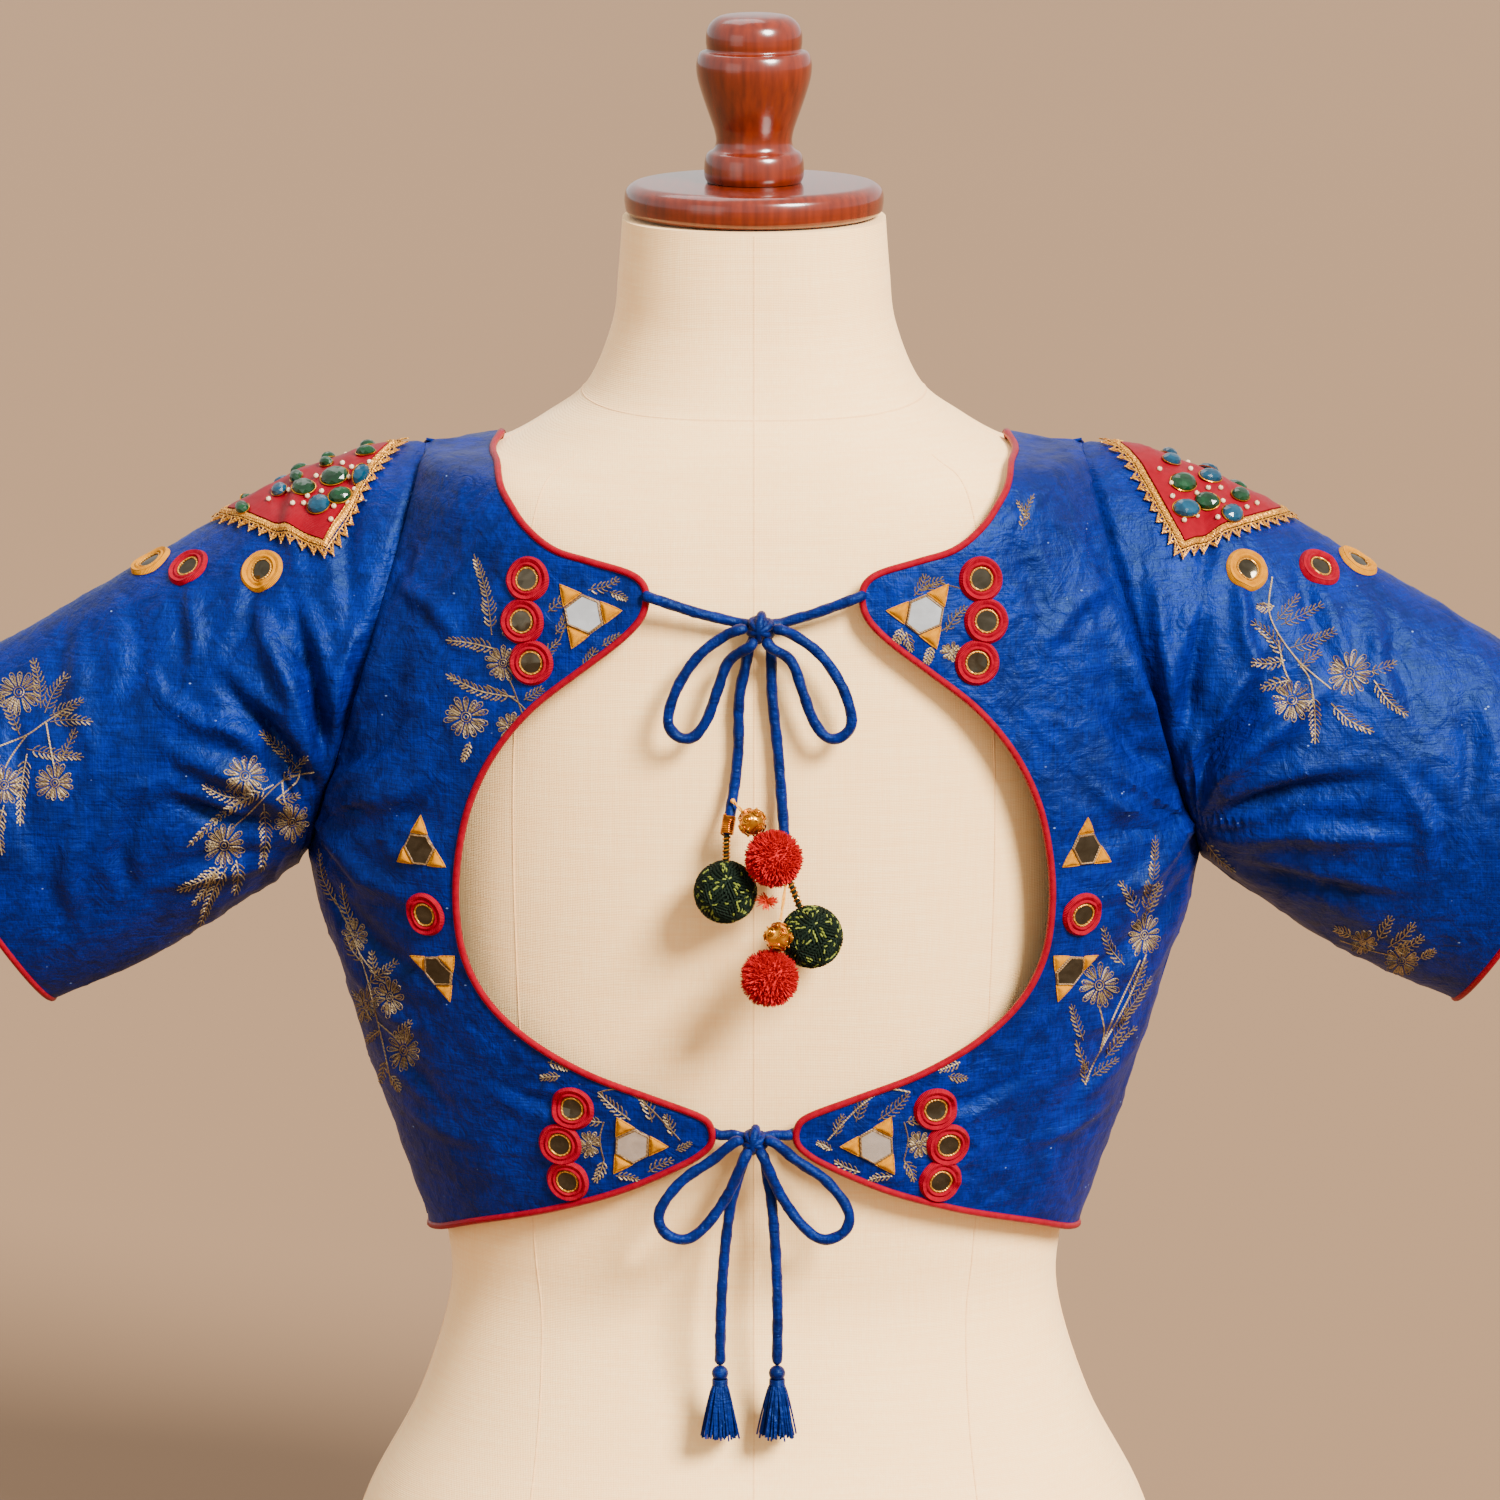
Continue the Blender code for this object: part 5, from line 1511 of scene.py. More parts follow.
@dataclass
class DressForm:
    """Padded torso with its seams, the wooden disc on its neck and the turned finial."""
    around: int = 144
    levels: int = 168
    seam_radius: float = 0.0006
    disc: tuple[Place, ...] = ((0, .0500), (.0004, .0535), (.0022, .0566), (.0050, .0574), (.0075, .0576),
                               (.0100, .0574), (.0125, .0564), (.0146, .0535), (.0150, .0500))
    finial: tuple[Place, ...] = ((0, .0210), (.0025, .0221), (.0060, .0222), (.0100, .0218), (.0128, .0206),
                                 (.0148, .0178), (.0185, .0169), (.0230, .0177), (.0270, .0190),
                                 (.0370, .0225), (.0450, .0249), (.0510, .0257), (.0550, .0251),
                                 (.0575, .0238), (.0588, .0212), (.0620, .0214), (.0665, .0211),
                                 (.0705, .0192), (.0735, .0150), (.0745, .0080))

    def torso(self) -> Piece:
        """Makes the padded torso.

        Returns:
            The piece.
        """
        builder = MeshBuilder("form_cover", [LINEN])
        last = len(BODY.rings) - 1
        points = []
        for i in range(self.levels + 1):
            for k in range(self.around):
                points.append(BODY.point(last * i / self.levels, math.tau * k / self.around, False))
        builder.add(points, tube_faces(self.levels + 1, self.around))
        return builder.stand_in("form_cloth", "form_torso")

    def seams(self) -> Piece:
        """Makes the seams as fine raised lines, half sunk in the cover.

        Returns:
            The piece.
        """
        builder = MeshBuilder("form_seams", [LINEN_SEAM])
        quarter = math.pi / 2
        runs = [[(level, -quarter) for level in np.linspace(0.05, 20.9, 150)],
                [(level, quarter) for level in np.linspace(0.05, 20.9, 150)]]
        for sign in (-1, 1):
            for facing in (-1, 1):
                spots = [(0.05, .118), (1, .116), (2, .104), (3, .097), (4, .095), (5, .098), (7, .104),
                         (9, .106), (11, .103), (13, .098), (15, .090), (16.2, .078)]
                run = []
                for level, x in smooth_pairs(spots, 140):
                    half = Ring(*read_table(BODY.rings, level)).form_half
                    angle = math.acos(min(1.0, x / half) ** (SQUARENESS / 2))
                    turn = angle if sign > 0 else math.pi - angle
                    run.append((level, turn * facing))
                runs.append(run)
            runs.append([(level, 0.0 if sign > 0 else math.pi) for level in np.linspace(0.05, 17.0, 120)])
        for run in runs:
            builder.tube([self.sunk(level, angle) for level, angle in run], self.seam_radius, 6)
        turns = np.linspace(0, math.tau, 160, endpoint=False)
        ring = [self.sunk(17.9 - 0.35 * abs(math.sin(turn)) ** 2, turn) for turn in turns]
        builder.tube(ring, self.seam_radius, 6, closed=True)
        return builder.stand_in("form_cloth")

    def sunk(self, level: float, angle: float) -> Vector:
        """A point just under the cover.

        Args:
            level: Ring number, with its fraction.
            angle: Angle from the right side.

        Returns:
            The point.
        """
        point = BODY.point(level, angle, False)
        step = 0.01
        across = BODY.point(level, angle + step, False) - BODY.point(level, angle - step, False)
        up = BODY.point(min(21.0, level + step), angle, False) - BODY.point(level - step, angle, False)
        normal = across.cross(up).normalized()
        if normal.dot(Vector((point.x, point.y, 0))) < 0:
            normal.negate()
        return point - normal * self.seam_radius * 0.55

    def turned(self, name: str, node: str, foot: float, profile: Sequence[Place], steps: int) -> Piece:
        """Makes a turned wooden piece.

        Args:
            name: Its name.
            node: Node that it replaces.
            foot: Height of its foot.
            profile: Heights and radii.
            steps: Rings along the profile.

        Returns:
            The piece.
        """
        sides = 96
        builder = MeshBuilder(name, [WOOD])
        points = [Vector((0, 0, foot + profile[0][0]))]
        for height, radius in smooth_pairs(profile, steps):
            for k in range(sides):
                turn = math.tau * k / sides
                points.append(Vector((radius * math.cos(turn), radius * math.sin(turn), foot + height)))
        points.append(Vector((0, 0, foot + profile[-1][0])))
        faces = band_faces(steps, sides, first=1)
        last = 1 + (steps - 1) * sides
        for k in range(sides):
            following = (k + 1) % sides
            faces.append((0, 1 + following, 1 + k))
            faces.append((len(points) - 1, last + k, last + following))
        builder.add(points, faces)
        return builder.stand_in("polished_wood", node)

    def build(self) -> None:
        """Makes all pieces of the form."""
        self.torso()
        self.seams()
        self.turned("wooden_disc", "neck_disc", NECK_TOP + SEAM, self.disc, 40)
        self.turned("wooden_finial", "neck_finial", NECK_TOP + 2 * SEAM + 0.015, self.finial, 90)
        LOG.info("dress form: cover, seams, disc and finial")


def smooth_pairs(pairs: Sequence[Place], count: int) -> list[Place]:
    """Spaces pairs evenly on a smooth curve."""
    return [tuple(read_table(pairs, k * (len(pairs) - 1) / (count - 1))) for k in range(count)]


# Piping


@dataclass
class Piping:
    """Red corded piping along the edges of the garment."""
    radius: float = 0.0016
    proud: float = 0.0004
    gap: float = -0.0008

    def edge(self, edge: Points, inside: Points, normals: Points) -> list[Vector]:
        """Middle line of the piping beside one edge.

        Args:
            edge: Points of the cloth's edge.
            inside: The next points inside the panel.
            normals: Outward directions at the edge.

        Returns:
            The points.
        """
        route = []
        reach = self.gap + self.radius
        for i, point in enumerate(edge):
            along = edge[min(len(edge) - 1, i + 1)] - edge[max(0, i - 1)]
            out = normals[i].cross(along)
            if out.dot(point - inside[i]) < 0:
                out.negate()
            route.append(point + normals[i] * (CLOTH / 2 + self.proud) + out.normalized() * reach)
        return route

    def body(self, back: Panel, front: Panel, corner: int) -> Piece:
        """Makes the one loop round the neck, the open back and the hem.

        Args:
            back: The right back panel.
            front: The whole front.
            corner: Column of the half front at the shoulder.

        Returns:
            The piece.
        """
        middle = (len(front.grid[0]) - 1) // 2

        def line(panel: Panel, row: int, start: int) -> tuple:
            """Reads the places and normals of a row."""
            return panel.grid[row][start:], panel.normals[row][start:]

        neck, neck_out = line(front, 0, middle)
        below, _ = line(front, 1, middle)
        route = self.edge(neck[:corner], below[:corner], neck_out[:corner])
        route += self.edge([r[0] for r in back.grid], [r[1] for r in back.grid], [r[0] for r in back.normals])
        route += self.edge(back.grid[-1], back.grid[-2], back.normals[-1])[1:-1]
        hem, hem_out = line(front, -1, middle)
        above, _ = line(front, -2, middle)
        route += self.edge(hem, above, hem_out)[::-1]
        route[0].x = route[-1].x = 0
        loop = route + mirror(route[-2:0:-1])
        builder = MeshBuilder("piping_round_body", [RED_PIPING])
        builder.tube(self.spaced(loop, 0.0012), self.radius, 10, closed=True)
        return builder.stand_in("red_trim", "piping_body")

    def spaced(self, loop: Points, step: float) -> list[Vector]:
        """Spaces the points of a closed line evenly and rounds its corners a little.

        Args:
            loop: Its points.
            step: Distance wanted between two points.

        Returns:
            The points.
        """
        closed = list(loop) + [loop[0]]
        whole = path_length(closed)
        count = int(whole / step)
        points, index, passed = [], 0, 0.0
        for k in range(count):
            wanted = whole * k / count
            while passed + (closed[index + 1] - closed[index]).length < wanted:
                passed += (closed[index + 1] - closed[index]).length
                index += 1
            span = (closed[index + 1] - closed[index]).length
            points.append(closed[index].lerp(closed[index + 1], (wanted - passed) / max(1e-9, span)))
        for _ in range(2):
            points = [(points[k - 1] + points[k] * 2 + points[(k + 1) % count]) / 4 for k in range(count)]
        return points

    def cuff(self, sleeve: Panel, side: Side) -> Piece:
        """Makes the piping of one cuff.

        Args:
            sleeve: The sleeve's grid, on the right side.
            side: Which cuff.

        Returns:
            The piece.
        """
        points = []
        for edge, inside, out in zip(sleeve.grid[-1], sleeve.grid[-2], sleeve.normals[-1]):
            away = (edge - inside).normalized()
            points.append(edge + out * (CLOTH / 2) + away * (self.gap + self.radius))
        if side is Side.LEFT:
            points = mirror(points)
        builder = MeshBuilder(f"piping_round_cuff_{side.word}", [RED_PIPING])
        builder.tube(self.spaced(points, 0.0012), self.radius, 10, closed=True)
        return builder.stand_in("red_trim", f"piping_cuff_{side.word}")


# Rings, stars and shoulder squares


@dataclass
class MirrorRing:
    """A ring wound with thread round a small mirror."""
    radius: float = 0.0100
    mirror: float = 0.0047
    lift: float = 0.0003
    height: float = 0.0021
    threads: int = 84
    sides: int = 84

    def add(self, builder: MeshBuilder, seat: Seat, middle: Vector, normal: Vector) -> None:
        """Adds one ring to a piece with slots for thread, mirror and rim.

        Args:
            builder: The piece.
            seat: The cloth under it.
            middle: Its middle on the cloth.
            normal: Outward direction there.
        """
        across = normal.cross(Vector((0, 0, 1))).normalized()
        up = across.cross(normal)

        def put(radius: float, turn: float, height: float) -> Vector:
            """Lays a place of the ring on the cloth."""
            offset = across * (radius * math.cos(turn)) + up * (radius * math.sin(turn))
            return seat.lay(middle, normal, offset, height)

        outer, inner = self.radius, self.mirror + 0.0006
        fold = inner + (outer - inner) * 0.42
        profile = [(outer, self.lift), (outer - 0.0004, self.height * 0.55), (outer - 0.0013, self.height),
                   ((outer + fold) / 2 + 0.0002, self.height * 1.08), (fold + 0.0005, self.height * 0.88),
                   (fold, self.height * 0.70), (fold - 0.0005, self.height * 0.88),
                   ((inner + fold) / 2, self.height * 0.98), (inner + 0.0003, self.height * 0.70),
                   (inner, self.height * 0.30)]
        points, uvs, faces = [], [], []
        for index, (radius, height) in enumerate(profile):
            for k in range(self.sides + 1):
                turn = math.tau * k / self.sides
                ripple = 0.00008 * math.sin(turn * self.threads / 2 + index)
                points.append(put(radius, turn, height + ripple))
                uvs.append((self.threads * k / self.sides, index * 1.0))
        width = self.sides + 1
        for index in range(len(profile) - 1):
            for k in range(self.sides):
                a, b = index * width + k, index * width + k + 1
                faces.append((a, b, b + width, a + width))
        builder.add(points, faces, 0, uvs)
        disc = [put(0.0, 0.0, self.height * 0.42)]
        steps = 28
        for radius in (self.mirror * 0.7, self.mirror):
            disc += [put(radius, math.tau * k / steps, self.height * 0.42) for k in range(steps)]
        pairs = [(1 + k, 1 + (k + 1) % steps) for k in range(steps)]
        faces = [(0, a, b) for a, b in pairs] + [(a, a + steps, b + steps, b) for a, b in pairs]
        builder.add(disc, faces, 1)
        lip = [put(self.mirror + 0.0002, math.tau * k / 40, self.height * 0.52) for k in range(40)]
        builder.tube(lip, 0.00042, 6, 2, closed=True)


@dataclass
class MirrorStar:
    """Three padded triangles in satin stitch round a six-sided mirror."""
    dome: float = 0.0019
    lift: float = 0.0002
    steps: int = 12

    def add(self, builder: MeshBuilder, seat: Seat, corners: Sequence[tuple[Vector, Vector]]) -> None:
        """Adds one star to a piece with slots for thread, mirror and rim.

        Args:
            builder: The piece.
            seat: The cloth under it.
            corners: Its three corners on the cloth, with their outward directions.
        """
        middle = sum((p for p, _ in corners), Vector()) / 3
        normal = sum((n for _, n in corners), Vector()).normalized()
        spots = [p - middle for p, _ in corners]
        for k in range(3):
            tip = spots[k]
            left, right = tip.lerp(spots[(k + 1) % 3], 0.345), tip.lerp(spots[k - 1], 0.345)
            points, uvs, faces, rows = [], [], [], []
            for i in range(self.steps + 1):
                row = []
                for j in range(i + 1):
                    a, b = i / self.steps, (j / i if i else 0.5)
                    offset = tip.lerp(left, a).lerp(tip.lerp(right, a), b)
                    edge = min(1 - a, a * b, a * (1 - b)) * 3
                    height = self.lift + self.dome * (1 - (1 - min(1.0, edge * 1.25)) ** 2.2)
                    row.append(len(points))
                    points.append(seat.lay(middle, normal, offset, height))
                    uvs.append((a * 18.0, b * 3.0))
                rows.append(row)
            for upper, lower in zip(rows, rows[1:]):
                for j in range(len(upper)):
                    faces.append((upper[j], lower[j], lower[j + 1]))
                    if j + 1 < len(upper):
                        faces.append((upper[j], lower[j + 1], upper[j + 1]))
            builder.add(points, faces, 0, uvs)
            rim = [seat.lay(middle, normal, tip.lerp(left, s), 0.0004) for s in (0, 0.25, 0.5, 0.75, 1)]
            rim += [seat.lay(middle, normal, left.lerp(right, s), 0.0004) for s in (0.25, 0.5, 0.75)]
            rim += [seat.lay(middle, normal, right.lerp(tip, s), 0.0004) for s in (0, 0.25, 0.5, 0.75)]
            builder.tube(rim, 0.00035, 5, 0, closed=True)
        hexagon = []
        for k in range(3):
            hexagon += [spots[k].lerp(spots[(k + 1) % 3], 0.365), spots[k].lerp(spots[(k + 1) % 3], 0.635)]
        face = [seat.lay(middle, normal, Vector(), 0.0010)]
        face += [seat.lay(middle, normal, s * 0.86, 0.0010) for s in hexagon]
        face += [seat.lay(middle, normal, s, 0.0004) for s in hexagon]
        builder.add(face, [(0, 1 + k, 1 + (k + 1) % 6) for k in range(6)], 1)
        builder.add(face, [(1 + k, 7 + k, 7 + (k + 1) % 6, 1 + (k + 1) % 6) for k in range(6)], 2)
        border = []
        for k in range(6):
            border += [hexagon[k].lerp(hexagon[(k + 1) % 6], s) * 0.92 for s in (0.0, 0.33, 0.66)]
        builder.tube([seat.lay(middle, normal, s, 0.0010) for s in border], 0.00045, 5, 2, closed=True)


@dataclass
class Trims:
    """All rings and stars of the garment, each on its own node."""
    rows: dict = field(default_factory=lambda: {
        "rings_upper": [(.0988, .5446), (.1012, .5265), (.0972, .5086)],
        "rings_lower": [(.0800, .3072), (.0858, .2900), (.0825, .2728)],
        "ring_side": [(.1450, .3925)],
    })
    sleeve_rings: tuple = (("a", .375, 45.0), ("b", .520, 28.0), ("c", .585, 9.0))
    stars: dict = field(default_factory=lambda: {
        "star_upper": [(.0845, .5431), (.0574, .5327), (.0793, .5156)],
        "star_side_a": [(.1465, .4370), (.1572, .4155), (.1355, .4155)],
        "star_side_b": [(.1520, .3720), (.1320, .3745), (.1342, .3530)],
        "star_lower": [(.0605, .3042), (.0380, .2912), (.0620, .2775)],
    })
    ring: MirrorRing = field(default_factory=MirrorRing)
    star: MirrorStar = field(default_factory=MirrorStar)

    def build(self, side: Side, back: Seat, sleeve: Seat) -> int:
        """Makes the trims of one side.

        Args:
            side: Which side.
            back: Its back panel.
            sleeve: Its sleeve.

        Returns:
            How many pieces were made.
        """
        ahead = Vector((0, 1, 0))
        sign = side.value
        for row, places in self.rows.items():
            builder = MeshBuilder(f"wound_{row}_{side.word}", [RED_STITCH, DARK_REFLECTION_MIRROR, LACE_GOLD])
            for x, z in places:
                middle, normal = back.find(Vector((sign * x, -0.5, z)), ahead)
                self.ring.add(builder, back, middle, normal)
            builder.stand_in("red_trim", f"{row}_{side.word}", closed=False)
        for letter, place, degrees in self.sleeve_rings:
            thread, slot = (RED_STITCH, "red_trim") if letter == "b" else (YELLOW_STITCH, "yellow_thread")
            builder = MeshBuilder(f"wound_ring_sleeve_{side.word}_{letter}", [thread, DARK_REFLECTION_MIRROR, LACE_GOLD])
            point = SLEEVE.point(place, -degrees)
            along, round_on = SLEEVE.point(place + 0.01, -degrees), SLEEVE.point(place, -degrees - 1)
            out = (along - point).cross(round_on - point).normalized()
            if out.dot(point - (SLEEVE.point(place, 0) + SLEEVE.point(place, 180)) / 2) < 0:
                out.negate()
            if side is Side.LEFT:
                point, out = mirror([point, out])
            middle, _ = sleeve.find(point + out * 0.03, -out)
            self.ring.add(builder, sleeve, middle, out)
            builder.stand_in(slot, f"ring_sleeve_{side.word}_{letter}", closed=False)
        for name, corners in self.stars.items():
            # Side stars take the mirror painted with a dark reflection, the upper and lower stars the one
            # painted with a bright reflection.
            glass = DARK_REFLECTION_MIRROR if "side" in name else BRIGHT_REFLECTION_MIRROR
            builder = MeshBuilder(f"stitched_{name}_{side.word}", [YELLOW_STITCH, glass, MIRROR_RIM])
            found = [back.find(Vector((sign * x, -0.5, z)), ahead) for x, z in corners]
            self.star.add(builder, back, found)
            builder.stand_in("yellow_thread", f"{name}_{side.word}", closed=False)
        return len(self.rows) + len(self.sleeve_rings) + len(self.stars)


class View:
    """Rays through the photograph's frame, from behind or mirrored from the front."""
    TARGET = Vector((-0.0018, 0, 0.45))
    DISTANCE = 3.6
    ELEVATION = math.radians(11)
    PIXEL = 0.00045
    FRAME = 1500

    def __init__(self, facing: Facing) -> None:
        """Sets the side that it looks from."""
        self.sign = -facing.value

    def ray(self, across: float, down: float) -> tuple[Vector, Vector]:
        """Ray through a place of the frame.

        Args:
            across: Pixels from the left.
            down: Pixels from the top.

        Returns:
            Its start and direction.
        """
        eye = self.TARGET + Vector((0, -math.cos(self.ELEVATION), math.sin(self.ELEVATION))) * self.DISTANCE
        up = Vector((0, math.sin(self.ELEVATION), math.cos(self.ELEVATION)))
        aim = self.TARGET + Vector(((across - self.FRAME / 2) * self.PIXEL, 0, 0))
        aim += up * ((self.FRAME / 2 - down) * self.PIXEL)
        eye, aim = (Vector((p.x, p.y * self.sign, p.z)) for p in (eye, aim))
        return eye, (aim - eye).normalized()


@dataclass
class ShoulderSquare:
    """Red satin square folded over the top of a sleeve, edged with lace and set with stones."""
    inner: Place = (0.1625, 0.5873)
    outer: Place = (0.2340, 0.5570)
    axis_depth: float = 0.0750
    half_turn: float = 40.0
    turn_power: float = 0.80
    lift: float = 0.0012
    cells: int = 44
    stones: dict = field(default_factory=lambda: {
        Side.LEFT: [(335, 477, 13, 11, 0, 0), (304, 488, 12, 9, 20, 0), (340, 496, 10, 8, -20, 0),
                    (360, 475, 12, 9, -15, 1), (319, 505, 10, 10, 10, 1), (280, 491, 9, 7, 25, 1),
                    (366, 453, 9, 6, -20, 0), (327, 464, 8, 5, -10, 0), (297, 478, 9, 6, 20, 0),
                    (243, 509, 9, 6, 20, 0)],
        Side.RIGHT: [(1186, 509, 12, 9, 0, 1), (1232, 514, 11, 9, -15, 1), (1171, 461, 10, 7, 15, 1),
                     (1210, 477, 11, 8, 10, 1), (1183, 483, 13, 10, -10, 0), (1207, 502, 11, 9, 15, 0),
                     (1240, 496, 10, 8, -20, 0), (1275, 517, 9, 6, -25, 0)],
    })
    beads: dict = field(default_factory=lambda: {
        Side.LEFT: [(317, 477), (293, 504), (304, 504), (334, 507), (346, 502), (353, 489), (368, 462),
                    (343, 464),
                    (290, 491), (349, 478), (322, 492), (308, 497), (331, 520), (269, 500), (352, 468)],
        Side.RIGHT: [(1171, 484), (1196, 494), (1220, 489), (1246, 508), (1196, 516), (1172, 497),
                     (1222, 502),
                     (1208, 489), (1256, 504), (1190, 470), (1159, 470), (1218, 518), (1184, 521)],
    })

    def lay(self, seat: Seat, along: float, around: float, side: Side, height: float) -> Vector:
        """A point over the sleeve, in the square's own grid.

        Args:
            seat: The sleeve.
            along: Share along one edge.
            around: Share along the other edge.
            side: Which sleeve.
            height: Height over the cloth.

        Returns:
            The point.
        """
        inner, outer = Vector((self.inner[0], 0, self.inner[1])), Vector((self.outer[0], 0, self.outer[1]))
        line = (outer - inner).normalized()
        up = Vector((-line.z, 0, line.x))
        axis = inner.lerp(outer, (1 + along - around) / 2) - up * self.axis_depth
        turn = math.radians(self.half_turn) * power(along + around - 1, self.turn_power)
        out = up * math.cos(turn) - Vector((0, 1, 0)) * math.sin(turn)
        if side is Side.LEFT:
            axis, out = mirror([axis, out])
        hit, _ = seat.find(axis + out * 0.15, -out)
        return hit + out * height

    def border(self, seat: Seat, place: float, spread: float, side: Side, height: float) -> Vector:
        """A point beside the square's edge.

        Args:
            seat: The sleeve.
            place: 0 to 4 round the four edges.
            spread: Distance outside the edge, in shares of the side.
            side: Which sleeve.
            height: Height over the cloth.

        Returns:
            The point.
        """
        corners = [(0, 0), (1, 0), (1, 1), (0, 1)]
        index = int(place) % 4
        here, following, share = corners[index], corners[(index + 1) % 4], place - int(place)
        spot = [0.5 + (a + (b - a) * share - 0.5) * (1 + 2 * spread) for a, b in zip(here, following)]
        return self.lay(seat, spot[0], spot[1], side, height)

    def build(self, side: Side, seat: Seat) -> tuple:
        """Makes the square, its lace and its stones.

        Args:
            side: Which sleeve.
            seat: The sleeve.

        Returns:
            The square and the pieces on it.
        """
        count = self.cells + 1
        lower, upper = [], []
        for i in range(count):
            for j in range(count):
                along, around = i / self.cells, j / self.cells
                point = self.lay(seat, along, around, side, self.lift)
                pucker = 0.0005 * noise.noise(point * 130) + 0.0004 * noise.noise(point * 55)
                edge = min(1.0, min(along, 1 - along, around, 1 - around) * 8)
                lower.append(point)
                upper.append(self.lay(seat, along, around, side, self.lift + CLOTH + pucker * edge))
        builder = MeshBuilder(f"satin_square_{side.word}", [RED_SATIN])
        builder.add(lower + upper, wall_faces(count, count, False))
        square = builder.stand_in("red_trim", f"patch_{side.word}")
        lace = self.lace(side, seat)
        stones = self.jewels(side, Seat(square))
        return square, lace, stones

    def lace(self, side: Side, seat: Seat) -> Piece:
        """Makes the gold lace round the square.

        Args:
            side: Which sleeve.
            seat: The sleeve.

        Returns:
            The piece.
        """
        builder = MeshBuilder(f"gold_lace_{side.word}", [LACE_GOLD, SPRAY_GOLD])
        steps = 560
        for strand in range(3):
            line = []
            for k in range(steps):
                turn = math.tau * (k / steps * 76 + strand / 3)
                line.append(self.border(seat, 4 * k / steps, 0.034 + 0.017 * math.sin(turn), side,
                                        0.0021 + 0.0004 * math.cos(2 * turn)))
            builder.tube(line, 0.00052, 5, 0, closed=True)
        for spread, size in ((0.012, 0.00035), (0.068, 0.00038)):
            line = [self.border(seat, k / 80, spread, side, 0.0018 + 0.0002 * math.sin(k * 2.2))
                    for k in range(320)]
            builder.tube(line, size, 5, 0, closed=True)
        teeth = 12
        for edge in range(4):
            for tooth in range(teeth):
                start = edge + tooth / teeth
                for ply in range(3):
                    line = []
                    for k in range(9):
                        share = k / 8
                        rise = 1 - abs(2 * share - 1) ** (1.15 + 0.25 * ply)
                        spread = 0.068 + (0.062 - 0.012 * ply) * rise
                        height = 0.0016 + 0.0002 * ply
                        line.append(self.border(seat, start + share / teeth, spread, side, height))
                    builder.tube(line, 0.00034, 4, 0)
                spur = [self.border(seat, start + 0.5 / teeth, 0.070 + 0.074 * share, side, 0.0017)
                        for share in (0, 0.5, 1)]
                builder.tube(spur, 0.00038, 4, 0)
        return builder.stand_in("gold_lace", f"lace_{side.word}")

    def jewels(self, side: Side, seat: Seat) -> Piece:
        """Makes the cut stones and small beads, also on the hidden half.

        Args:
            side: Which sleeve.
            seat: The square's upper side.

        Returns:
            The piece.
        """
        builder = MeshBuilder(f"square_stones_{side.word}", [GREEN_STONE, TEAL_STONE, CREAM_BEAD, BEAD_GOLD])
        behind = View(Facing.BACK)
        for hidden in (False, True):
            for across, down, half_width, half_height, turn, kind in self.stones[side]:
                found = self.spot(seat, behind.ray(across, down), hidden)
                if found:
                    self.stone(builder, *found, half_width * View.PIXEL, half_height * View.PIXEL,
                               math.radians(turn), kind)
            for across, down in self.beads[side]:
                found = self.spot(seat, behind.ray(across, down), hidden)
                if found:
                    point, out = found
                    builder.ball(point + out * 0.0008, 0.00115, 5, 2)
                    builder.ball(point + out * 0.0019, 0.00030, 3, 3)
        return builder.stand_in("yellow_thread", smooth=False)

    def spot(self, seat: Seat, ray: tuple[Vector, Vector], hidden: bool) -> tuple | None:
        """Finds where a stone sits.

        Args:
            seat: The square's upper side.
            ray: Ray through the photograph.
            hidden: Takes the same place on the front half.

        Returns:
            Point and outward direction, or None where the ray misses.
        """
        point, normal, _, _ = seat.tree.ray_cast(*ray)
        if point is None:
            return None
        if hidden:
            start = Vector((point.x, 0.5, point.z - 2 * math.tan(View.ELEVATION) * abs(point.y) * 0.2))
            point, normal, _, _ = seat.tree.ray_cast(start, Vector((0, -1, 0)))
            if point is None:
                return None
        up = Vector((0, 0, 1))
        return point, (-normal if normal.dot(up) < 0 else normal)

    def stone(self, builder: MeshBuilder, point: Vector, out: Vector, width: float, height: float,
              turn: float, kind: int) -> None:
        """Adds one cut stone in its thin gilt setting.

        Args:
            builder: The piece.
            point: Its place.
            out: Outward direction there.
            width: Half its width.
            height: Half its height.
            turn: Turn in its plane.
            kind: Material slot.
        """
        side = out.cross(Vector((0, 0, 1))).normalized()
        up = side.cross(out)
        first = spin(side, up, turn) * (width * 1.15)
        second = spin(up, -side, turn) * (height * 1.15)
        rings = [(1.0, 0.0000), (1.0, 0.0012), (0.84, 0.0025), (0.48, 0.0034)]
        points = []
        for index, (size, rise) in enumerate(rings):
            for k in range(10):
                angle = math.tau * (k + 0.5 * (index % 2)) / 10
                points.append(point + spin(first, second, angle) * size + out * rise)
        points.append(point + out * 0.0036)
        faces = []
        for level in range(3):
            for k in range(10):
                a, b = level * 10 + k, level * 10 + (k + 1) % 10
                if level % 2 == 0:
                    faces += [(a, b, a + 10), (b, b + 10, a + 10)]
                else:
                    faces += [(a, b, b + 10), (a, b + 10, a + 10)]
        faces += [(30 + k, 30 + (k + 1) % 10, 40) for k in range(10)]
        builder.add(points, faces, kind)
        rim = [point + spin(first, second, math.tau * k / 24) * 1.04 + out * 0.0006 for k in range(24)]
        builder.tube(rim, 0.00028, 4, 3, closed=True)


# Gold sprays


@dataclass(frozen=True)
class Motif:
    """One spray, in pixels of the frame.

    Attributes:
        blossoms: Middle, radius and height over width of each blossom.
        fronds: Foot, tip and longest leaflet of each frond.
        stems: Places that each stem runs through.
    """
    MIDDLE = 754.0
    blossoms: tuple
    fronds: tuple
    stems: tuple


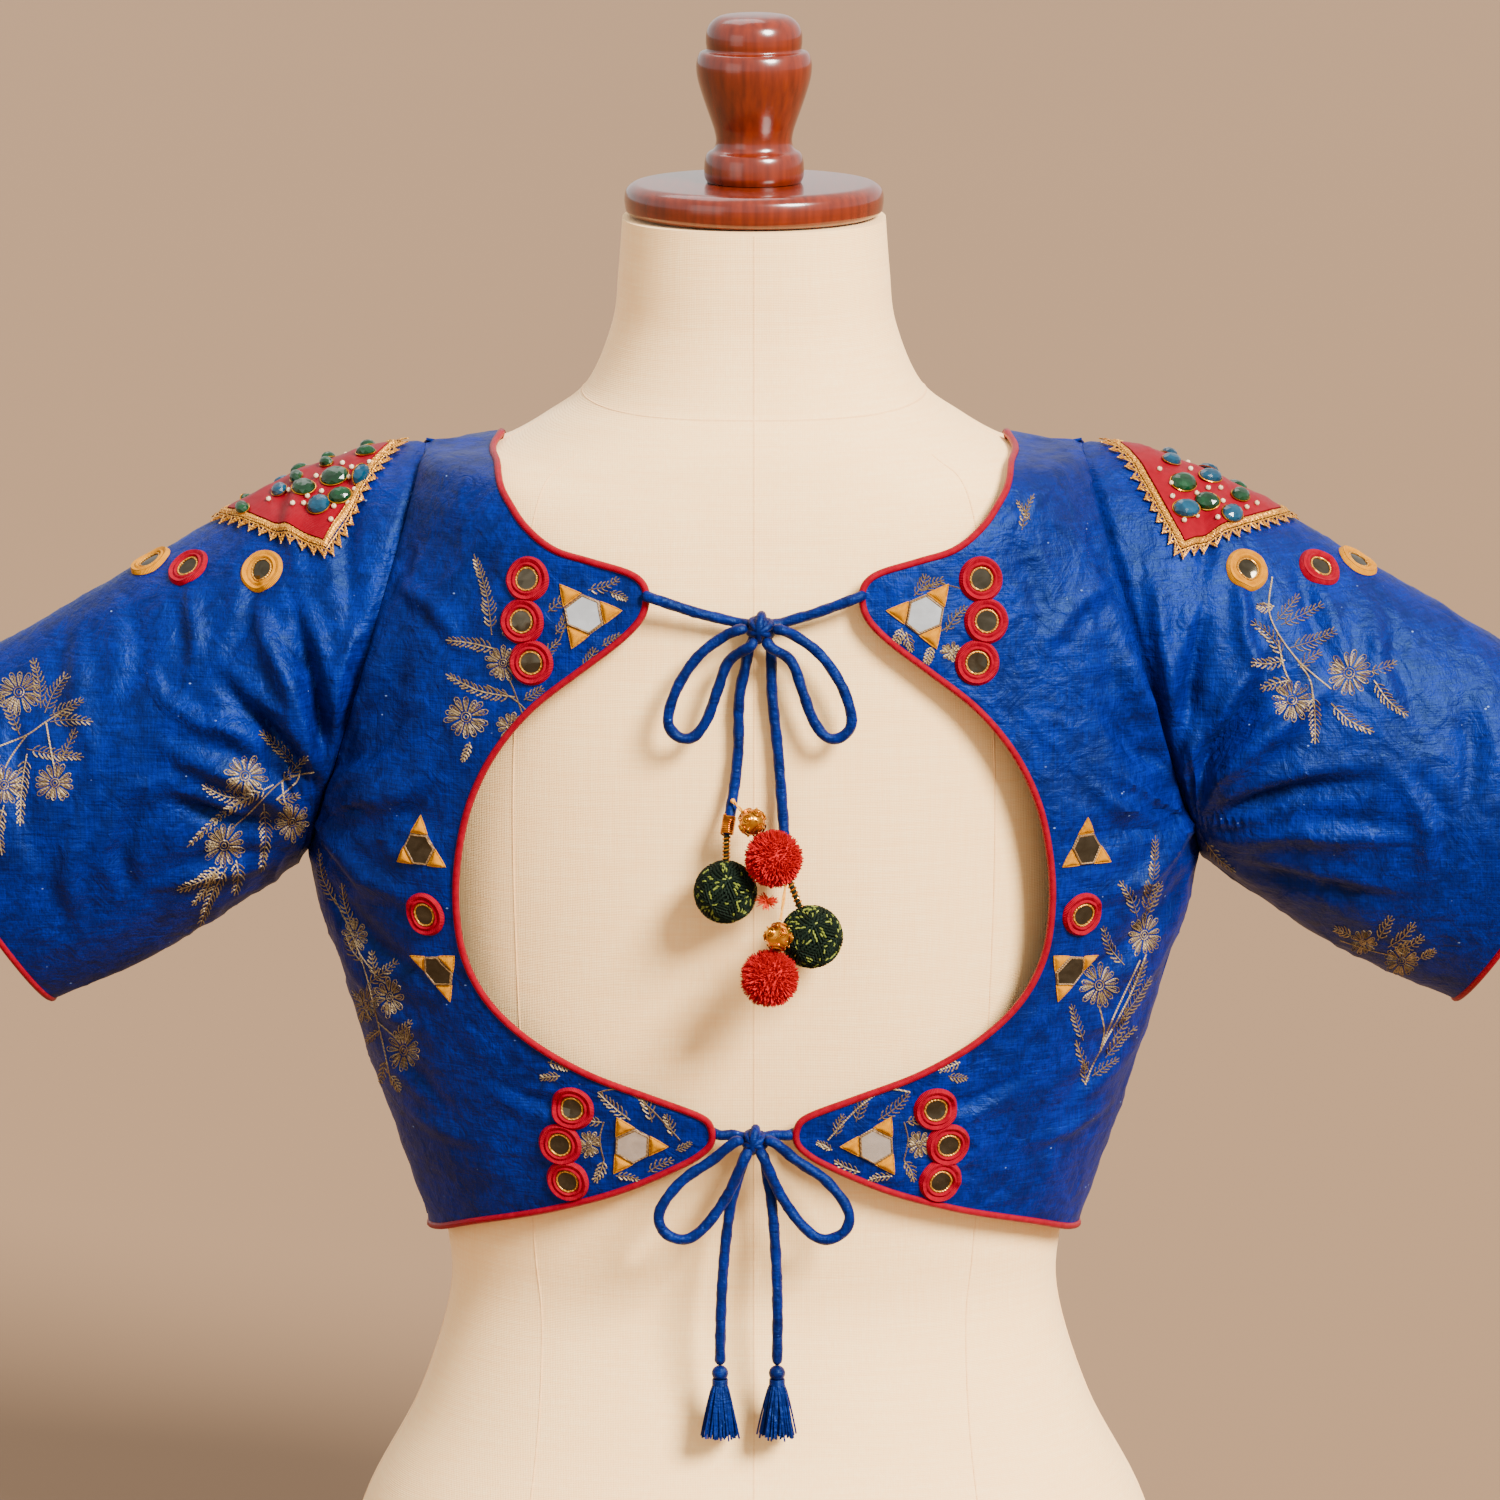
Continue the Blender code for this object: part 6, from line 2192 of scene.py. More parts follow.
CUFF_SPRAY = Motif(
    ((19, 692, 23, 1.0), (55, 783, 20, 1.0), (4, 785, 20, 1.0)),
    ((41, 708, 33, 658, 9), (45, 713, 68, 674, 10), (50, 722, 93, 722, 9), (27, 749, 84, 757, 9),
     (27, 754, 20, 826, 9),
     (50, 716, 84, 699, 8), (4, 805, 2, 855, 8), (20, 735, -6, 690, 8), (0, 745, -30, 800, 9),
     (60, 762, 76, 728, 7)),
    (((68, 708), (46, 722), (27, 735), (0, 746)), ((46, 722), (50, 745), (54, 766)), ((27, 735),
                                                                                      (12, 755), (5, 768))),
)
ARMPIT_SPRAY = Motif(
    ((245, 776, 22, 1.0), (224, 845, 22, 1.05), (292, 822, 18, 1.15)),
    ((295, 765, 259, 731, 9), (252, 798, 202, 785, 9), (273, 785, 187, 847, 7), (264, 804, 261, 872, 9),
     (222, 866, 177, 890, 9), (227, 867, 200, 926, 9), (236, 860, 234, 895, 9), (282, 781, 308, 756, 7),
     (276, 800, 300, 795, 7), (216, 868, 192, 905, 7)),
    (((314, 772), (282, 781), (250, 812), (232, 828)), ((282, 781), (284, 800), (288, 808)),
     ((300, 770), (296, 782), (276, 800))),
)
SHOULDER_SPRAY = Motif(
    ((1349, 673, 24, 1.0), (1292, 700, 21, 1.0)),
    ((1276, 621, 1299, 594, 8), (1281, 625, 1324, 604, 9), (1290, 648, 1337, 630, 10),
     (1283, 657, 1251, 621, 9),
     (1285, 660, 1251, 662, 9), (1290, 680, 1260, 689, 8), (1374, 680, 1408, 716, 9),
     (1370, 672, 1397, 661, 8),
     (1331, 703, 1374, 732, 9), (1313, 694, 1315, 744, 9), (1274, 606, 1256, 606, 7),
     (1300, 668, 1322, 652, 8)),
    (((1272, 577), (1270, 616), (1295, 657), (1331, 689)), ((1278, 640), (1284, 668), (1290, 682)),
     ((1295, 657), (1310, 680), (1313, 700))),
)
APEX_SPRAY = Motif(
    ((503, 663, 18, 1.0), (466, 717, 22, 1.0), (512, 626, 12, 1.0), (510, 726, 14, 1.0)),
    ((492, 635, 474, 554, 9), (496, 649, 446, 640, 9), (515, 697, 446, 674, 9), (540, 668, 560, 640, 8),
     (548, 612, 572, 596, 8), (588, 590, 620, 578, 7), (583, 668, 596, 648, 8), (602, 646, 622, 634, 7),
     (537, 722, 500, 744, 8), (470, 742, 462, 762, 6), (556, 634, 566, 612, 7), (524, 700, 544, 688, 7),
     (500, 745, 506, 762, 6), (610, 592, 628, 600, 6)),
    (((537, 722), (515, 700), (487, 685)), ((530, 735), (514, 690), (508, 678)), ((560, 640), (568, 622),
                                                                                  (590, 600))),
)
SIDE_SPRAY = Motif(
    ((355, 935, 12, 1.4), (390, 997, 15, 1.4), (366, 1004, 14, 1.4), (404, 1050, 17, 1.35)),
    ((337, 905, 319, 849, 7), (354, 928, 342, 883, 7), (368, 984, 398, 960, 8), (362, 962, 346, 934, 7),
     (380, 1030, 366, 1042, 6), (386, 1060, 380, 1085, 6), (376, 976, 372, 950, 7),
     (372, 1020, 352, 990, 7),
     (396, 1040, 412, 1020, 7), (390, 1075, 400, 1092, 6)),
    (((335, 899), (360, 954), (378, 1022), (392, 1085)), ((360, 954), (376, 975), (388, 985)),
     ((378, 1022), (392, 1034), (400, 1042))),
)
FAR_SIDE_SPRAY = Motif(
    ((1144, 935, 17, 1.25), (1099, 985, 20, 1.15)),
    ((1144, 917, 1155, 835, 9), (1137, 917, 1119, 881, 8), (1147, 915, 1162, 881, 7),
     (1124, 965, 1103, 926, 8),
     (1083, 1040, 1071, 1004, 7), (1119, 1022, 1151, 976, 8), (1105, 1058, 1137, 1026, 7),
     (1092, 1076, 1119, 1058, 7),
     (1128, 999, 1146, 958, 7), (1088, 1070, 1076, 1040, 6), (1112, 1040, 1128, 1004, 7),
     (1086, 1085, 1084, 1060, 6)),
    (((1146, 954), (1128, 999), (1096, 1058), (1085, 1085)), ((1140, 960), (1112, 1020), (1100, 1052)),
     ((1099, 1006), (1104, 1030), (1100, 1050))),
)
LOW_SPRAY = Motif(
    ((589, 1144, 12, 1.1),),
    ((548, 1062, 570, 1070, 7), (630, 1120, 598, 1092, 8), (652, 1122, 640, 1096, 8),
     (672, 1136, 664, 1114, 7),
     (676, 1150, 692, 1142, 5), (648, 1172, 674, 1160, 7), (604, 1160, 594, 1182, 7),
     (616, 1176, 640, 1180, 6),
     (602, 1122, 580, 1116, 7), (560, 1076, 540, 1078, 6)),
    (((598, 1092), (622, 1090), (650, 1108), (680, 1140)), ((604, 1160), (600, 1140), (604, 1122))),
)
RIGHT_APEX_SPRAY = Motif(
    ((952, 652, 11, 0.9),),
    ((914, 596, 926, 574, 9), (924, 590, 944, 580, 8), (946, 632, 968, 606, 8), (902, 628, 894, 646, 7),
     (906, 632, 912, 652, 7), (1022, 530, 1034, 494, 6), (932, 646, 926, 664, 7),
     (1030, 520, 1016, 500, 5)),
    (((920, 590), (940, 584), (966, 590)), ((930, 634), (946, 628), (958, 612))),
)
HEM_SPRAY = Motif(
    ((1363, 942, 14, 0.9), (1402, 961, 18, 0.9)),
    ((1388, 947, 1415, 922, 8), (1394, 950, 1424, 936, 8), (1378, 940, 1392, 916, 8),
     (1352, 936, 1334, 928, 7),
     (1206, 842, 1236, 872, 6), (1420, 958, 1436, 950, 6)),
    (((1340, 940), (1370, 950), (1392, 955)),),
)


class Sprays:
    """Fine gold outline sprays on the silk: blossoms, fronds and stems."""
    LINE = 0.00033
    RISE = 0.00012

    def __init__(self, name: str, seat: Seat, facing: Facing) -> None:
        """Starts the sprays of one panel.

        Args:
            name: Name of the piece.
            seat: The panel.
            facing: Side that it is seen from.
        """
        self.builder = MeshBuilder(name, [SPRAY_GOLD])
        self.seat = seat
        self.view = View(facing)
        self.dice = random.Random(name)

    def line(self, route: Sequence[Place], thin: float = 1.0) -> None:
        """Lays one thread through places of the frame.

        Args:
            route: Places in pixels.
            thin: Share of the usual thickness.
        """
        points = []
        for across, down in route:
            origin, direction = self.view.ray(across, down)
            point, normal, _, _ = self.seat.tree.ray_cast(origin, direction)
            if point is None:
                continue
            if normal.dot(direction) > 0:
                normal = -normal
            points.append(point + normal * self.RISE)
        clear = [p for k, p in enumerate(points) if k == 0 or (p - points[k - 1]).length > 0.0002]
        if len(clear) > 2 and max((b - a).length for a, b in zip(clear, clear[1:])) < 0.012:
            self.builder.tube(clear, self.LINE * thin, 3)

    def blossom(self, across: float, down: float, size: float, petals: int = 15, squash: float = 1.0,
                turn: float = 0.0) -> None:
        """Draws an open blossom of outlined double petals.

        Args:
            across: Middle, pixels from the left.
            down: Middle, pixels from the top.
            size: Radius in pixels.
            petals: Number of petals.
            squash: Height over width.
            turn: Tilt of its long axis.
        """
        def place(radius: float, angle: float) -> Place:
            """Gives a pixel of the blossom from its angle and distance."""
            x, y = radius * math.cos(angle), radius * math.sin(angle) * squash
            return (across + x * math.cos(turn) - y * math.sin(turn),
                    down + x * math.sin(turn) + y * math.cos(turn))

        step = math.tau / petals
        for k in range(petals):
            angle = k * step + self.dice.uniform(-0.08, 0.08)
            reach = size * self.dice.uniform(0.86, 1.08)
            for inner, outer, half in ((0.30, 1.0, 0.40), (0.36, 0.84, 0.20)):
                route = []
                for j in range(11):
                    t = math.tau * j / 10
                    radius = reach * (inner + (outer - inner) * (0.5 - 0.5 * math.cos(t)))
                    swing = math.sin(t) * half * step * (0.55 + 0.45 * radius / reach)
                    route.append(place(radius, angle + swing))
                self.line(route, 0.8)
        for radius in (0.10, 0.22):
            self.line([place(size * radius, math.tau * j / 10) for j in range(11)])

    def frond(self, route: Sequence[Place], leaf: float, pairs: int = 12) -> None:
        """Draws a ferny frond.

        Args:
            route: Its middle line in pixels, from foot to tip.
            leaf: Longest leaflet in pixels.
            pairs: Pairs of leaflets.
        """
        spine = self.spine(route)
        self.line(spine[::3] + spine[-1:])
        for k in range(pairs):
            share = 0.12 + 0.86 * k / pairs
            index = min(38, int(share * 39))
            here, ahead = spine[index], spine[index + 1]
            heading = math.atan2(ahead[1] - here[1], ahead[0] - here[0])
            length = leaf * 1.35 * (1 - 0.60 * share) * self.dice.uniform(0.85, 1.1)
            length *= min(1.0, 0.5 + share * 2)
            for sign in (-1, 1):
                angle = heading + sign * (0.80 - 0.20 * share)
                line = []
                for j in range(5):
                    t = 0.14 + 0.86 * j / 4
                    wide = math.sin(math.pi * t) * length * 0.10 * sign
                    x = here[0] + math.cos(angle) * length * t - math.sin(angle) * wide
                    y = here[1] + math.sin(angle) * length * t + math.cos(angle) * wide
                    line.append((x, y))
                self.line(line, 1.15)

    def spine(self, route: Sequence[Place]) -> list[Place]:
        """Smooths a route of places in pixels."""
        return [(p.x, p.y) for p in smooth_route([(x, y, 0) for x, y in route], 40)]

    def stem(self, route: Sequence[Place]) -> None:
        """Draws a curved stem of one thread."""
        self.line(self.spine(route), 1.2)

    def motif(self, motif: "Motif", shift: Place = (0.0, 0.0), flip: bool = False) -> None:
        """Draws a whole spray.

        Args:
            motif: What it consists of.
            shift: How far it is moved, in pixels.
            flip: Mirrors it about the garment's middle first.
        """
        def put(across: float, down: float) -> Place:
            """Moves a pixel of the motif to its place on the panel."""
            return (2 * Motif.MIDDLE - across if flip else across) + shift[0], down + shift[1]

        for across, down, size, squash in motif.blossoms:
            petals = 14 if size > 15 else 11
            self.blossom(*put(across, down), size, petals, squash, self.dice.uniform(-0.3, 0.3))
        for foot_x, foot_y, tip_x, tip_y, leaf in motif.fronds:
            foot, tip = put(foot_x, foot_y), put(tip_x, tip_y)
            bow = self.dice.uniform(-0.10, 0.10)
            right, down = tip[0] - foot[0], tip[1] - foot[1]
            bend = ((foot[0] + tip[0]) / 2 + down * bow, (foot[1] + tip[1]) / 2 - right * bow)
            length = math.hypot(right, down)
            self.frond([foot, bend, tip], leaf, max(5, int(length / 5.4)))
        for route in motif.stems:
            self.stem([put(*spot) for spot in route])

    def build(self) -> Piece | None:
        """Makes the piece.

        Returns:
            The piece, or None where no thread met the cloth.
        """
        if not self.builder.points:
            return None
        return self.builder.stand_in("silk", closed=False)


# Ties


class Bow(NamedTuple):
    """A cord tied in a bow: where its knot and its free ends lie."""
    name: str
    knot: tuple
    knot_size: tuple
    span_end: tuple
    loop: list
    tails: dict


UPPER_BOW = Bow(
    "upper", (.0025, -.1138, .5263), (.0063, .0060, .0072), (.0435, -.1115, .5385),
    [(-.0135, -.1160, .5225), (-.0235, -.1168, .5150), (-.0315, -.1174, .5040), (-.0362, -.1178, .4930),
     (-.0372, -.1180, .4840), (-.0325, -.1180, .4785), (-.0262, -.1178, .4788), (-.0205, -.1176, .4865),
     (-.0160, -.1174, .4990), (-.0110, -.1168, .5120)],
    {Side.LEFT: [(-.0065, -.1112, .4940), (-.0070, -.1118, .4700), (-.0095, -.1150, .4500),
                 (-.0120, -.1215, .4360)],
     Side.RIGHT: [(.0080, -.1112, .4940), (.0105, -.1118, .4700), (.0128, -.1140, .4400),
                  (.0148, -.1175, .4165)]},
)
LOWER_BOW = Bow(
    "lower", (.0000, -.1035, .2950), (.0055, .0058, .0068), (.0157, -.1005, .2965),
    [(-.0190, -.1060, .2860), (-.0320, -.1070, .2770), (-.0415, -.1075, .2640), (-.0400, -.1075, .2545),
     (-.0310, -.1070, .2505), (-.0220, -.1065, .2560), (-.0120, -.1060, .2700)],
    {Side.LEFT: [(-.0105, -.1018, .2640), (-.0133, -.1015, .2400), (-.0146, -.1025, .2180),
                 (-.0151, -.1035, .1925)],
     Side.RIGHT: [(.0080, -.1018, .2640), (.0097, -.1015, .2400), (.0104, -.1025, .2180),
                  (.0102, -.1035, .1925)]},
)


class SilkCord:
    """A limp cord covered with a bias strip of silk, which wrinkles slantwise."""
    SIDES = 14
    STEP = 0.0011
    SAG = 0.02

    def __init__(self, name: str, nodes: Sequence[str], route: Sequence) -> None:
        """Lays the cord's middle line.

        Args:
            name: Name of the piece.
            nodes: Nodes that it replaces.
            route: Points that it runs through.
        """
        self.name = name
        self.nodes = nodes
        rough = smooth_route(route, 60)
        self.path = smooth_route(route, max(20, int(path_length(rough) / self.STEP)))

    def build(self) -> Piece:
        """Makes the cord.

        Returns:
            The piece.
        """
        builder = MeshBuilder(self.name, [CORD_SILK])
        count = len(self.path)
        up = None
        points, uvs = [], []
        for i, point in enumerate(self.path):
            along = (self.path[min(count - 1, i + 1)] - self.path[max(0, i - 1)]).normalized()
            up = along.orthogonal() if up is None else up
            up = (up - along * up.dot(along)).normalized()
            across = along.cross(up)
            for k in range(self.SIDES):
                turn = math.tau * k / self.SIDES
                way = spin(up, across, turn)
                slant = math.sin(turn * 2 + i * 0.62) * 0.00010
                pucker = noise.noise((point + way * 0.004) * 420) * 0.00022
                ends = math.sqrt(min(1.0, (min(i, count - 1 - i) + 0.35) / 1.6))
                points.append(point + way * ((CORD_RADIUS + slant + pucker) * ends))
                uvs.append((i * 1.0, k / self.SIDES))
        builder.add(points, tube_faces(count, self.SIDES), 0, uvs)
        return builder.stand_in("cord", *self.nodes)


@dataclass
class BowTie:
    """One tied bow: its spans from the apexes, its wrapped knot, its loops and its tails."""
    TUCK = (0.0042, 0.0035, 0.0010)
    bow: Bow
    ends: dict

    def leave(self, direction: tuple) -> list:
        """First two points of a cord that leaves the knot.

        Args:
            direction: Way that it leaves.

        Returns:
            The points.
        """
        way = Vector(direction).normalized()
        radius = 1 / math.sqrt(sum((w / s) ** 2 for w, s in zip(way, self.bow.knot_size)))
        start = Vector(self.bow.knot) + way * (radius + 2 * SEAM)
        return [tuple(start), tuple(start + way * CORD_RADIUS * 1.6)]

    def knot(self) -> Piece:
        """Makes the knot, an overhand wrap with one band lying upright over it.

        Returns:
            The piece.
        """
        middle, size = Vector(self.bow.knot), Vector(self.bow.knot_size)
        builder = MeshBuilder(f"silk_{self.bow.name}_knot", [CORD_SILK])
        builder.ball(middle, size * 0.80, 12)
        turns = (((0.10, 1.0, 0.0), (0.12, 0.0, 1.0), 0.0021, 0.0),
                 ((0.95, 0.25, 0.45), (-0.25, 1.0, 0.2), 0.0018, 0.0),
                 ((0.95, 0.25, -0.50), (0.25, 1.0, 0.2), 0.0017, 0.0008))
        for first, second, thick, shift in turns:
            a, b = Vector(first).normalized(), Vector(second).normalized()
            b = (b - a * b.dot(a)).normalized()
            route = []
            for k in range(30):
                turn = math.tau * k / 30
                way = spin(a, b, turn)
                reach = 1 / math.sqrt(sum((w / s) ** 2 for w, s in zip(way, size)))
                route.append(middle + way * (reach - thick * 0.85) + Vector((shift, 0, 0)))
            builder.tube(route, thick, 10, closed=True)
        return builder.stand_in("cord", f"{self.bow.name}_knot")

    def build(self) -> None:
        """Makes all cords of the bow."""
        bow, knot = self.bow, self.knot()
        for side in Side:
            sign = side.value
            end = Vector((sign * bow.span_end[0], bow.span_end[1], bow.span_end[2]))
            tucked = end + Vector((sign * self.TUCK[0], self.TUCK[1], self.TUCK[2]))
            leave = self.leave((sign * 0.94, 0.30, 0.15))
            middle = Vector(leave[1]).lerp(end, 0.5) - Vector((0, 0, SilkCord.SAG * abs(end.x - leave[1][0])))
            down = self.leave((sign * 0.42, 0.30, -0.86))
            inside = Vector(bow.knot) + Vector((sign * 0.0016, 0.0006, 0.0004))
            nearing = middle.lerp(Vector(leave[1]), 0.62)
            falling = Vector(down[1]).lerp(Vector(bow.tails[side][0]), 0.36)
            route = [tuple(tucked), tuple(end), tuple(middle), tuple(nearing), leave[1], leave[0],
                     tuple(inside), *down, tuple(falling), *bow.tails[side]]
            run = SilkCord(f"silk_{bow.name}_cord_{side.word}",
                           [f"{bow.name}_span_{side.word}", f"{bow.name}_tail_{side.word}"], route)
            run.build()
            loop = [(bow.knot[0] - sign * (x - bow.knot[0]), y, z) for x, y, z in bow.loop]
            out, back = self.leave((sign * 0.86, -0.45, -0.02)), self.leave((sign * 0.40, -0.62, -0.67))[::-1]
            looped = SilkCord(f"silk_{bow.name}_loop_{side.word}", [f"{bow.name}_loop_{side.word}"],
                              out + loop + back)
            looped.build()


@dataclass
class TieEnds:
    """What hangs from the tails: gilt beads, pompoms and wound balls above, tassels below."""
    bead_radius: float = 0.0066
    pompom_radius: float = 0.0126
    ball_radius: float = 0.0140
    tassel_length: float = 0.0340
    beads: dict = field(default_factory=lambda: {
        Side.LEFT: ((-.0093, -.1186, .4505), (-.0008, -.1262, .4425), (.0092, -.1325, .4262)),
        Side.RIGHT: ((.0146, -.1206, .4200), (.0105, -.1375, .3940), (.0062, -.1385, .3735))})
    balls: dict = field(default_factory=lambda: {
        Side.LEFT: ((-.0120, -.1215, .4360), (-.0125, -.1235, .4110)),
        Side.RIGHT: ((.0148, -.1175, .4165), (.0250, -.1235, .3910))})

    def bead(self, side: Side, start: Vector, middle: Vector) -> Piece:
        """Makes a filigree bead on its thread.

        Args:
            side: Which tail it hangs from.
            start: Where its thread leaves the tail.
            middle: Its middle.

        Returns:
            The piece.
        """
        builder = MeshBuilder(f"filigree_bead_{side.word}", [BEAD_GOLD, ORANGE_THREAD])
        radius = self.bead_radius
        builder.ball(middle, radius * 0.86, 10)
        axis = (middle - start).normalized()
        first = axis.orthogonal().normalized()
        second = axis.cross(first)

        def put(tilt: float, turn: float, size: float) -> Vector:
            """Gives a place on the bead's ball."""
            return middle + spin(axis, spin(first, second, turn), tilt) * size

        for tilt in (0.35, 0.62, 2.52, 2.79):
            ring = [put(tilt, math.tau * k / 24, radius * 0.93) for k in range(24)]
            builder.tube(ring, 0.00038, 5, closed=True)
        for k in range(6):
            centre = math.pi * k / 3
            for ring in (0.34, 0.17):
                loop = [put(math.pi / 2 + ring * math.cos(t), centre + ring * math.sin(t), radius * 0.93)
                        for t in (math.tau * j / 16 for j in range(16))]
                builder.tube(loop, 0.00036, 5, closed=True)
            builder.ball(put(math.pi / 2, centre, radius * 0.96), 0.0006, 4)
            for tilt in (1.05, 2.09):
                builder.ball(put(tilt, centre + math.pi / 6, radius * 0.95), 0.00055, 4)
        for ply in (-1, 1):
            line = [start.lerp(middle, k / 16) + spin(first, second, 9 * k / 16) * (0.0004 * ply)
                    for k in range(13)]
            builder.tube(line, 0.00042, 5, 1)
        builder.ball(start, 0.0011, 5, 1)
        return builder.stand_in("gold_filigree", f"bead_{side.word}")

    def pompom(self, side: Side, middle: Vector) -> Piece:
        """Makes a ball of cut yarn.

        Args:
            side: Which tail it hangs from.
            middle: Its middle.

        Returns:
            The piece.
        """
        builder = MeshBuilder(f"wool_pompom_{side.word}", [RED_YARN])
        dice = random.Random(31 + side.value)
        builder.ball(middle, self.pompom_radius * 0.80, 10)
        count = 1700
        for k in range(count):
            way = scattered(k, count)
            lean = (way + Vector([dice.uniform(-0.35, 0.35) for _ in range(3)])).normalized()
            root = middle + way * self.pompom_radius * 0.72
            reach = self.pompom_radius * dice.uniform(0.22, 0.34)
            hair = [root, root + lean * reach * 0.6, root + lean * reach]
            builder.tube(hair, lambda share: 0.00042 * (1 - 0.45 * share), 3)
        return builder.stand_in("red_yarn", f"pompom_{side.word}", closed=False)

    def ball(self, side: Side, top: Vector, middle: Vector) -> Piece:
        """Makes a dark ball covered with rows of short threads and rosettes.

        Args:
            side: Which tail it hangs from.
            top: End of the tail.
            middle: Its middle.

        Returns:
            The piece.
        """
        builder = MeshBuilder(f"wound_ball_{side.word}", [GREEN_YARN, LIME_THREAD, BEAD_GOLD])
        dice = random.Random(77 + side.value)
        radius = self.ball_radius
        builder.ball(middle, radius * 0.90, 14)
        spots = [scattered(k, 12) for k in range(12)]
        count = 900
        for k in range(count):
            way = scattered(k, count, 0.5)
            near = max(spots, key=way.dot)
            away = (way - near * way.dot(near)).normalized()
            gap = math.acos(max(-1.0, min(1.0, way.dot(near))))
            length = radius * dice.uniform(0.07, 0.10)
            lime = int(gap * 14) % 2 == 1 and dice.random() < 0.42
            line = [middle + (way + away * (s * length / radius)).normalized() * radius * h
                    for s, h in ((-1, 0.90), (-0.5, 0.965), (0.5, 0.965), (1, 0.90))]
            builder.tube(line, 0.00040 if lime else 0.00054, 4, 1 if lime else 0)
        for spot in spots:
            builder.ball(middle + spot * radius * 0.93, 0.0010, 4, 0)
        along = (middle - top).normalized()
        reach = (middle - top).length - radius * 0.88
        first = along.orthogonal().normalized()
        second = along.cross(first)
        wire = []
        for k in range(90):
            turn = math.tau * k / 12
            wire.append(top + along * (reach * k / 89) + spin(first, second, turn) * 0.0015)
        builder.tube(wire, 0.00045, 5, 2)
        builder.tube([top, top + along * reach], 0.0012, 8, 0)
        return builder.stand_in("green_yarn", f"ball_{side.word}", closed=False)

    def tassel(self, side: Side, top: Vector) -> Piece:
        """Makes a tassel of silk threads.

        Args:
            side: Which tail it hangs from.
            top: Its top.

        Returns:
            The piece.
        """
        builder = MeshBuilder(f"silk_tassel_{side.word}", [CORD_SILK])
        dice = random.Random(5 + side.value)
        builder.ball(top - Vector((0, 0, 0.0036)), Vector((0.0037, 0.0037, 0.0036)), 12)
        for k in range(5):
            ring = [top + Vector((0.0032 * math.cos(t), 0.0032 * math.sin(t), -0.0066 - 0.00055 * k))
                    for t in (math.tau * j / 20 for j in range(20))]
            builder.tube(ring, 0.00042, 5, closed=True)
        for k in range(120):
            turn = k * GOLDEN_TURN
            rank = math.sqrt((k + 0.5) / 120)
            spread = 0.0088 * rank * dice.uniform(0.88, 1.05)
            drop = self.tassel_length - 0.0007 - dice.uniform(0, 0.0028)
            bend = dice.uniform(-0.25, 0.25)
            line = []
            for s in (0.0, 0.18, 0.4, 0.65, 0.85, 1.0):
                reach = 0.0026 * rank + (spread - 0.0026 * rank) * s ** 0.75
                angle = turn + bend * s
                line.append(top + Vector((reach * math.cos(angle), reach * math.sin(angle),
                                          -0.0075 - (drop - 0.0075) * s)))
            builder.tube(line, 0.00055, 4)
        return builder.stand_in("cord", f"tassel_{side.word}", closed=False)

    def wire_wrap(self, tail: Sequence) -> Piece:
        """Makes the gold wire wound round the left tail above its ball.

        Args:
            tail: The tail's own points.

        Returns:
            The piece.
        """
        builder = MeshBuilder("gold_wire_wrap", [BEAD_GOLD])
        start, end = Vector(tail[-1]).lerp(Vector(tail[-2]), 0.55), Vector(tail[-1])
        axis = (end - start).normalized()
        first = axis.orthogonal().normalized()
        second = axis.cross(first)
        line = []
        for k in range(150):
            turn = math.tau * k / 16
            line.append(start.lerp(end, 0.97 * k / 149) + spin(first, second, turn) * 0.0027)
        builder.tube(line, 0.00040, 5)
        return builder.stand_in("gold_filigree")

    def tuft(self, middle: Vector) -> Piece:
        """Makes the small orange tuft between the balls.

        Args:
            middle: Its middle.

        Returns:
            The piece.
        """
        builder = MeshBuilder("orange_tuft", [ORANGE_YARN])
        dice = random.Random(9)
        for _ in range(150):
            way = Vector([dice.gauss(0, 1) for _ in range(3)]).normalized()
            reach = dice.uniform(0.0022, 0.0044)
            tip = middle + Vector((way.x * reach * 1.3, way.y * reach, way.z * reach))
            hair = [middle, middle.lerp(tip, 0.6), tip]
            builder.tube(hair, lambda share: 0.00034 * (1 - 0.5 * share), 3)
        return builder.stand_in("red_yarn", closed=False)

    def upper(self) -> dict:
        """Makes all that hangs from the upper tails.

        Returns:
            The pieces of each side.
        """
        ends = {}
        for side in Side:
            start, bead, aim = (Vector(p) for p in self.beads[side])
            way = (aim - bead).normalized()
            pieces = [self.bead(side, start, bead),
                      self.pompom(side, bead + way * (self.bead_radius + self.pompom_radius * 0.95))]
            top, middle = (Vector(p) for p in self.balls[side])
            pieces.append(self.ball(side, top, middle))
            ends[side] = pieces
        ends[Side.LEFT].append(self.wire_wrap(UPPER_BOW.tails[Side.LEFT]))
        ends[Side.RIGHT].append(self.tuft(Vector((0.0056, -0.1290, 0.4080))))
        return ends

    def lower(self) -> dict:
        """Makes the two tassels."""
        seam = Vector((0, 0, SEAM))
        return {side: [self.tassel(side, Vector(LOWER_BOW.tails[side][-1]) - seam)] for side in Side}


# Studio


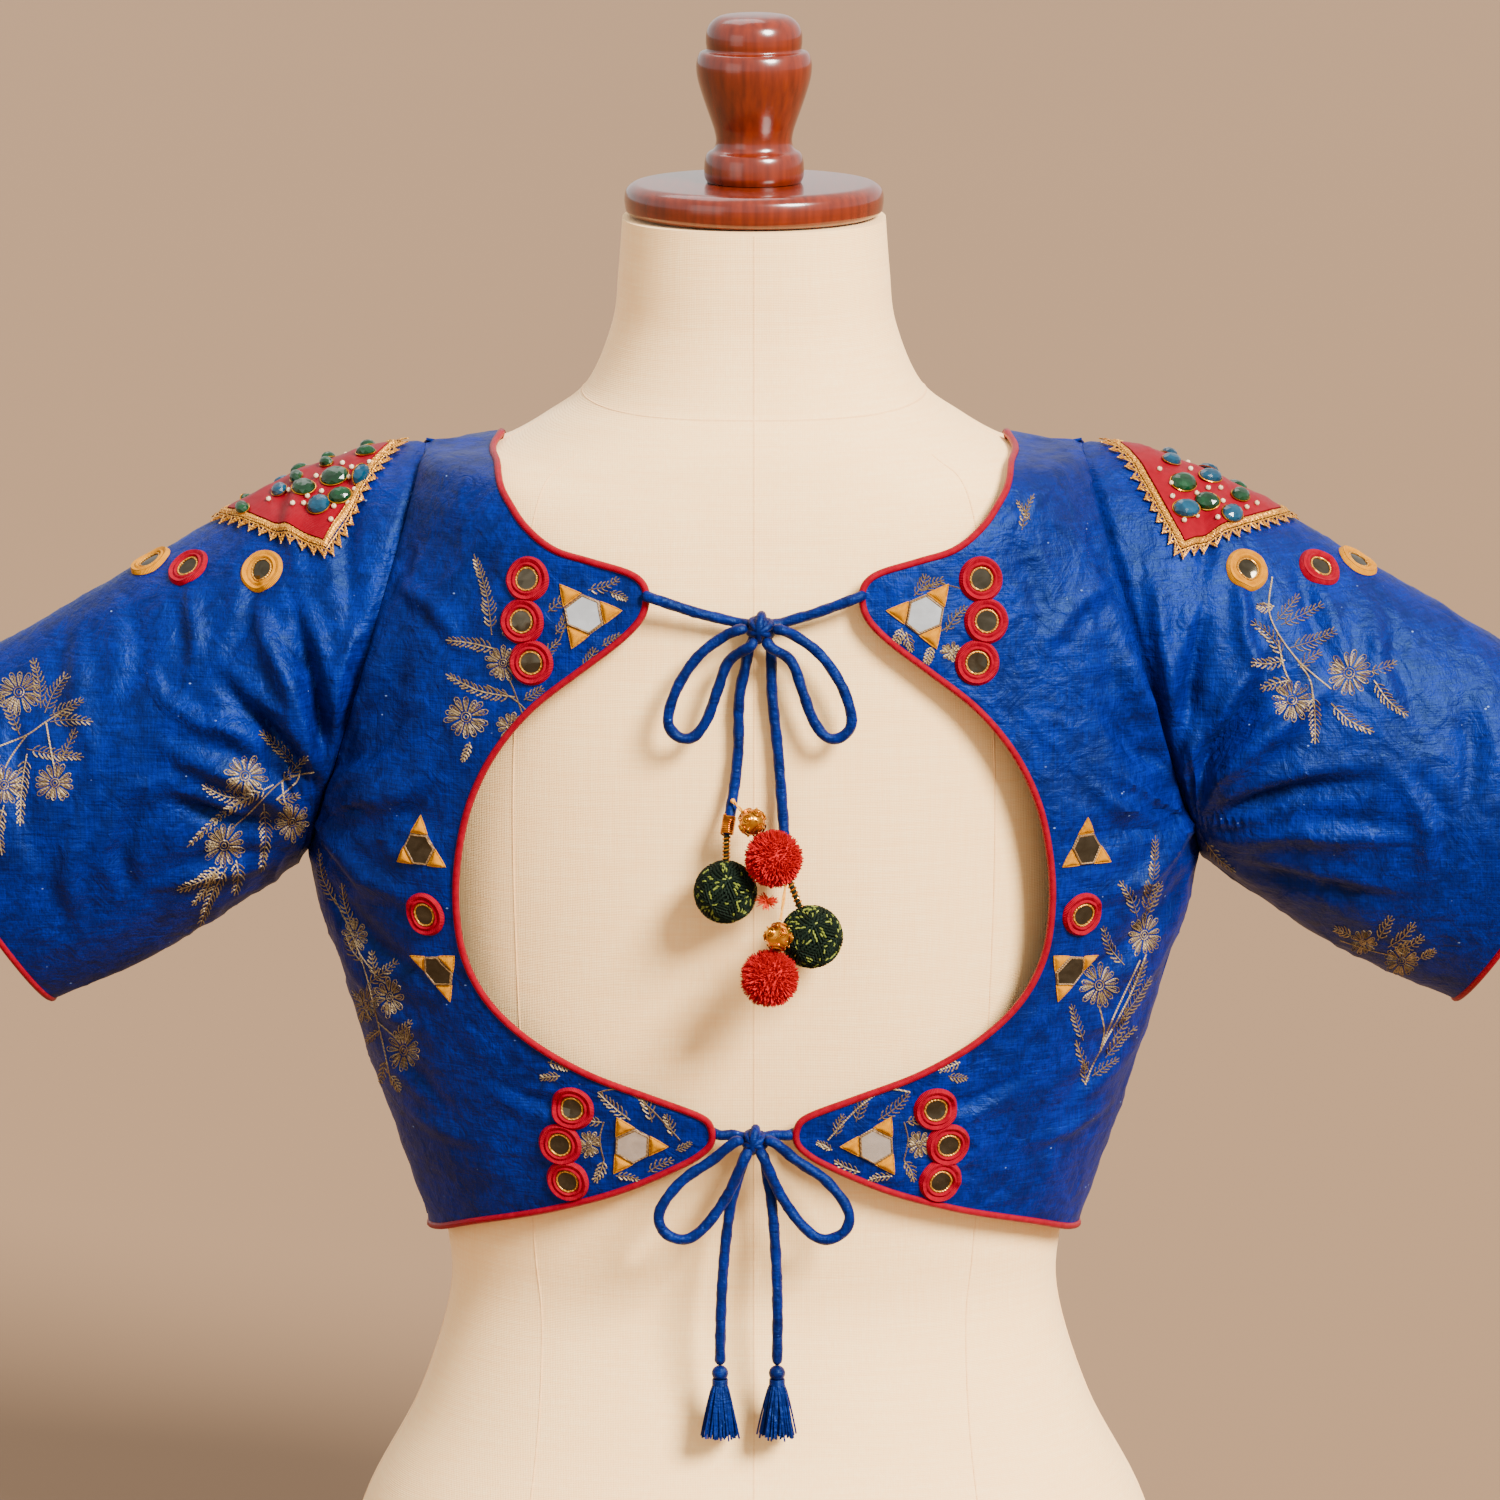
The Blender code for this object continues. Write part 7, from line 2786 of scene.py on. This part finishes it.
class Studio:
    """Camera at the photograph's viewing angle, plain floor and soft lights."""
    LENS = 192.0
    SENSOR = 36.0

    def camera(self) -> None:
        """Sets up the camera."""
        data = bpy.data.cameras.new("photo_camera")
        data.lens, data.sensor_width = self.LENS, self.SENSOR
        data.clip_start, data.clip_end = 0.05, 100
        camera = bpy.data.objects.new("photo_camera", data)
        bpy.context.scene.collection.objects.link(camera)
        eye = View.TARGET + Vector((0, -math.cos(View.ELEVATION), math.sin(View.ELEVATION))) * View.DISTANCE
        camera.location = eye
        camera.rotation_euler = (View.TARGET - eye).to_track_quat("-Z", "Y").to_euler()
        bpy.context.scene.camera = camera

    def light(self, name: str, place: tuple, aim: tuple, size: float, power_watts: float, tint: Colour,
              kind: str = "AREA") -> None:
        """Adds one soft light.

        Args:
            name: Its name.
            place: Its place.
            aim: Point that it faces.
            size: Its side, or the angle that a far one is seen under.
            power_watts: Its power, or what a far one gives each square metre.
            tint: Its colour.
            kind: Near area light or a far one that lights the floor evenly.
        """
        data = bpy.data.lights.new(name, kind)
        if kind == "AREA":
            data.size = size
        else:
            data.angle = size
        data.energy, data.color = power_watts, tint
        lamp = bpy.data.objects.new(name, data)
        bpy.context.scene.collection.objects.link(lamp)
        lamp.location = place
        lamp.rotation_euler = (Vector(aim) - Vector(place)).to_track_quat("-Z", "Y").to_euler()

    def build(self) -> None:
        """Makes floor, lights and surroundings."""
        mesh = bpy.data.meshes.new("floor")
        corners = [(x, y, -0.001) for x, y in ((-30, -30), (30, -30), (30, 60), (-30, 60))]
        mesh.from_pydata(corners, [], [(0, 1, 2, 3)])
        mesh.materials.append(PALETTE.get(FLOOR))
        floor = bpy.data.objects.new("floor", mesh)
        bpy.context.scene.collection.objects.link(floor)
        world = bpy.data.worlds.new("soft_world")
        world.use_nodes = True
        background = world.node_tree.nodes["Background"]
        background.inputs["Color"].default_value = (1.0, 0.97, 0.93, 1)
        background.inputs["Strength"].default_value = 1.22
        bpy.context.scene.world = world
        self.light("key", (2.3, -2.8, 3.2), (0, 0, 0.45), 0.36, 13.0, (1.0, 0.96, 0.89), "SUN")
        self.light("fill", (-2.4, -2.6, 1.2), (0, 0, 0.42), 2.0, 14, (1.0, 0.98, 0.95))
        self.light("top", (-0.4, 0.9, 2.6), (0, 0, 0.45), 1.4, 22, (1.0, 0.99, 0.97))


# Blouse


@dataclass
class Blouse:
    """The whole garment on its form."""
    FRONT_SPRAYS: ClassVar = (((-620, 60), False), ((-770, 330), False), ((-800, -10), False),
                              ((310, 360), True), ((470, 200), True), ((-520, 420), False))
    areas: dict = field(default_factory=lambda: {"back": 0.044, "front": 0.158, "sleeve": 0.090})

    def cloth(self) -> dict:
        """Makes the five silk panels and their piping.

        Returns:
            The panels by name.
        """
        panels = {}
        back, front = BackPanel(), FrontPanel()
        piping = Piping()
        panels["front"] = front.build()
        for side in Side:
            panels["back", side] = back.build(side)
            sleeve = Sleeve()
            panels["sleeve", side] = sleeve.build(side)
            piping.cuff(sleeve.cuff(), side)
        half = front.across * 8 // 9
        piping.body(back.grid(), front.grid(), half)
        LOG.info("cloth: %d panels", len(panels))
        return panels

    def decorate(self, panels: dict) -> None:
        """Makes trims, squares and sprays on the panels.

        Args:
            panels: The panels by name.
        """
        trims, square = Trims(), ShoulderSquare()
        for side in Side:
            back, sleeve = Seat(panels["back", side]), Seat(panels["sleeve", side])
            self.sprays(side, back, sleeve)
            made = trims.build(side, back, sleeve)
            silk, lace, stones = square.build(side, sleeve)
            LOG.info("%s side: %d trims and a shoulder square", side.word, made)
        self.front_sprays(Seat(panels["front"]))

    def sprays(self, side: Side, back: Seat, sleeve: Seat) -> None:
        """Lays the gold sprays of one side.

        Args:
            side: Which side.
            back: Its back panel.
            sleeve: Its sleeve.
        """
        left = side is Side.LEFT
        on_back = Sprays(f"spray_back_{side.word}", back, Facing.BACK)
        on_back.motif(APEX_SPRAY if left else RIGHT_APEX_SPRAY)
        on_back.motif(SIDE_SPRAY if left else FAR_SIDE_SPRAY)
        on_back.motif(LOW_SPRAY, flip=not left)
        on_back.build()
        for facing in Facing:
            on_sleeve = Sprays(f"spray_sleeve_{side.word}_{facing.name.lower()}", sleeve, facing)
            for motif in (CUFF_SPRAY, ARMPIT_SPRAY) if left else (SHOULDER_SPRAY, HEM_SPRAY):
                on_sleeve.motif(motif)
            on_sleeve.build()

    def front_sprays(self, front: Seat) -> None:
        """Lays the gold sprays of the hidden front.

        Args:
            front: The front.
        """
        on_front = Sprays("spray_front", front, Facing.FRONT)
        for shift, flip in self.FRONT_SPRAYS:
            on_front.motif(SHOULDER_SPRAY, shift, flip)
        on_front.build()

    def ties(self) -> None:
        """Makes the two bows with what hangs from them."""
        ends = TieEnds()
        BowTie(UPPER_BOW, ends.upper()).build()
        BowTie(LOWER_BOW, ends.lower()).build()


def main() -> None:
    """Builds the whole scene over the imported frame."""
    logging.basicConfig(level=logging.INFO, format="%(message)s")
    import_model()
    studio = Studio()
    studio.camera()
    blouse = Blouse()
    blouse.ties()
    DressForm().build()
    blouse.decorate(blouse.cloth())
    studio.build()


if __name__ == "__main__":
    main()
